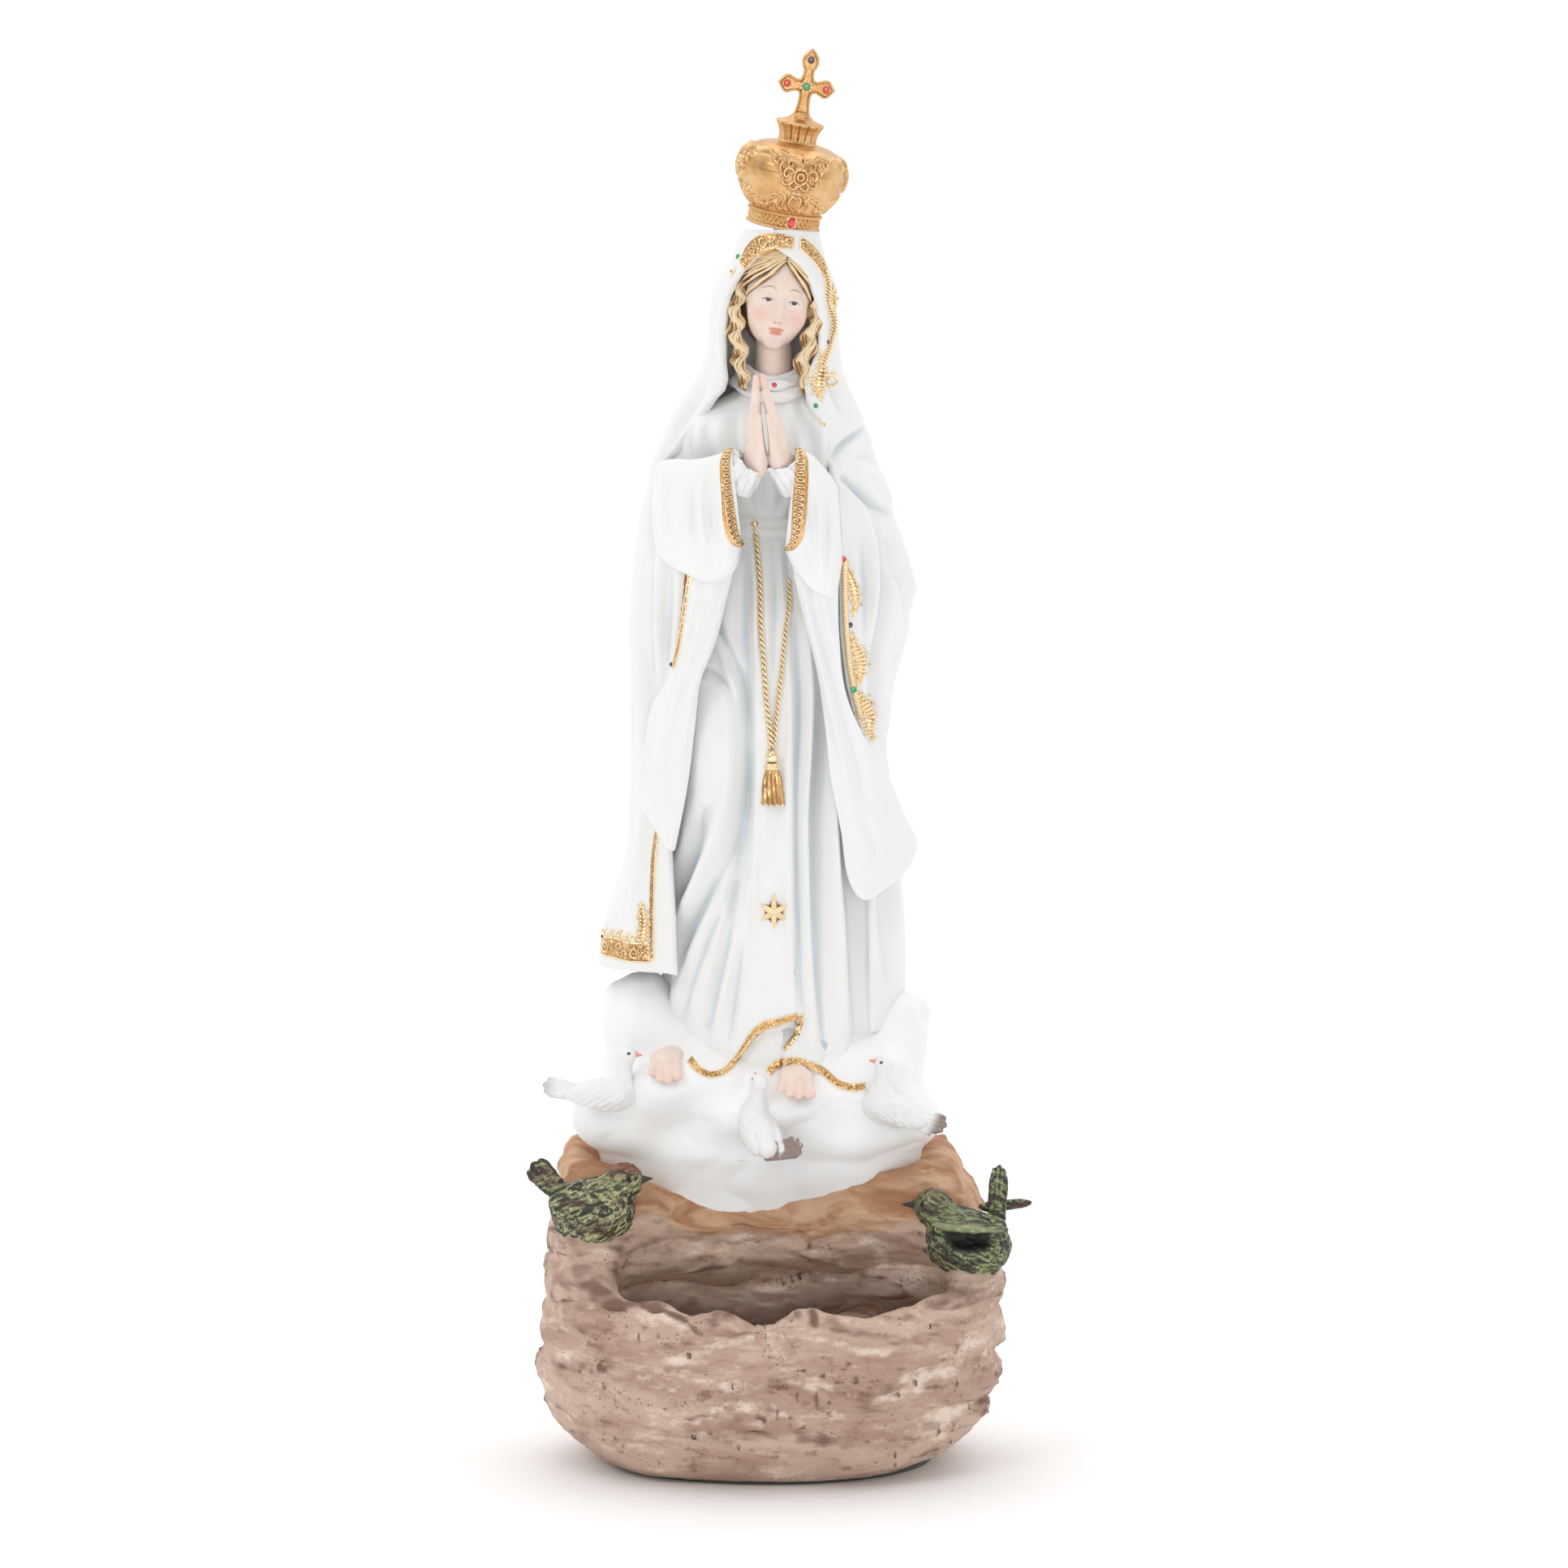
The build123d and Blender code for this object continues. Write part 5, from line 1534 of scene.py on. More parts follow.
UPPER_SCROLLS = [
    [(0, 27.6), (1.9, 27.2), (3.0, 25.4), (2.8, 23.2), (1.5, 21.8), (0, 21.4)],
    [(0, 25.9), (1.2, 25.6), (1.5, 24.4), (0.9, 23.4), (0, 23.2)],
    [(0.2, 28.2), (1.4, 30.2), (3.4, 31.4), (5.6, 31.2), (6.6, 29.6), (5.9, 28.3), (4.7, 28.5), (4.6, 29.5)],
    [(3.3, 26.2), (5.0, 27.6), (7.0, 27.4), (8.1, 25.8), (7.6, 24.3), (6.3, 24.2), (5.9, 25.3)],
    [(3.1, 22.8), (4.8, 21.2), (6.9, 20.9), (8.4, 22.0), (8.5, 23.4)],
    [(0.3, 20.8), (1.8, 19.5), (3.7, 19.5), (4.6, 20.5), (3.9, 21.3)],
    [(5.8, 31.8), (8.6, 32.9), (11.6, 32.6), (13.6, 31.0), (13.4, 29.3), (12.0, 29.0), (11.4, 30.1)],
    [(13.8, 31.4), (15.8, 32.6), (18.6, 32.4)],
    [(9.0, 29.6), (10.4, 28.0), (10.0, 26.3)],
    [(0, 29.2), (0.9, 31.0), (0, 32.8)],
]
LOWER_SCROLLS = [
    [(0, 9.3), (1.7, 10.8), (2.7, 13.0), (2.4, 15.0), (1.2, 15.8), (0, 14.6)],
    [(0, 17.0), (1.6, 17.5), (2.8, 16.6)],
    [(2.6, 9.2), (4.6, 10.2), (5.4, 12.4), (5.0, 14.6), (6.2, 16.4), (8.0, 16.8), (9.0, 15.6), (8.3, 14.5)],
    [(5.2, 9.2), (7.2, 9.8), (8.2, 11.6), (9.9, 12.4), (11.2, 11.5), (10.9, 10.3)],
    [(9.3, 15.4), (10.8, 15.9), (12.0, 15.0)],
    [(12.2, 9.3), (13.4, 10.8), (14.8, 10.0)],
]
SCROLL_BEADS = [
    (0, 28.9), (4.3, 26.0), (9.4, 24.6), (9.6, 22.0), (5.4, 19.6), (8.8, 30.9), (0, 18.6), (3.9, 15.9),
    (10.2, 14.0), (7.0, 12.9), (12.4, 12.9), (14.6, 12.0)
]
LATTICE_TURNS = 44
FLUTES = 16


def in_crown(points):
    """Points from the crown's own leaning frame into the row's frame."""
    return CROWN_SEAT + np.asarray(points, float) @ CROWN_TURN.T


def crown_relief(angle, height, radius):
    """Raised scrollwork on the bulb, a lattice on the band and flutes on the collar."""
    quarter = (angle - 0.16 + 0.5 * np.pi + 0.25 * np.pi) % (0.5 * np.pi) - 0.25 * np.pi
    across = np.abs(quarter * radius) * 1.12
    relief = np.zeros(angle.shape)
    on_bulb = (height > 8.2) & (height < 36.2)
    px, pz = across[on_bulb], height[on_bulb]
    raised = np.zeros(px.shape)
    for line in UPPER_SCROLLS + LOWER_SCROLLS:
        away, along = near_line(px, pz, smooth_path(line, 6 * len(line)))
        taper = 0.55 + 0.45 * np.sin(np.pi * np.clip(0.15 + 0.75 * along, 0, 1))
        raised = np.maximum(raised, 1.25 * taper * np.exp(-((away / (0.62 * taper + 0.12)) ** 2)))
    for bx, bz in SCROLL_BEADS:
        raised = np.maximum(raised, 0.85 * np.exp(-(((px - bx) ** 2 + (pz - bz) ** 2) / 0.42)))
    pebbled = np.clip(0.8 - np.hypot(px / 9.5, (pz - 25.5) / 6.5), 0, 0.4)
    raised = raised + 0.2 * pebbled * noise(px, pz, 0 * px, 0.8, 31)
    relief[on_bulb] = raised
    on_band = (height > 1.7) & (height < 5.7)
    fade = np.sin(np.pi * (height[on_band] - 1.7) / 4.0) ** 0.4
    weave = np.cos(LATTICE_TURNS * angle[on_band] + 1.75 * height[on_band])
    cross_weave = np.cos(LATTICE_TURNS * angle[on_band] - 1.75 * height[on_band])
    relief[on_band] = fade * (
        0.30 * np.maximum(weave, cross_weave) + 0.18
        * noise(angle[on_band] * 16, height[on_band], 0 * px[:1], 0.6, 33)
    )
    beads = np.exp(-(((height - 6.6) / 0.6) ** 2)) + 0.6 * np.exp(-(((height - 0.9) / 0.5) ** 2))
    relief += 0.28 * beads * np.cos(58 * angle) * (height < 8)
    on_collar = step_up(37.4, 39.0, height) * (1 - step_up(44.6, 45.4, height)) * (height < 46)
    flute = np.abs(np.sin(0.5 * FLUTES * angle))
    relief -= 0.9 * on_collar * np.exp(-((flute / 0.30) ** 2))
    return relief


def crown_shell():
    """Band, bulb and collar in one turned skin round the socket for the peg."""
    profile = np.asarray(CROWN_PROFILE, float)
    steps = np.concatenate([[0], np.cumsum(np.linalg.norm(np.diff(profile, axis=0), axis=1))])
    at = np.linspace(0, steps[-1], 420)
    radius, height = np.interp(at, steps, profile[:, 0]), np.interp(at, steps, profile[:, 1])
    kernel = np.ones(5) / 5
    radius = np.convolve(np.pad(radius, 2, mode="edge"), kernel, "valid")
    columns = 860
    angle = np.broadcast_to(np.linspace(0, 2 * np.pi, columns, endpoint=False)[None, :], (420, columns))
    heights, radii = np.broadcast_to(
        height[:, None], angle.shape
    ), np.broadcast_to(radius[:, None], angle.shape)
    relief = crown_relief(angle, heights, np.maximum(radii, 1e-3))
    slope_r, slope_z = np.gradient(radius), np.gradient(height)
    length = np.hypot(slope_r, slope_z) + 1e-9
    out_r, out_z = (slope_z / length)[:, None], (-slope_r / length)[:, None]
    rr, zz = radii + relief * out_r, heights + relief * out_z
    skin = np.stack([rr * np.cos(angle), rr * np.sin(angle), zz], axis=-1)
    around = np.stack([np.cos(angle[0]), np.sin(angle[0]), 0 * angle[0]], axis=1)
    inside = [around * 5.6 + [0, 0, 14.0], around * 5.6 + [0, 0, 0.1], around * 6.0 + [0, 0, -0.05]]
    rings = np.concatenate([np.stack(inside), skin])
    total = rings.shape[0] * columns
    points = np.concatenate([rings.reshape(-1, 3), [[0, 0, 51.1], [0, 0, 14.2]]])
    return Shape().add(
        in_crown(points),
        grid_faces(rings.shape[0], columns, closed=True),
        fan(np.arange(columns) + total - columns, total),
        fan(np.arange(columns), total + 1, flip=True),
    )


CROSS_CENTRE = 61.5
CROSS_SPAN = 12.6
CROWN_TOP = 78.0
CROSS_OUTLINE = [
    (5.6, 45.6), (4.4, 47.6), (3.3, 50.0), (2.7, 53.0), (2.5, 56.6), (2.9, 58.6), (4.4, 59.0), (6.2, 58.3),
    (8.0, 57.4), (9.9, 57.9), (11.2, 59.6), (12.6, 61.5), (11.2, 63.4), (9.9, 65.1), (8.0, 65.6), (6.2, 64.7),
    (4.4, 64.0), (2.9, 64.4), (2.4, 66.4), (2.3, 68.2), (3.3, 69.9), (3.9, 72.0), (3.4, 74.4),
    (1.8, 76.4), (0, 78.0),
]


def outline_distance(px, pz, outline):
    """Signed distance to a closed outline, negative inside."""
    away = np.full(px.shape, 1e9)
    inside = np.zeros(px.shape, bool)
    for (ax, az), (bx, bz) in zip(outline, outline[1:] + outline[:1]):
        ex, ez = bx - ax, bz - az
        t = np.clip(((px - ax) * ex + (pz - az) * ez) / (ex * ex + ez * ez + 1e-12), 0, 1)
        away = np.minimum(away, np.hypot(px - ax - t * ex, pz - az - t * ez))
        crosses = (az > pz) != (bz > pz)
        inside ^= crosses & (px < (bx - ax) * (pz - az) / (bz - az + 1e-12) + ax)
    return np.where(inside, -away, away)


def cross_field(x, y, z):
    outline = CROSS_OUTLINE + [(-px, pz) for px, pz in CROSS_OUTLINE[-2::-1]]
    flat = outline_distance(x + 0 * z, z + 0 * x, outline)
    sunk = step_up(0.75, 1.15, -flat)
    pebbles = 0.06 * noise(x + 0 * z, 0 * x * z, z + 0 * x, 0.9, 35) + 0.03 * noise(
        x + 0 * z, 0 * x * z, z + 0 * x, 0.45, 36
    )
    half = 2.3 - 0.75 * sunk + sunk * pebbles
    return -round_join(-flat, -(np.abs(y) - half), 0.7)


crown_skin = crown_shell()
cross = sculpt(cross_field, (-14, -3.6, 44), (14, 3.6, 79.4), 0.24)
cross_points, cross_faces = gather(cross)
cross = Shape().add(in_crown(relax(cross_points, cross_faces, 2, 0.4)), cross_faces)
ARM_STONE = CROSS_SPAN - 4.0
TIP_STONE = CROWN_TOP - 5.0
for front in (-1, 1):
    for petal in range(9):
        turn = 2 * np.pi * petal / 9
        place = (2.35 * math.cos(turn), front * 2.25, CROSS_CENTRE + 2.35 * math.sin(turn))
        cross.ball(in_crown(place), (0.72, 0.72, 0.72), 10)
    for cx, cz in ((-ARM_STONE, CROSS_CENTRE), (ARM_STONE, CROSS_CENTRE), (0, TIP_STONE)):
        turn = np.linspace(0, 2 * np.pi, 28)
        rim = np.stack(
            [cx + 1.65 * np.cos(turn), np.full(28, front * 1.85), cz + 1.65 * np.sin(turn)], axis=1
        )
        cross.tube(in_crown(rim), 0.34, 8, up=(0, 0.02, 1))
make_piece(
    "crown_skin", crown_skin, "crown", ["crown_band", "crown_bulb", "crown_collar"], GOLD, 18
)
make_piece("crown_cross", cross, "crown", ["crown_cross"], GOLD, 4)


# ---------------------------------------------------------------- stones
def stone_paint(name, colour, deep):
    """Cut glass: glossy, with painted shade darker at its edges and in small patches, and a bright colour
    painted as the light from the foil behind it.
    """
    paint = Paint(name)
    # painted shade: darker copy of the colour at the facet edges
    base = paint.mix(paint.cavity(0.44, 0.56), colour, deep)
    # painted shade: darker copy of the colour in small patches
    base = paint.mix(paint.range(paint.noise(0.5), 0.45, 0.7, 0, 0.5), base, deep)
    return paint.finish(base, Roughness=0.06, Specular_IOR_Level=0.8, Coat_Weight=0.6)


RED_STONE = stone_paint("stone_red", (0.80, 0.05, 0.045), (0.42, 0.01, 0.015))
GREEN_STONE = stone_paint("stone_green", (0.0, 0.40, 0.11), (0.0, 0.13, 0.035))
DARK_STONE = stone_paint("stone_dark", (0.055, 0.05, 0.13), (0.008, 0.008, 0.02))


def add_stone(shape, centre, facing, radius, tall=1.0, upright=(0, 0, 1)):
    """A round brilliant stone: girdle, slanted crown facets and a flat table."""
    facing = np.asarray(facing, float) / np.linalg.norm(facing)
    across = np.cross(upright, facing)
    across /= np.linalg.norm(across)
    up = np.cross(facing, across)
    rings = []
    for size, depth, turned in ((0.85, -0.55, 0), (1.0, 0.0, 0), (0.93, 0.22, 0.5), (0.56, 0.62, 0)):
        turn = (np.arange(10) + turned) * 2 * np.pi / 10
        flat = across * np.cos(turn)[:, None] + up * (tall * np.sin(turn))[:, None]
        rings.append(np.asarray(centre) + radius * (size * flat + depth * facing))
    ends = [np.asarray(centre) + radius * 0.66 * facing, np.asarray(centre) - radius * 0.55 * facing]
    shape.add(
        np.concatenate([np.concatenate(rings), ends]),
        grid_faces(4, 10, closed=True),
        fan(np.arange(10) + 30, 40),
        fan(np.arange(10), 41, flip=True),
    )


def make_stones(name, body, nodes, material, stones):
    """Cut stones with crisp facets from (centre, facing, radius, tall)."""
    shape = Shape()
    for centre, facing, radius, tall in stones:
        add_stone(shape, centre, facing, radius, tall)
    make_piece(name, shape, body, nodes, material, 1).data.shade_flat()


crown_front = CROWN_TURN @ np.array([0.0, -1.0, 0.0])


def on_cross(x, height, depth=-1.95):
    return in_crown((x, depth, height))


gem_turn = math.radians(12)
gem_place = in_crown((16.0 * math.sin(gem_turn), -16.0 * math.cos(gem_turn), 3.8))
gem_facing = CROWN_TURN @ np.array([math.sin(gem_turn), -math.cos(gem_turn), 0.0])
make_stones("crown_gem", "crown", ["crown_gem"], RED_STONE, [(gem_place, gem_facing, 1.75, 1.3)])
make_stones(
    "cross_gem_top", "crown", ["cross_gem_top"], DARK_STONE,
    [(on_cross(0, TIP_STONE), crown_front, 1.35, 1)]
)
make_stones(
    "cross_gem_middle", "crown", ["cross_gem_middle"], GREEN_STONE,
    [(on_cross(0, CROSS_CENTRE, -2.4), crown_front, 1.5, 1)]
)
make_stones(
    "cross_gems_on_arms", "crown", ["cross_gems_on_arms"], RED_STONE,
    [(on_cross(-ARM_STONE, CROSS_CENTRE), crown_front, 1.4, 1), (on_cross(ARM_STONE, CROSS_CENTRE),
        crown_front, 1.4, 1)],
)
gem_rim = np.linspace(0, 2 * np.pi, 30)
gem_side, gem_up = np.cross([0, 0, 1], gem_facing), CROWN_TURN @ np.array([0.0, 0.0, 1.0])
setting = Shape().tube(
    gem_place - 0.2 * gem_facing + 2.1 * (gem_side * np.cos(gem_rim)[:,
        None] + 1.25 * gem_up * np.sin(gem_rim)[:, None]),
    0.42, 8, up=tuple(gem_facing + 0.01),
)
make_piece("crown_gem_setting", setting, "crown", [], TRIM, 2)


# ---------------------------------------------------------------- gilding laid on the cloth
def tree_of(*names):
    """One search tree for each named piece."""
    bpy.context.view_layer.update()
    state = bpy.context.evaluated_depsgraph_get()
    return [BVHTree.FromObject(PIECES[name], state) for name in names]


def lay(px, pz, trees):
    """Where the cloth lies behind places seen from the front, and the way it faces there."""
    hits, normals = [], []
    for x, z in zip(np.ravel(px), np.ravel(pz)):
        best, facing = None, None
        for tree in trees:
            hit, normal, _, _ = tree.ray_cast(Vector((x * MM, -0.2, z * MM)), Vector((0, 1, 0)), 0.3)
            if hit is not None and (best is None or hit.y < best.y):
                best, facing = hit, normal
        hits.append([x, np.nan, z] if best is None else [x, best.y / MM, z])
        normals.append([0, -1, 0] if facing is None else list(facing))
    hits, normals = np.array(hits), np.array(normals)
    known = ~np.isnan(hits[:, 1])
    if not known.any():
        return None, None
    hits[:, 1] = np.interp(np.arange(len(hits)), np.flatnonzero(known), hits[known, 1])
    normals[normals[:, 1] > 0] *= -1
    normals[:, 1] -= 0.35
    normals /= np.linalg.norm(normals, axis=1, keepdims=True)
    return hits.reshape(*np.shape(px), 3), normals.reshape(*np.shape(px), 3)


def laid_line(points, trees, lift, spacing=0.7, smooth=0):
    """A line drawn on the cloth from (x, z) places."""
    points = np.asarray(points, float)
    length = np.linalg.norm(np.diff(points, axis=0), axis=1).sum()
    line = smooth_path(points, max(6, int(length / spacing)))
    hits, normals = lay(line[:, 0], line[:, 1], trees)
    if hits is None:
        return None
    line = hits + normals * lift
    for _ in range(smooth):
        line[1:-1] = 0.25 * line[:-2] + 0.5 * line[1:-1] + 0.25 * line[2:]
    return line


def add_strip(shape, edge_a, edge_b, trees, relief, columns=26, spacing=0.35, deep=0.7):
    """A raised gilded strip between two lines on the cloth; relief(s mm, t from -1 to 1) is its height."""
    edge_a, edge_b = np.asarray(edge_a, float), np.asarray(edge_b, float)
    length = np.linalg.norm(np.diff(edge_a, axis=0), axis=1).sum()
    rows = int(length / spacing)
    edge_a, edge_b = smooth_path(edge_a, rows), smooth_path(edge_b, rows)
    t = np.linspace(-1, 1, columns)[None, :]
    place = 0.5 * ((1 - t)[..., None] * edge_a[:, None] + (1 + t)[..., None] * edge_b[:, None])
    hits, normals = lay(place[..., 0], place[..., 1], trees)
    for _ in range(3):
        hits[1:-1, 1:-1, 1] = 0.5 * hits[1:-1, 1:-1, 1] + 0.125 * (
            hits[:-2, 1:-1, 1] + hits[2:, 1:-1, 1] + hits[1:-1, :-2, 1] + hits[1:-1, 2:, 1]
        )
    s = np.linspace(0, length, rows)[:, None]
    body = 0.75 * (1 - np.abs(t) ** 5)
    ends = np.clip(np.minimum(s, length - s) / 0.8, 0, 1) ** 0.5
    outer = hits + normals * (ends * (body + relief(s, t)))[..., None]
    inner = hits - normals * deep
    wrapped = np.concatenate([outer, inner[:, ::-1]], axis=1)
    along = outer[rows // 2, 0] - outer[rows // 2 - 1, 0]
    across = outer[rows // 2, -1] - outer[rows // 2, 0]
    flip = np.cross(across, along)[1] > 0
    around = 2 * columns
    strip = np.arange(columns - 1)
    cap = np.stack([strip, strip + 1, around - 2 - strip, around - 1 - strip], axis=1)
    last = (rows - 1) * around
    caps = [cap[:, ::-1], cap + last]
    if flip:
        caps = [group[:, ::-1] for group in caps]
    shape.add(wrapped.reshape(-1, 3), grid_faces(rows, around, closed=True, flip=flip), *caps)


def ring_row(s, t):
    """A row of small rings with pricked ground beside them and a plain outer band."""
    pitch = 2.7
    cell = (s % pitch) - pitch / 2
    middle = (t - 0.18) * 2.0
    away = np.hypot(cell, middle)
    ring = 0.65 * np.exp(-(((away - 0.85) / 0.26) ** 2)) + 0.45 * np.exp(-((away / 0.32) ** 2))
    ring = ring * (np.abs(t - 0.18) < 0.62)
    rails = 0.40 * np.exp(-(((t - 0.80) / 0.10) ** 2)) + 0.34 * np.exp(-(((t + 0.42) / 0.10) ** 2))
    return ring + rails + 0.10 * noise(s + 0 * t, t * 3, 0 * s * t, 0.5, 45)


def pricked(s, t):
    """A rough, hammered band with raised edges."""
    rails = 0.35 * np.exp(-(((np.abs(t) - 0.82) / 0.12) ** 2))
    cells = 0.30 * np.abs(
        noise(s + 0 * t, t * 2.2, 0 * s * t, 0.85, 46)
    ) + 0.16 * noise(s + 0 * t, t * 3, 0 * s * t, 0.4, 47)
    return rails + cells


def acanthus(s, t):
    """Leafy scrollwork that runs along a broad band."""
    pitch = 6.4
    cell = (s % pitch) - pitch / 2
    flip = np.where((s // pitch) % 2 > 0, 1.0, -1.0)
    v = 2.6 * t * flip
    scroll = np.abs(np.hypot(cell + 0.6, v - 0.2) - 1.25)
    bud = np.hypot(cell + 0.6, v - 0.2)
    stem = np.abs(v - 1.5 * np.sin(2 * np.pi * s / pitch / 2))
    leaf = np.abs(np.hypot(cell - 1.9, v + 0.8) - 0.85)
    raised = 0.5 * np.exp(-((scroll / 0.26) ** 2)) + 0.45 * np.exp(-((bud / 0.35) ** 2))
    raised = raised + 0.38 * np.exp(-((stem / 0.28) ** 2)) + 0.40 * np.exp(-((leaf / 0.24) ** 2))
    rails = 0.45 * np.exp(-(((np.abs(t) - 0.88) / 0.08) ** 2))
    return np.maximum(raised, rails) + 0.14 * noise(s + 0 * t, t * 4, 0 * s * t, 0.5, 48)


def twisted(shape, path, radius, strands=2, pitch=4.4, sides=9):
    """A cord of strands twisted round each other along a path."""
    length = np.concatenate([[0], np.cumsum(np.linalg.norm(np.diff(path, axis=0), axis=1))])
    even = np.linspace(0, length[-1], max(10, int(length[-1] / 0.32)))
    path = np.stack([np.interp(even, length, column) for column in path.T], axis=1)
    tangent = np.gradient(path, axis=0)
    tangent /= np.linalg.norm(tangent, axis=1, keepdims=True)
    side = np.cross(tangent, [0, -1, 0])
    side /= np.linalg.norm(side, axis=1, keepdims=True) + 1e-9
    out = np.cross(side, tangent)
    for strand in range(strands):
        turn = 2 * np.pi * (even / pitch + strand / strands)
        offset = 0.68 * radius * (np.cos(turn)[:, None] * side + np.sin(turn)[:, None] * out)
        shape.tube(path + offset, 0.58 * radius, sides)


def scroll(shape, trees, centre, size, turn, hand, thick=0.42, turns=1.35, lift=0.25):
    """A small spiral scroll on the cloth with a bead at its heart."""
    share = np.linspace(0, 1, 20)
    angle = turn + hand * 2 * np.pi * turns * share
    reach = size * (1 - share) ** 0.8 + 0.22
    points = np.stack([centre[0] + reach * np.cos(angle), centre[1] + reach * np.sin(angle)], axis=1)
    line = laid_line(points, trees, lift, 0.32)
    if line is None:
        return
    shape.tube(line, thick * np.linspace(1.0, 0.75, len(line)), 7)
    shape.ball(line[-1], (thick * 1.25,) * 3, 8)


def leaf(shape, trees, root, tip, bend, thick=0.75, lift=0.2):
    """A pointed leaf with a raised rib."""
    root, tip = np.asarray(root, float), np.asarray(tip, float)
    side = np.array([-(tip - root)[1], (tip - root)[0]]) * bend
    line = laid_line([root, 0.5 * (root + tip) + side, tip], trees, lift, 0.35)
    if line is None:
        return
    share = np.linspace(0, 1, len(line))
    shape.tube(line, thick * np.sin(np.pi * (0.12 + 0.86 * share)) ** 0.8 + 0.08, 8, flat=0.7)


def filigree(shape, trees, outline, seed, count):
    """A patch of pierced leaf-and-scroll work along a line of (x, z, half width)."""
    outline = np.asarray(outline, float)
    path = smooth_path(outline, count)
    plate = laid_line(outline[:, :2], trees, 0.15, 0.5, 2)
    if plate is not None:
        spread = np.interp(np.linspace(0, 1, len(plate)), np.linspace(0, 1, len(outline)), outline[:, 2])
        ragged = 0.72 + 0.16 * np.sin(np.arange(len(plate)) * 1.9 + seed)
        shape.tube(plate, spread * ragged, 16, flat=0.22)
    direction = np.gradient(path[:, :2], axis=0)
    direction /= np.linalg.norm(direction, axis=1, keepdims=True)
    for index, ((x, z, half), ahead) in enumerate(zip(path, direction)):
        side = np.array([-ahead[1], ahead[0]])
        for hand in (-1, 1):
            jitter = 0.25 * half * math.sin(7.3 * index + seed + hand)
            place = np.array([x, z]) + side * hand * (0.48 * half + jitter)
            turn = math.atan2(side[1] * hand, side[0] * hand) + 0.6 * math.sin(3.1 * index + seed)
            scroll(shape, trees, place, 0.46 * half + 0.35, turn, hand, 0.40, 1.1)
            tip = np.array([x, z]) + side * hand * half * 1.08 + ahead * 0.8 * math.sin(2.3 * index + hand)
            leaf(shape, trees, np.array([x, z]) + side * hand * 0.2 * half, tip, 0.25 * hand, 0.50)
        leaf(shape, trees, (x, z), np.array([x, z]) + ahead * 1.9, 0.2 * math.sin(index + seed), 0.55)


sleeves = tree_of("sleeve_left", "sleeve_right", "cuff_left", "cuff_right")
cloak = tree_of("mantle", "tunic", "mantle_panel_left", "mantle_panel_right")
skirt = tree_of("tunic")
mantle_only = tree_of("mantle")

SLEEVE_TRIMS = {
    "left": (
        [(-19.5, 448.3), (-21.6, 444), (-21.9, 437), (-21.2, 428), (-20.6, 418), (-18.9, 410.5),
            (-15.6, 406.6), (-12.6, 405.8)],
        [(-16.6, 448.6), (-17.4, 444), (-17.3, 437), (-16.2, 428), (-14.7, 418), (-13.4, 411.5),
            (-12.0, 408.4), (-11.2, 407.2)],
    ),
    "right": (
        [(13.2, 448.6), (15.6, 445), (16.2, 438), (15.8, 428), (15.0, 417), (13.0, 408.5), (9.4, 404.8),
            (6.0, 404.2)],
        [(10.2, 448.4), (10.6, 444), (10.2, 437), (9.3, 428), (8.8, 418), (8.4, 411), (7.2, 407.2),
            (5.6, 405.6)],
    ),
}
for name, (outside, inside) in SLEEVE_TRIMS.items():
    trim = Shape()
    add_strip(trim, outside, inside, sleeves, ring_row, 30)
    make_piece(f"sleeve_border_{name}", trim, "statue", [f"sleeve_border_{name}"], TRIM, 3)



def edges_of(line, half):
    """The two edges of a band drawn along a line of (x, z) places."""
    line = np.asarray(line, float)
    ahead = np.gradient(line, axis=0)
    ahead /= np.linalg.norm(ahead, axis=1, keepdims=True)
    side = np.stack([-ahead[:, 1], ahead[:, 0]], axis=1) * np.broadcast_to(half, len(line))[:, None]
    return line - side, line + side


HEM_LINES = {
    "left": [(-35.8, 182.0), (-31.6, 178.0), (-26.9, 175.9), (-20.9, 176.9), (-16.7, 180.0), (-12.6, 185.4),
             (-8.2, 192.0), (-3.5, 196.4), (2.8, 198.4), (9.6, 200.4), (12.0, 201.0)],
    "right": [(-1.4, 175.6), (2.0, 179.2), (9.0, 181.4), (16.0, 180.0), (23.0, 176.0), (29.3, 171.2),
        (35.6, 169.6),
              (41.4, 170.2)],
}
TURNED_HEM = [(12.4, 201.6), (12.6, 197.0), (10.6, 192.2), (5.4, 185.6)]
ground = tree_of("tunic", "cloud")
for name, line in HEM_LINES.items():
    trim = Shape()
    line = smooth_path(np.array(line), 60)
    width = 1.45 + 0.7 * np.exp(-(((line[:, 0] + 4) / 7) ** 2)) if name == "left" else 1.7
    lower, upper = edges_of(line, width)
    add_strip(trim, lower, upper, ground, pricked, 18)
    if name == "left":
        lower, upper = edges_of(smooth_path(np.array(TURNED_HEM), 20), np.linspace(1.5, 0.6, 20))
        add_strip(trim, lower, upper, ground, pricked, 12)
    make_piece(f"tunic_hem_border_{name}", trim, "statue", [f"tunic_hem_border_{name}"], TRIM, 3)

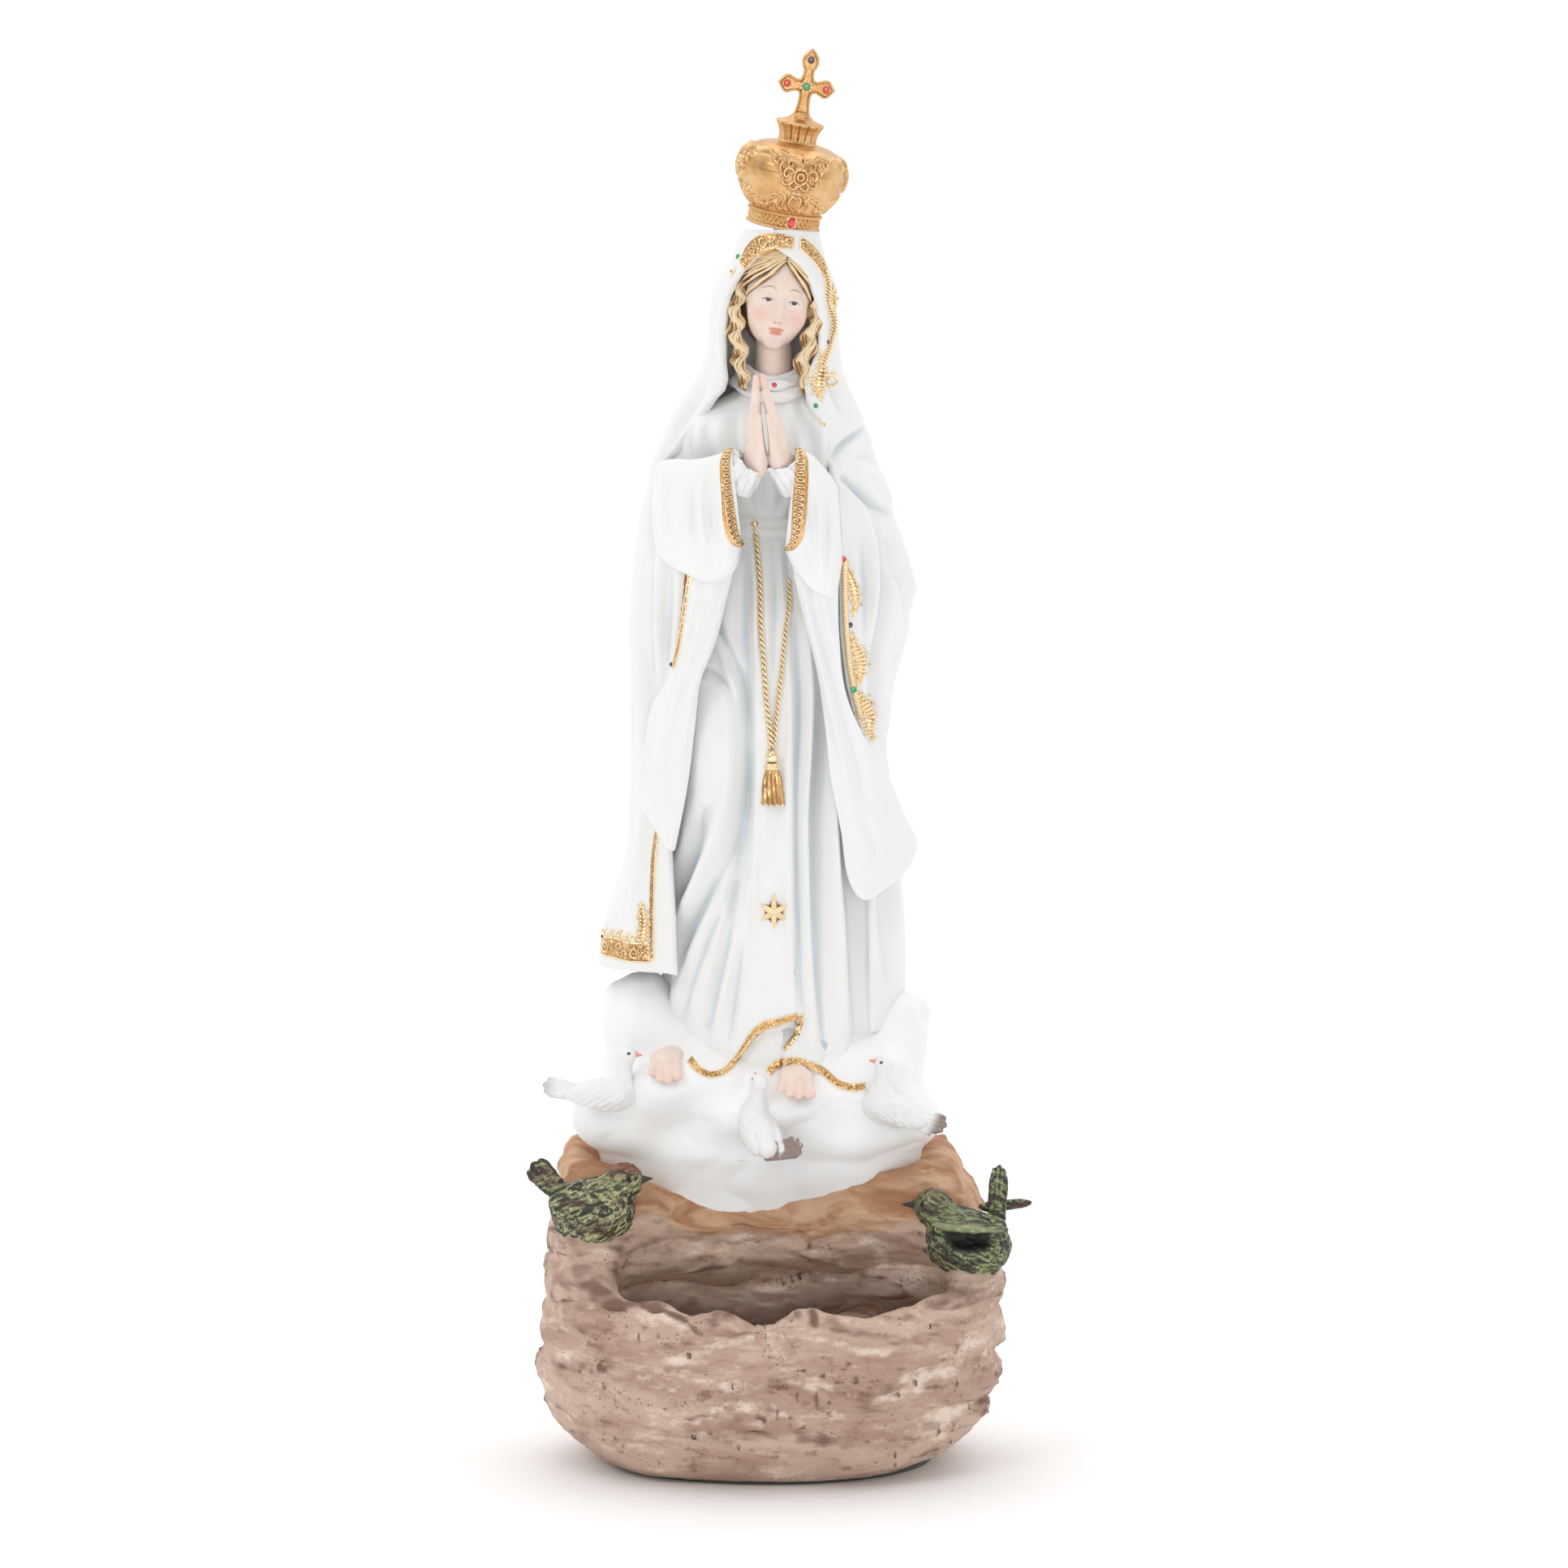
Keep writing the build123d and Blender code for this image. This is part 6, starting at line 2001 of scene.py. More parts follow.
mantle_edge = Shape()
add_strip(mantle_edge, [(-50.6, 281), (-52.2, 270), (-53.0, 257), (-53.2, 245), (-53.2, 234), (-53.2, 224)],
          [(-48.8, 281.5), (-50.2, 270), (-50.9, 257), (-51.1, 245), (-51.2, 234), (-51.2, 224)],
              mantle_only, pricked, 12)
make_piece("mantle_border_left", mantle_edge, "statue", ["mantle_border_left"], TRIM, 3)
mantle_hem = Shape()
add_strip(mantle_hem, [(-75.6, 223.6), (-70, 223.0), (-64, 222.6), (-58, 222.6), (-52.6, 222.8)],
          [(-75.4, 232.0), (-70, 232.0), (-64, 231.6), (-58, 231.4), (-52.4, 231.2)],
              mantle_only, acanthus, 30)
filigree(
    mantle_hem, mantle_only,
    [(-56.4, 232.5, 2.8), (-55.6, 238.0, 3.2), (-56.0, 243.0, 2.6), (-56.6, 247.5, 1.2)], 2.0, 6
)
for spot in np.linspace(-73.5, -60.0, 5):
    leaf(mantle_hem, mantle_only, (spot, 231.0), (spot + 1.6, 235.4), 0.3, 0.9)
    scroll(mantle_hem, mantle_only, (spot + 0.2, 232.2), 1.3, 1.6, 1, 0.42)
make_piece("mantle_hem_border", mantle_hem, "statue", ["mantle_hem_border"], TRIM, 3)

panel_trim_left, panel_trim_right = Shape(), Shape()
add_strip(panel_trim_left, [(-38.2, 394), (-38.5, 385), (-39.6, 374), (-41.2, 363), (-43.2, 352)],
          [(-33.8, 394), (-35.6, 386), (-37.0, 375), (-39.0, 364), (-42.0, 352)],
              cloak, lambda s, t: 0.25 * noise(s + 0 * t, t * 2, 0 * s * t, 1.2, 44), 12)
twisted(panel_trim_right, laid_line([(31.6, 399), (31.7, 385), (32.2, 370), (33.6, 354), (35.9, 341),
    (38.6, 330.5)], mantle_only, 1.2, 0.8, 8), 1.15, 3, 3.8)
filigree(
    panel_trim_right, mantle_only,
    [(32.2, 396.5, 1.3), (34.4, 391.0, 2.2), (36.2, 385.5, 3.0), (36.6, 380.0, 2.2), (36.0, 376.4, 0.9)],
    1.0, 7
)
filigree(
    panel_trim_right, mantle_only,
    [(35.0, 366.5, 1.2), (36.6, 361.0, 2.4), (38.6, 355.5, 3.6), (38.8, 350.0, 3.2), (38.0, 345.6, 1.4)],
    4.0, 7
)
filigree(
    panel_trim_right, mantle_only,
    [(37.6, 339.5, 2.2), (40.6, 335.0, 3.6), (42.6, 330.0, 4.0), (42.6, 325.0, 3.2), (44.6, 320.0, 1.0)],
    6.0, 7
)
make_piece("panel_border_left", panel_trim_left, "statue", ["panel_border_left"], TRIM, 3)
make_piece("panel_border_right", panel_trim_right, "statue", ["panel_border_right"], TRIM, 3)

veil = Shape()
add_strip(veil, [(-13.8, 528.0), (-11.0, 534.0), (-6.4, 539.0), (0.0, 540.6), (7.0, 539.6), (10.4, 538.2)],
          [(-11.4, 524.6), (-8.4, 528.6), (-4.2, 531.4), (0.6, 532.6), (6.0, 533.8), (9.4, 533.6)],
              mantle_only, acanthus, 34)
add_strip(veil, [(12.6, 539.2), (17.4, 536.0), (21.6, 531.0), (24.8, 524.4)],
          [(12.2, 534.0), (15.4, 530.8), (18.8, 527.2), (22.2, 522.0)], mantle_only, acanthus, 24)
EDGE_CORD = [
    (22.8, 524.5), (24.2, 518.5), (24.2, 512), (26.4, 505.5), (27.0, 500.5), (25.2, 493.5), (23.4, 487.6),
    (21.4, 482.6)
]
edge_cord = laid_line(EDGE_CORD, mantle_only, 0.55, 0.8, 6)
twisted(veil, edge_cord + np.array([-0.9, 0, 0]), 0.85, 2, 3.0)
twisted(veil, edge_cord + np.array([0.9, 0.1, 0]), 0.85, 2, 3.0)
filigree(
    veil, mantle_only,
    [(22.6, 488.0, 1.4), (21.6, 482.0, 2.6), (20.6, 477.0, 3.8), (20.8, 472.5, 2.9), (21.6, 469.6, 0.9)],
    3.0, 8
)
leaf(veil, mantle_only, (23.6, 479.6), (29.2, 476.4), 0.25, 1.0)
leaf(veil, mantle_only, (24.4, 474.4), (29.0, 476.6), -0.2, 0.8)
filigree(veil, mantle_only, [(25.8, 518.0, 0.9), (26.9, 513.5, 1.6), (27.2, 509.0, 1.0)], 5.0, 4)
for spots in (
    [(-15.2, 526.0), (-16.6, 523.6), (-17.6, 521.0)], [(20.8, 460.6), (22.6, 457.4), (23.4, 454.2)]
):
    veil.tube(laid_line(spots, mantle_only, 0.25, 0.5), 0.45, 8)
    scroll(veil, mantle_only, spots[1], 0.9, 0.4, 1, 0.3)
make_piece("veil_border", veil, "statue", ["veil_border"], TRIM, 3)


# ---------------------------------------------------------------- cord, tassel and star
cord = Shape()
left_cord = laid_line(
    [(-7.0, 414.5), (-6.0, 398), (-4.6, 377), (-3.2, 352), (-1.6, 332), (0.0, 317.5)], skirt, 0.85, 0.8, 8
)
right_cord = laid_line(
    [(8.2, 390.5), (7.4, 380), (6.0, 366), (4.2, 348), (2.4, 333), (0.9, 317.5)], skirt, 0.85, 0.8, 8
)
twisted(cord, left_cord, 1.12, 2, 5.2)
twisted(cord, right_cord, 0.92, 2, 4.6)
cord.ball(left_cord[0], (1.9, 1.6, 1.9), 14)
make_piece("girdle_cord", cord, "statue", ["girdle_cord"], TRIM, 3)

knot, _ = lay([0.4], [313.6], skirt)
tassel_y = knot[0, 1] - 1.2
tassel = Shape()
tassel.ball((0.4, tassel_y, 313.9), (3.0, 2.9, 3.0), 28)
for height, radius, thick in ((310.3, 2.5, 0.9), (309.0, 3.0, 0.8)):
    turn = np.linspace(0, 2 * np.pi, 40)
    ring = np.stack(
        [0.4 + radius * np.cos(turn), tassel_y + 0.85 * radius * np.sin(turn), np.full(40, height)], axis=1
    )
    tassel.tube(ring, thick, 10, up=(0.01, 0, 1))
fringe_rows, fringe_columns = 60, 150
share = np.linspace(0, 1, fringe_rows)[:, None]
angle = np.linspace(0, 2 * np.pi, fringe_columns, endpoint=False)[None, :]
lean = 0.5 * np.sin(3.2 * share + 2 * angle)
bundles = np.abs(np.sin(5.5 * angle + 1.1 * lean + 0.7 * np.sin(5 * share)))
fine = np.sin(31 * angle + 3 * lean)
radius = (2.8 + 2.9 * share**0.8 - 0.5 * share**3) * (
    1 + 0.30 * (bundles**0.6 - 0.7) * step_up(0.0, 0.3, share) + 0.02 * fine
)
length = 15.8 + 1.1 * (bundles - 0.5)
fringe = np.stack(
    [0.4 + radius * np.cos(angle), tassel_y + 0.72 * radius * np.sin(angle), 308.8 - share * length],
    axis=-1
)
under = fringe[-1] + (fringe[-1].mean(axis=0) - fringe[-1]) * 0.5 + np.array([0, 0, 1.2])
rings = np.concatenate([fringe, under[None]])
total = rings.shape[0] * fringe_columns
tassel.add(
    np.concatenate([rings.reshape(-1, 3), [[0.4, tassel_y, 309.2], under.mean(axis=0)]]),
    grid_faces(rings.shape[0], fringe_columns, closed=True, flip=True),
    fan(np.arange(fringe_columns), total),
    fan(np.arange(fringe_columns) + total - fringe_columns, total + 1, flip=True),
)
make_piece("tassel", tassel, "statue", ["tassel"], TRIM, 3)

star_hit, _ = lay([1.2], [246.2], skirt)
star = Shape()
centre = np.array([1.2, star_hit[0, 1] - 0.3, 246.2])
turn = np.arange(12) * np.pi / 6
reach = np.where(np.arange(12) % 2 == 0, 7.2, 3.7)
reach[[0, 6]] = 8.6
flat = np.stack([-reach * np.sin(turn), 0 * turn, reach * np.cos(turn)], axis=1)
star_points = np.concatenate(
    [centre + flat * 0.98 + [0, 1.6, 0], centre + flat, [centre + [0, -3.2, 0], centre + [0, 1.6, 0]]]
)
star.add(
    star_points, grid_faces(2, 12, closed=True), fan(np.arange(12) + 12, 24),
    fan(np.arange(12), 25, flip=True)
)
star_piece = make_piece("skirt_star", star, "statue", ["skirt_star"], TRIM, 1)
star_piece.data.shade_flat()

# ---------------------------------------------------------------- stones on the cloth
everything = tree_of(
    "mantle", "tunic", "collar", "mantle_panel_left", "mantle_panel_right", "panel_border_right",
    "veil_border"
)


def stones_at(places):
    """Stones of radius 1.4 or so glued on the cloth at (x, z, radius)."""
    hits, normals = lay([p[0] for p in places], [p[1] for p in places], everything)
    return [(hit - 0.1 * normal, normal, place[2], 1.0) for hit, normal, place in zip(hits, normals, places)]


make_stones("stones_red", "statue", ["stones_red"], RED_STONE,
            stones_at([(31.0, 399.6, 1.8), (-38.6, 378.0, 0.8), (1.4, 474.8, 1.2)]))
make_stones("stones_green", "statue", ["stones_green"], GREEN_STONE,
            stones_at([(-14.4, 530.4, 1.3), (19.4, 466.0, 1.2), (36.0, 342.8, 1.45)]))
make_stones("stones_dark", "statue", ["stones_dark"], DARK_STONE,
            stones_at([(-43.6, 353.6, 1.1), (34.4, 371.0, 1.3), (24.6, 493.6, 1.1)]))


# ---------------------------------------------------------------- birds
def bird_turn(heading, pitch=0.0):
    """The matrix that turns a bird facing +X to its heading, nose up for a negative pitch."""
    h, p = math.radians(heading), math.radians(pitch)
    about_y = np.array([[math.cos(p), 0, math.sin(p)], [0, 1, 0], [-math.sin(p), 0, math.cos(p)]])
    about_z = np.array([[math.cos(h), -math.sin(h), 0], [math.sin(h), math.cos(h), 0], [0, 0, 1]])
    return about_z @ about_y


def blade(u, v, w, root, tip, normal, half, thick, arch=0.0):
    """A flat fan of feathers from root to tip, widening as it goes, that faces along its normal."""
    root, tip, normal = np.asarray(root, float), np.asarray(tip, float), np.asarray(normal, float)
    length = np.linalg.norm(tip - root)
    ahead = (tip - root) / length
    normal = normal - ahead * (normal @ ahead)
    normal /= np.linalg.norm(normal)
    side = np.cross(ahead, normal)
    du, dv, dw = u - root[0], v - root[1], w - root[2]
    along = du * ahead[0] + dv * ahead[1] + dw * ahead[2]
    above = du * normal[0] + dv * normal[1] + dw * normal[2]
    across = du * side[0] + dv * side[1] + dw * side[2]
    share = np.clip(along / length, 0, 1)
    wide = half[0] + (half[1] - half[0]) * share**0.8
    spread = across / wide
    reach = length * (1 - 0.16 * spread * spread) + 0.5 * np.cos(9 * spread)
    middle = 0.5 * reach
    edge = np.hypot(np.maximum(np.abs(across) - wide, 0), np.maximum(np.abs(along - middle) - middle, 0))
    pleat = 0.35 * share * np.cos(12 * spread)
    return np.hypot(edge, np.maximum(np.abs(above + arch * across * across + pleat) - thick, 0)) - 0.45


def dove_field(u, v, w):
    a = np.abs(v)
    body = ellipsoid(u, v, w, (-0.5, 0, -0.5), (12.5, 7.0, 6.8), turn_matrix(roll=-10))
    breast = ellipsoid(u, v, w, (5.5, 0, 1.0), (7.0, 6.3, 7.2))
    bird = round_join(body, breast, 3.0)
    bird = round_join(bird, capsule(u, v, w, (7.0, 0, 4.0), (10.4, 0, 14.2), 4.6, 3.0), 3.2)
    bird = round_join(bird, ellipsoid(u, v, w, (11.2, 0, 16.6), (4.3, 3.6, 3.7)), 1.5)
    bird = round_join(bird, capsule(u, v, w, (14.6, 0, 16.3), (17.5, 0, 15.5), 1.15, 0.45), 0.7)
    bird = round_join(bird, ellipsoid(u, v, w, (-4.0, 0, 2.6), (10.5, 6.0, 5.4)), 1.5)
    wing = ellipsoid(u, a, w, (-4.0, 5.7, 0.9), (13.5, 2.4, 5.2), turn_matrix(roll=-8))
    return round_join(bird, wing, 0.8)


def left_dove_field(u, v, w):
    tail = blade(u, v, w, (-8.5, 0, 1.0), (-27.5, 0, 7.5), (0, -0.8, 0.6), (2.6, 4.8), 0.7)
    wingtips = capsule(u, np.abs(v), w, (-10, 4.0, 1.0), (-20, 2.6, 3.4), 2.2, 0.8)
    return round_join(round_join(dove_field(u, v, w), tail, 1.5), wingtips, 1.0)


def middle_dove_field(u, v, w):
    tail = blade(u, v, w, MIDDLE_FAN[0], MIDDLE_FAN[1], MIDDLE_FAN[2], (2.6, 4.8), 0.5)
    rump = capsule(u, v, w, (-5.0, 0, 1.0), (-13.5, 0, 1.8), 6.0, 4.6)
    return round_join(round_join(dove_field(u, v, w), rump, 1.5), tail, 0.9)


def right_dove_field(u, v, w):
    tail = blade(u, v, w, (-8.5, 0, 1.0), (-24.5, 0, 4.5), (0, 0.75, 0.65), (2.6, 5.0), 0.7)
    wingtips = capsule(u, np.abs(v), w, (-10, 4.0, 0.0), (-20, 3.2, -1.6), 2.2, 0.8)
    return round_join(round_join(dove_field(u, v, w), tail, 1.5), wingtips, 1.0)


def wren_field(u, v, w, head, beak):
    """A plump wren without wings and tail; its feet merge into the moss below."""
    hu, hw = head
    body = ellipsoid(u, v, w, (-1.5, 0, -2.0), (17.5, 13.2, 14.6))
    breast = ellipsoid(u, v, w, (6.5, 0, -0.5), (11.5, 11.5, 13.0))
    neck = capsule(u, v, w, (5.0, 0, 3.0), (hu - 1.5, 0, hw - 2.5), 10.5, 7.6)
    bird = round_join(round_join(body, breast, 4.0), neck, 4.0)
    bird = round_join(bird, ellipsoid(u, v, w, (hu, 0, hw), (8.2, 7.2, 7.4)), 3.0)
    bird = round_join(bird, capsule(u, v, w, (hu + 6.6, 0, hw + 0.2), (beak[0], 0, beak[1]), 2.2, 0.5), 1.2)
    return round_join(bird, capsule(u, v, w, (0.0, 0, -10.0), (0.0, 0, -17.0), 9.5, 8.5), 3.0)


def left_wren_field(u, v, w):
    wing = ellipsoid(u, np.abs(v), w, (-3.5, 11.2, 1.5), (14.0, 3.4, 8.6), turn_matrix(roll=-14))
    bird = round_join(wren_field(u, v, w, (14.0, 13.0), (26.6, 14.0)), wing, 1.2)
    tail = blade(u, v, w, (-14.5, 0, 5.0), (-27.5, 0, 18.0), (0.2, -1, 0.2), (3.4, 6.0), 1.3)
    return round_join(bird, tail, 1.8)


def under_wing(u, v, w):
    return ellipsoid(u, v, w, (-3.5, 19.0, 2.6), (16.0, 10.5, 5.2))


def right_wren_field(u, v, w):
    near_wing = ellipsoid(u, v, w, (-3.0, 16.0, 9.0), (17.5, 9.5, 1.7), turn_matrix(roll=3, pitch=4))
    far_wing = ellipsoid(u, v, w, (-14.5, -8.0, 14.5), (12.5, 3.8, 2.6), turn_matrix(roll=-8))
    under = under_wing(u, v, w)
    bird = round_cut(wren_field(u, v, w, (15.8, 14.6), (29.4, 14.6)), under, 1.0)
    bird = round_join(round_join(bird, near_wing, 0.6), far_wing, 1.0)
    tail = blade(u, v, w, (-12.0, 0, 6.0), (-13.5, 0, 33.0), (0.1, 1, 0.1), (3.6, 3.8), 1.3)
    return round_join(bird, tail, 1.8)


def flow(u, w, slope):
    """Distances along and across feathers that lie back and down."""
    lean = math.radians(slope)
    return u * math.cos(lean) + w * math.sin(lean), w * math.cos(lean) - u * math.sin(lean)


def ridged(along, v, across, size, stretch, seed):
    """Fine ridges drawn out along the feathers."""
    return 1 - 2.4 * np.abs(noise(along * stretch, v, across, size, seed))


def dove_relief(u, v, w):
    back = step_up(6, 0, u)
    tail = step_up(-9, -12, u)
    wing = step_up(3.2, 5.0, np.abs(v)) * step_up(-15, -11, u) * back
    quills = np.sin(2.6 * (w - 0.42 * u))
    along, across = flow(u, w, 12)
    down = 0.20 * ridged(along, v, across, 1.1, 0.35, 91) * step_up(9, 4, w - 0.4 * u)
    return 0.20 * wing * quills + down * (1 - 0.5 * tail) + 0.08 * noise(u, v, w, 0.9, 92)


def wren_relief(u, v, w):
    head = step_up(7, 12, w) * step_up(2, 8, u)
    beak = step_up(20.5, 22.0, u)
    along, across = flow(u, w, 28)
    tips = np.clip(noise(along * 0.45, v, across, 3.6, 93), -0.2, 1)
    shaggy = 1.7 * tips + 0.75 * ridged(
        along, v, across, 2.4, 0.30, 94
    ) + 0.35 * ridged(along, v, across, 1.1, 0.3, 95)
    fine = 0.34 * ridged(along, v, across, 1.5, 0.35, 96) + 0.25 * noise(along * 0.5, v, across, 1.6, 97)
    tail = np.clip(step_up(-15, -18, u) + step_up(15, 19, w) * step_up(4, -4, u), 0, 1)
    relief = shaggy + (fine - shaggy) * np.clip(head + 0.75 * tail, 0, 1)
    return 0.62 * relief * (1 - beak)


def make_bird(name, at, turn, field, relief, box, voxel, material, masks):
    """A bird sculpted in its own frame, given feathers and set in place."""
    low, high = box
    points, faces = gather(sculpt(field, low, high, voxel))
    points = relax(points, faces, 2, 0.4)
    normals = normals_of(points, faces)
    points = points + normals * relief(*points.T)[:, None]
    placed = Shape().add(points @ turn.T + np.asarray(at), faces)
    piece = make_piece(name, placed, "statue", [name], material, 5)
    for key, mask in masks(*points.T).items():
        add_values(piece, key, mask)


def dove_masks(tail_from, tail_to, amount):
    """Masks for a dove whose tail colour runs from one length to another."""

    def masks(u, v, w):
        eye = np.sqrt((u - 12.7) ** 2 + (np.abs(v) - 3.1) ** 2 + (w - 17.3) ** 2)
        return {
            "beak": step_up(14.9, 15.5, u) * (w > 12),
            "eye": step_up(0.85, 0.6, eye),
            "tail": amount * step_up(tail_from, tail_to, u),
        }

    return masks


def middle_masks(u, v, w):
    """The middle dove's fan is brown all over."""
    masks = dove_masks(-15, -21, 0)(u, v, w)
    fan_blade = blade(u, v, w, MIDDLE_FAN[0], MIDDLE_FAN[1], MIDDLE_FAN[2], (2.6, 4.8), 0.5)
    masks["tail"] = step_up(0.9, 0.5, fan_blade) * step_up(0.3, 1.0, dove_field(u, v, w))
    return masks


def wren_masks(head, glue, shaded=None):
    """Masks for a wren with its head and a drop of glue at (u, w)."""

    def masks(u, v, w):
        eye = np.sqrt((u - head[0] - 3.6) ** 2 + (np.abs(v) - 6.2) ** 2 + (w - head[1] - 1.2) ** 2)
        crest = step_up(head[1] + 0.5, head[1] + 5.0, w) * step_up(2, 9, u)
        drop = np.hypot(u - glue[0], w - glue[1]) + 1.2 * noise(u, v, w, 3, 98)
        shade = 0 * u
        ledge = 0 * u
        if shaded is not None:
            shade = step_up(2.0, 0.2, shaded(u, v, w)) * step_up(8.6, 7.6, w)
            # painted highlight on the top of the near wing's ledge
            ledge = step_up(17.0, 20.0, v) * step_up(7.4, 8.6, w)
        return {
            "beak": step_up(head[0] + 7.6, head[0] + 8.8, u),
            "eye": step_up(1.5, 1.0, eye),
            "crest": crest,
            "glue": step_up(3.4, 2.8, drop),
            "shade": shade,
            "ledge": ledge,
        }

    return masks


def attribute_of(paint, name):
    return paint.node("ShaderNodeAttribute", attribute_name=name).outputs["Fac"]


def dove_paint():
    """White doves with grey painted shade in the creases, coral beaks, black eyes and a grey-brown wash on
    the tail tips.
    """
    paint = Paint("dove")
    colour = paint.mix(paint.range(paint.noise(4), 0.3, 0.7), (0.83, 0.825, 0.82), (0.86, 0.855, 0.85))
    # painted shade: grey in the creases
    colour = paint.mix(paint.cavity(0.54, 0.80), colour, (0.58, 0.55, 0.53))
    tail = paint.maths(
        "MULTIPLY", attribute_of(paint, "tail"),
        paint.range(paint.noise(1.2, stretch=(1, 1, 0.6)), 0.22, 0.42)
    )
    colour = paint.mix(tail, colour, (0.27, 0.21, 0.18))
    colour = paint.mix(attribute_of(paint, "beak"), colour, (0.82, 0.30, 0.25))
    colour = paint.mix(attribute_of(paint, "eye"), colour, (0.02, 0.02, 0.02))
    paint.bump(paint.noise(0.7), 0.03)
    return paint.finish(colour, Roughness=0.45)


def wren_paint(name, low, high, crest):
    """Moss green brushed over near-black feathers, with maroon streaks, a painted shadow under the wing and a
    painted highlight on the wing's ledge.
    """
    paint = Paint(name)
    streaks = paint.noise(3.4, detail=6.0, rough=0.7, stretch=(0.5, 1, 1), distortion=0.9)
    fine = paint.noise(0.9, detail=4.0, rough=0.7)
    brushed = paint.mix(paint.range(fine, 0.35, 0.65), low, high)
    raised = paint.cavity(0.585, 0.46)
    cover = paint.maths("MULTIPLY", paint.range(streaks, 0.40, 0.54), raised)
    colour = paint.mix(cover, (0.030, 0.032, 0.026), brushed)
    maroon = paint.range(paint.noise(7, detail=4.0, stretch=(0.4, 1, 1)), 0.54, 0.64)
    colour = paint.mix(paint.maths("MULTIPLY", maroon, 0.6), colour, (0.085, 0.034, 0.030))
    reddish = paint.maths("MULTIPLY", attribute_of(paint, "crest"), crest)
    reddish = paint.maths("MULTIPLY", reddish, paint.range(streaks, 0.38, 0.56))
    colour = paint.mix(reddish, colour, (0.25, 0.055, 0.04))
    colour = paint.mix(
        paint.maths("MULTIPLY", attribute_of(paint, "shade"), 0.97), colour, (0.012, 0.012, 0.012)
    )
    # painted highlight: lighter green on the wing ledge's rim
    colour = paint.mix(paint.maths("MULTIPLY", attribute_of(paint, "ledge"), 0.4), colour, high)
    colour = paint.mix(attribute_of(paint, "glue"), colour, (0.72, 0.71, 0.69))
    colour = paint.mix(attribute_of(paint, "beak"), colour, (0.05, 0.045, 0.04))
    colour = paint.mix(attribute_of(paint, "eye"), colour, (0.004, 0.004, 0.004))
    paint.bump(fine, 0.25, 0.8)
    rough = paint.range(streaks, 0.3, 0.7, 0.40, 0.62)
    return paint.finish(colour, Roughness=rough, Specular_IOR_Level=0.4)


DOVE = dove_paint()
MIDDLE_TURN = bird_turn(112, -42)
MIDDLE_AT = np.array([-6.0, -40.0, 154.0])
MIDDLE_FAN = [
    (point - MIDDLE_AT) @ MIDDLE_TURN for point in np.array([[-2.6, -50.0, 143.6], [13.0, -52.5, 147.8]])
]
MIDDLE_FAN.append(np.array([0.15, -1.0, 0.30]) @ MIDDLE_TURN)
DOVE_BOX = ((-30, -16, -16), (20, 18, 23))
for name, at, turn, field, masks in (
    ("dove_left", (-71.5, -28.0, 166.0), bird_turn(-10, -8), left_dove_field, dove_masks(-21, -28, 0.45)),
    ("dove_middle", MIDDLE_AT, MIDDLE_TURN, middle_dove_field, middle_masks),
    ("dove_right", (52.0, -31.0, 160.0), bird_turn(176, -26), right_dove_field, dove_masks(-17, -22, 1.0)),
):
    make_bird(name, at, turn, field, dove_relief, DOVE_BOX, 0.42, DOVE, masks)
WREN_BOX = ((-33, -22, -22), (32, 27, 38))
OLIVE = wren_paint("wren_olive", (0.27, 0.27, 0.125), (0.66, 0.65, 0.35), 0.7)
GREEN = wren_paint("wren_green", (0.13, 0.17, 0.072), (0.47, 0.51, 0.25), 0.2)
make_bird("wren_left", (-77.5, -38.0, 118.0), bird_turn(-14), left_wren_field, wren_relief, WREN_BOX, 0.55,
          OLIVE, wren_masks((14.0, 13.0), (-11.0, -15.5)))
make_bird("wren_right", (86.0, -40.0, 104.0), bird_turn(168), right_wren_field, wren_relief, WREN_BOX, 0.55,
          GREEN, wren_masks((15.8, 14.6), (11.0, -18.0), under_wing))


# ---------------------------------------------------------------- felt foot and crown dowel
def felt_paint():
    """Short grey-green fibres."""
    paint = Paint("felt")
    fibres = paint.noise(0.6, detail=6.0, rough=0.8)
    colour = paint.mix(paint.range(fibres, 0.3, 0.7), (0.05, 0.055, 0.05), (0.12, 0.125, 0.115))
    paint.bump(fibres, 0.3)
    return paint.finish(colour, Roughness=0.95, Sheen_Weight=0.4)


for name, material in (("base_felt", felt_paint()), ("crown_peg", WHITE)):
    node = NODES[name]
    node.data.materials.clear()
    node.data.materials.append(material)


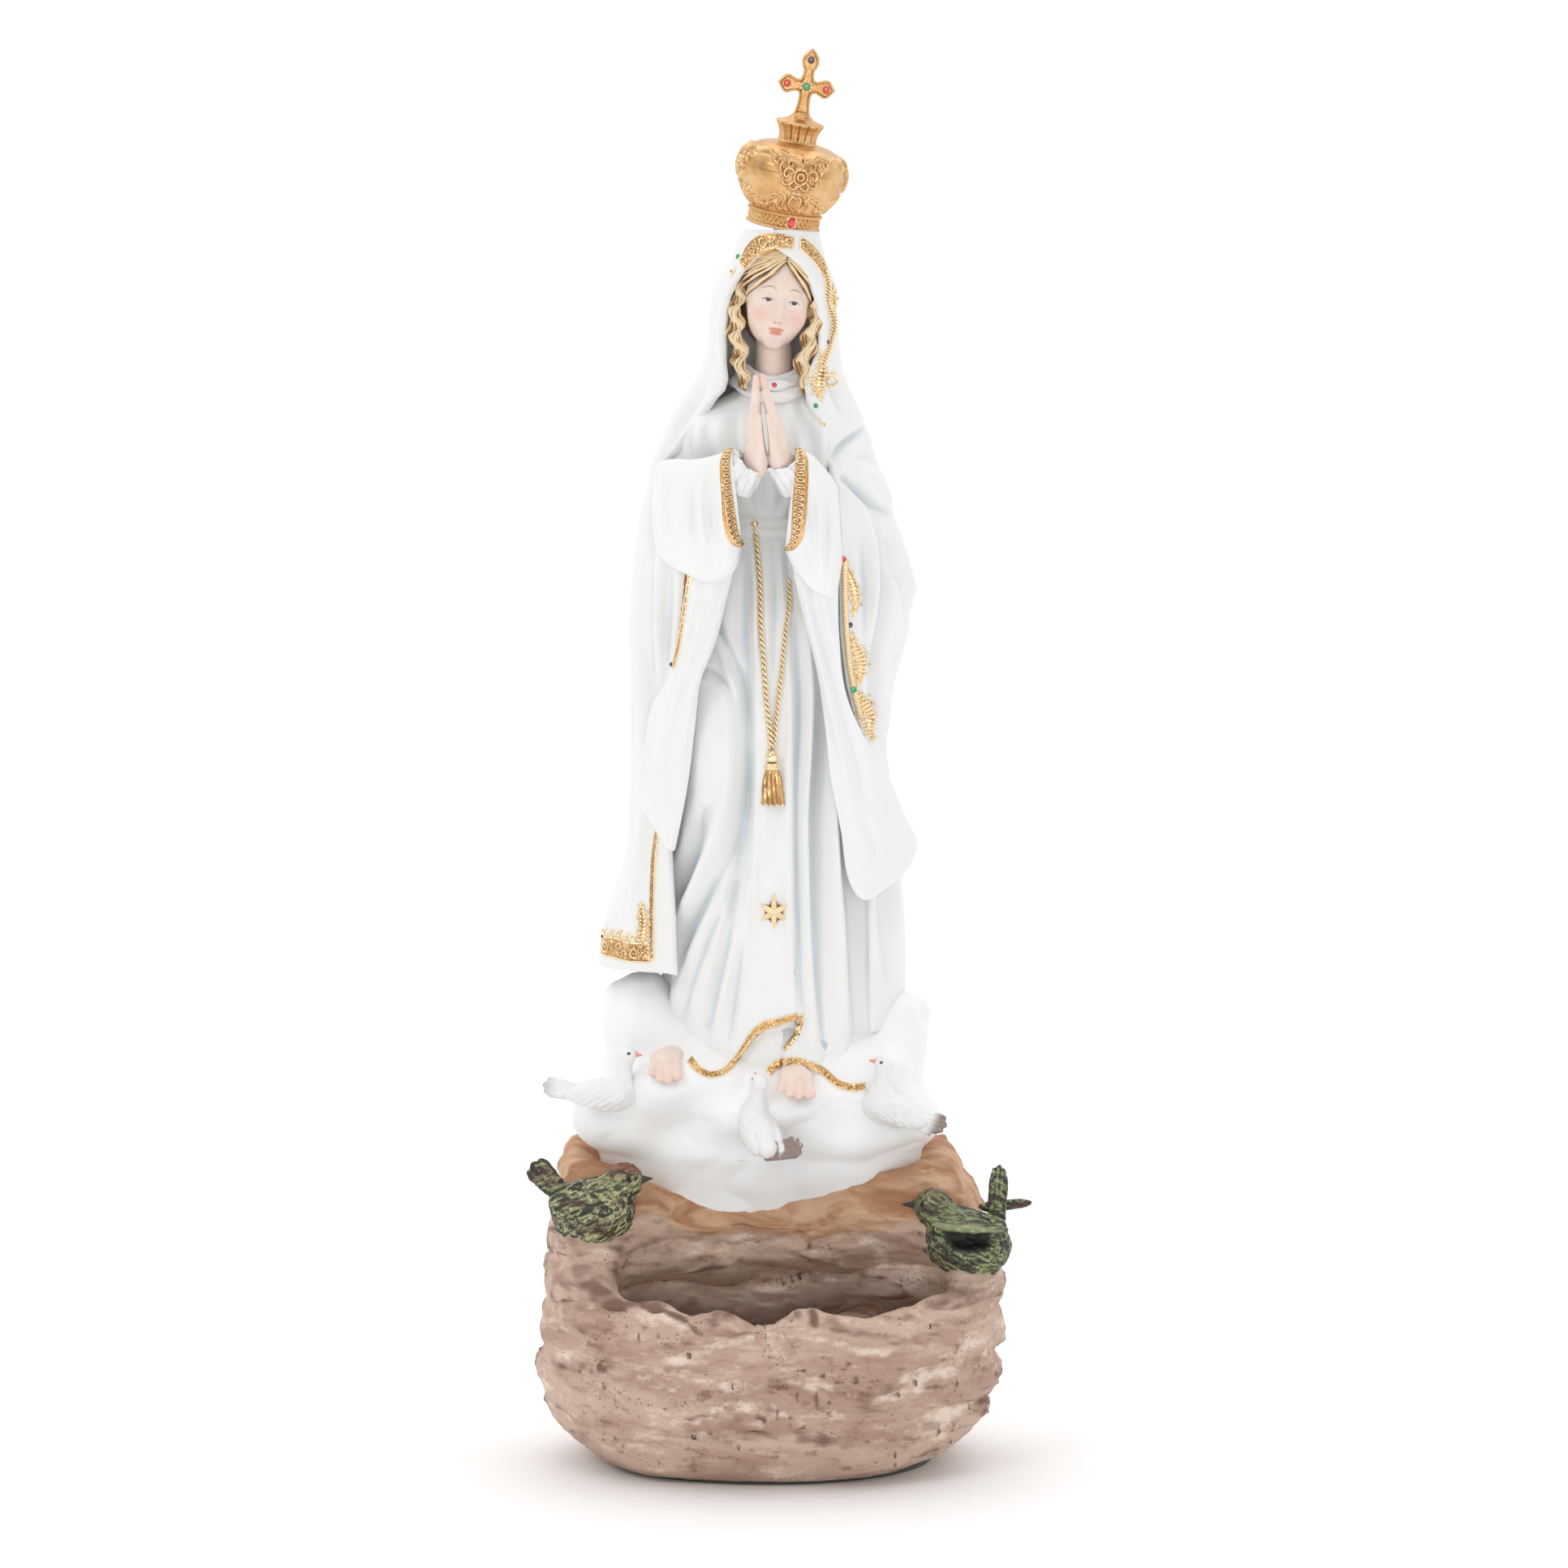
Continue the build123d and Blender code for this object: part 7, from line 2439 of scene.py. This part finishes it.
# ---------------------------------------------------------------- floor, light and camera
def set_stage():
    """A pale flat floor, large soft lights, a wide sun overhead and the camera."""
    floor = bpy.data.meshes.new("floor")
    floor.from_pydata([(-4, -4, 0), (4, -4, 0), (4, 4, 0), (-4, 4, 0)], [], [(0, 1, 2, 3)])
    stage = bpy.data.objects.new("floor", floor)
    bpy.context.scene.collection.objects.link(stage)
    paint = Paint("floor")
    floor.materials.append(
        paint.finish(paint.mix(paint.noise(90), (0.93, 0.93, 0.93), (0.95, 0.95, 0.95)), Roughness=0.8)
    )

    world = bpy.data.worlds.new("studio")
    world.use_nodes = True
    nodes, links = world.node_tree.nodes, world.node_tree.links
    background = nodes["Background"]
    background.inputs["Color"].default_value = (1, 1, 1, 1)
    parts = nodes.new("ShaderNodeSeparateXYZ")
    spread = nodes.new("ShaderNodeMapRange")
    spread.interpolation_type = "SMOOTHSTEP"
    for index, value in zip((1, 2, 3, 4), (-0.6, 0.2, 0.27, 1.05)):
        spread.inputs[index].default_value = value
    links.new(nodes.new("ShaderNodeTexCoord").outputs["Generated"], parts.inputs[0])
    links.new(parts.outputs["Y"], spread.inputs[0])
    links.new(spread.outputs[0], background.inputs["Strength"])
    bpy.context.scene.world = world
    for name, place, size, power in (
        ("key", (-1.2, -1.5, 1.5), 0.75, 8.6),
        ("fill", (1.4, -1.4, 0.8), 0.9, 3.5),
        ("front", (0.1, -2.6, 0.75), 0.8, 8.0),
    ):
        lamp = bpy.data.lights.new(name, "AREA")
        lamp.size = size
        lamp.energy = power
        holder = bpy.data.objects.new(name, lamp)
        holder.location = place
        holder.rotation_euler = (Vector((0, 0, 0.3)) - Vector(place)).to_track_quat("-Z", "Y").to_euler()
        bpy.context.scene.collection.objects.link(holder)

    overhead = bpy.data.lights.new("overhead", "SUN")
    overhead.energy = 1.0
    overhead.angle = math.radians(80)
    bpy.context.scene.collection.objects.link(bpy.data.objects.new("overhead", overhead))

    camera = bpy.data.cameras.new("camera")
    camera.lens = 115.4
    camera.sensor_width = 36
    camera.clip_end = 30
    view = bpy.data.objects.new("camera", camera)
    view.location = (0.0056, -2.2, 0.52)
    view.rotation_euler = (math.radians(90 - 5.718), 0, 0)
    bpy.context.scene.collection.objects.link(view)
    bpy.context.scene.camera = view
    bpy.context.scene.view_settings.view_transform = "Standard"


set_stage()
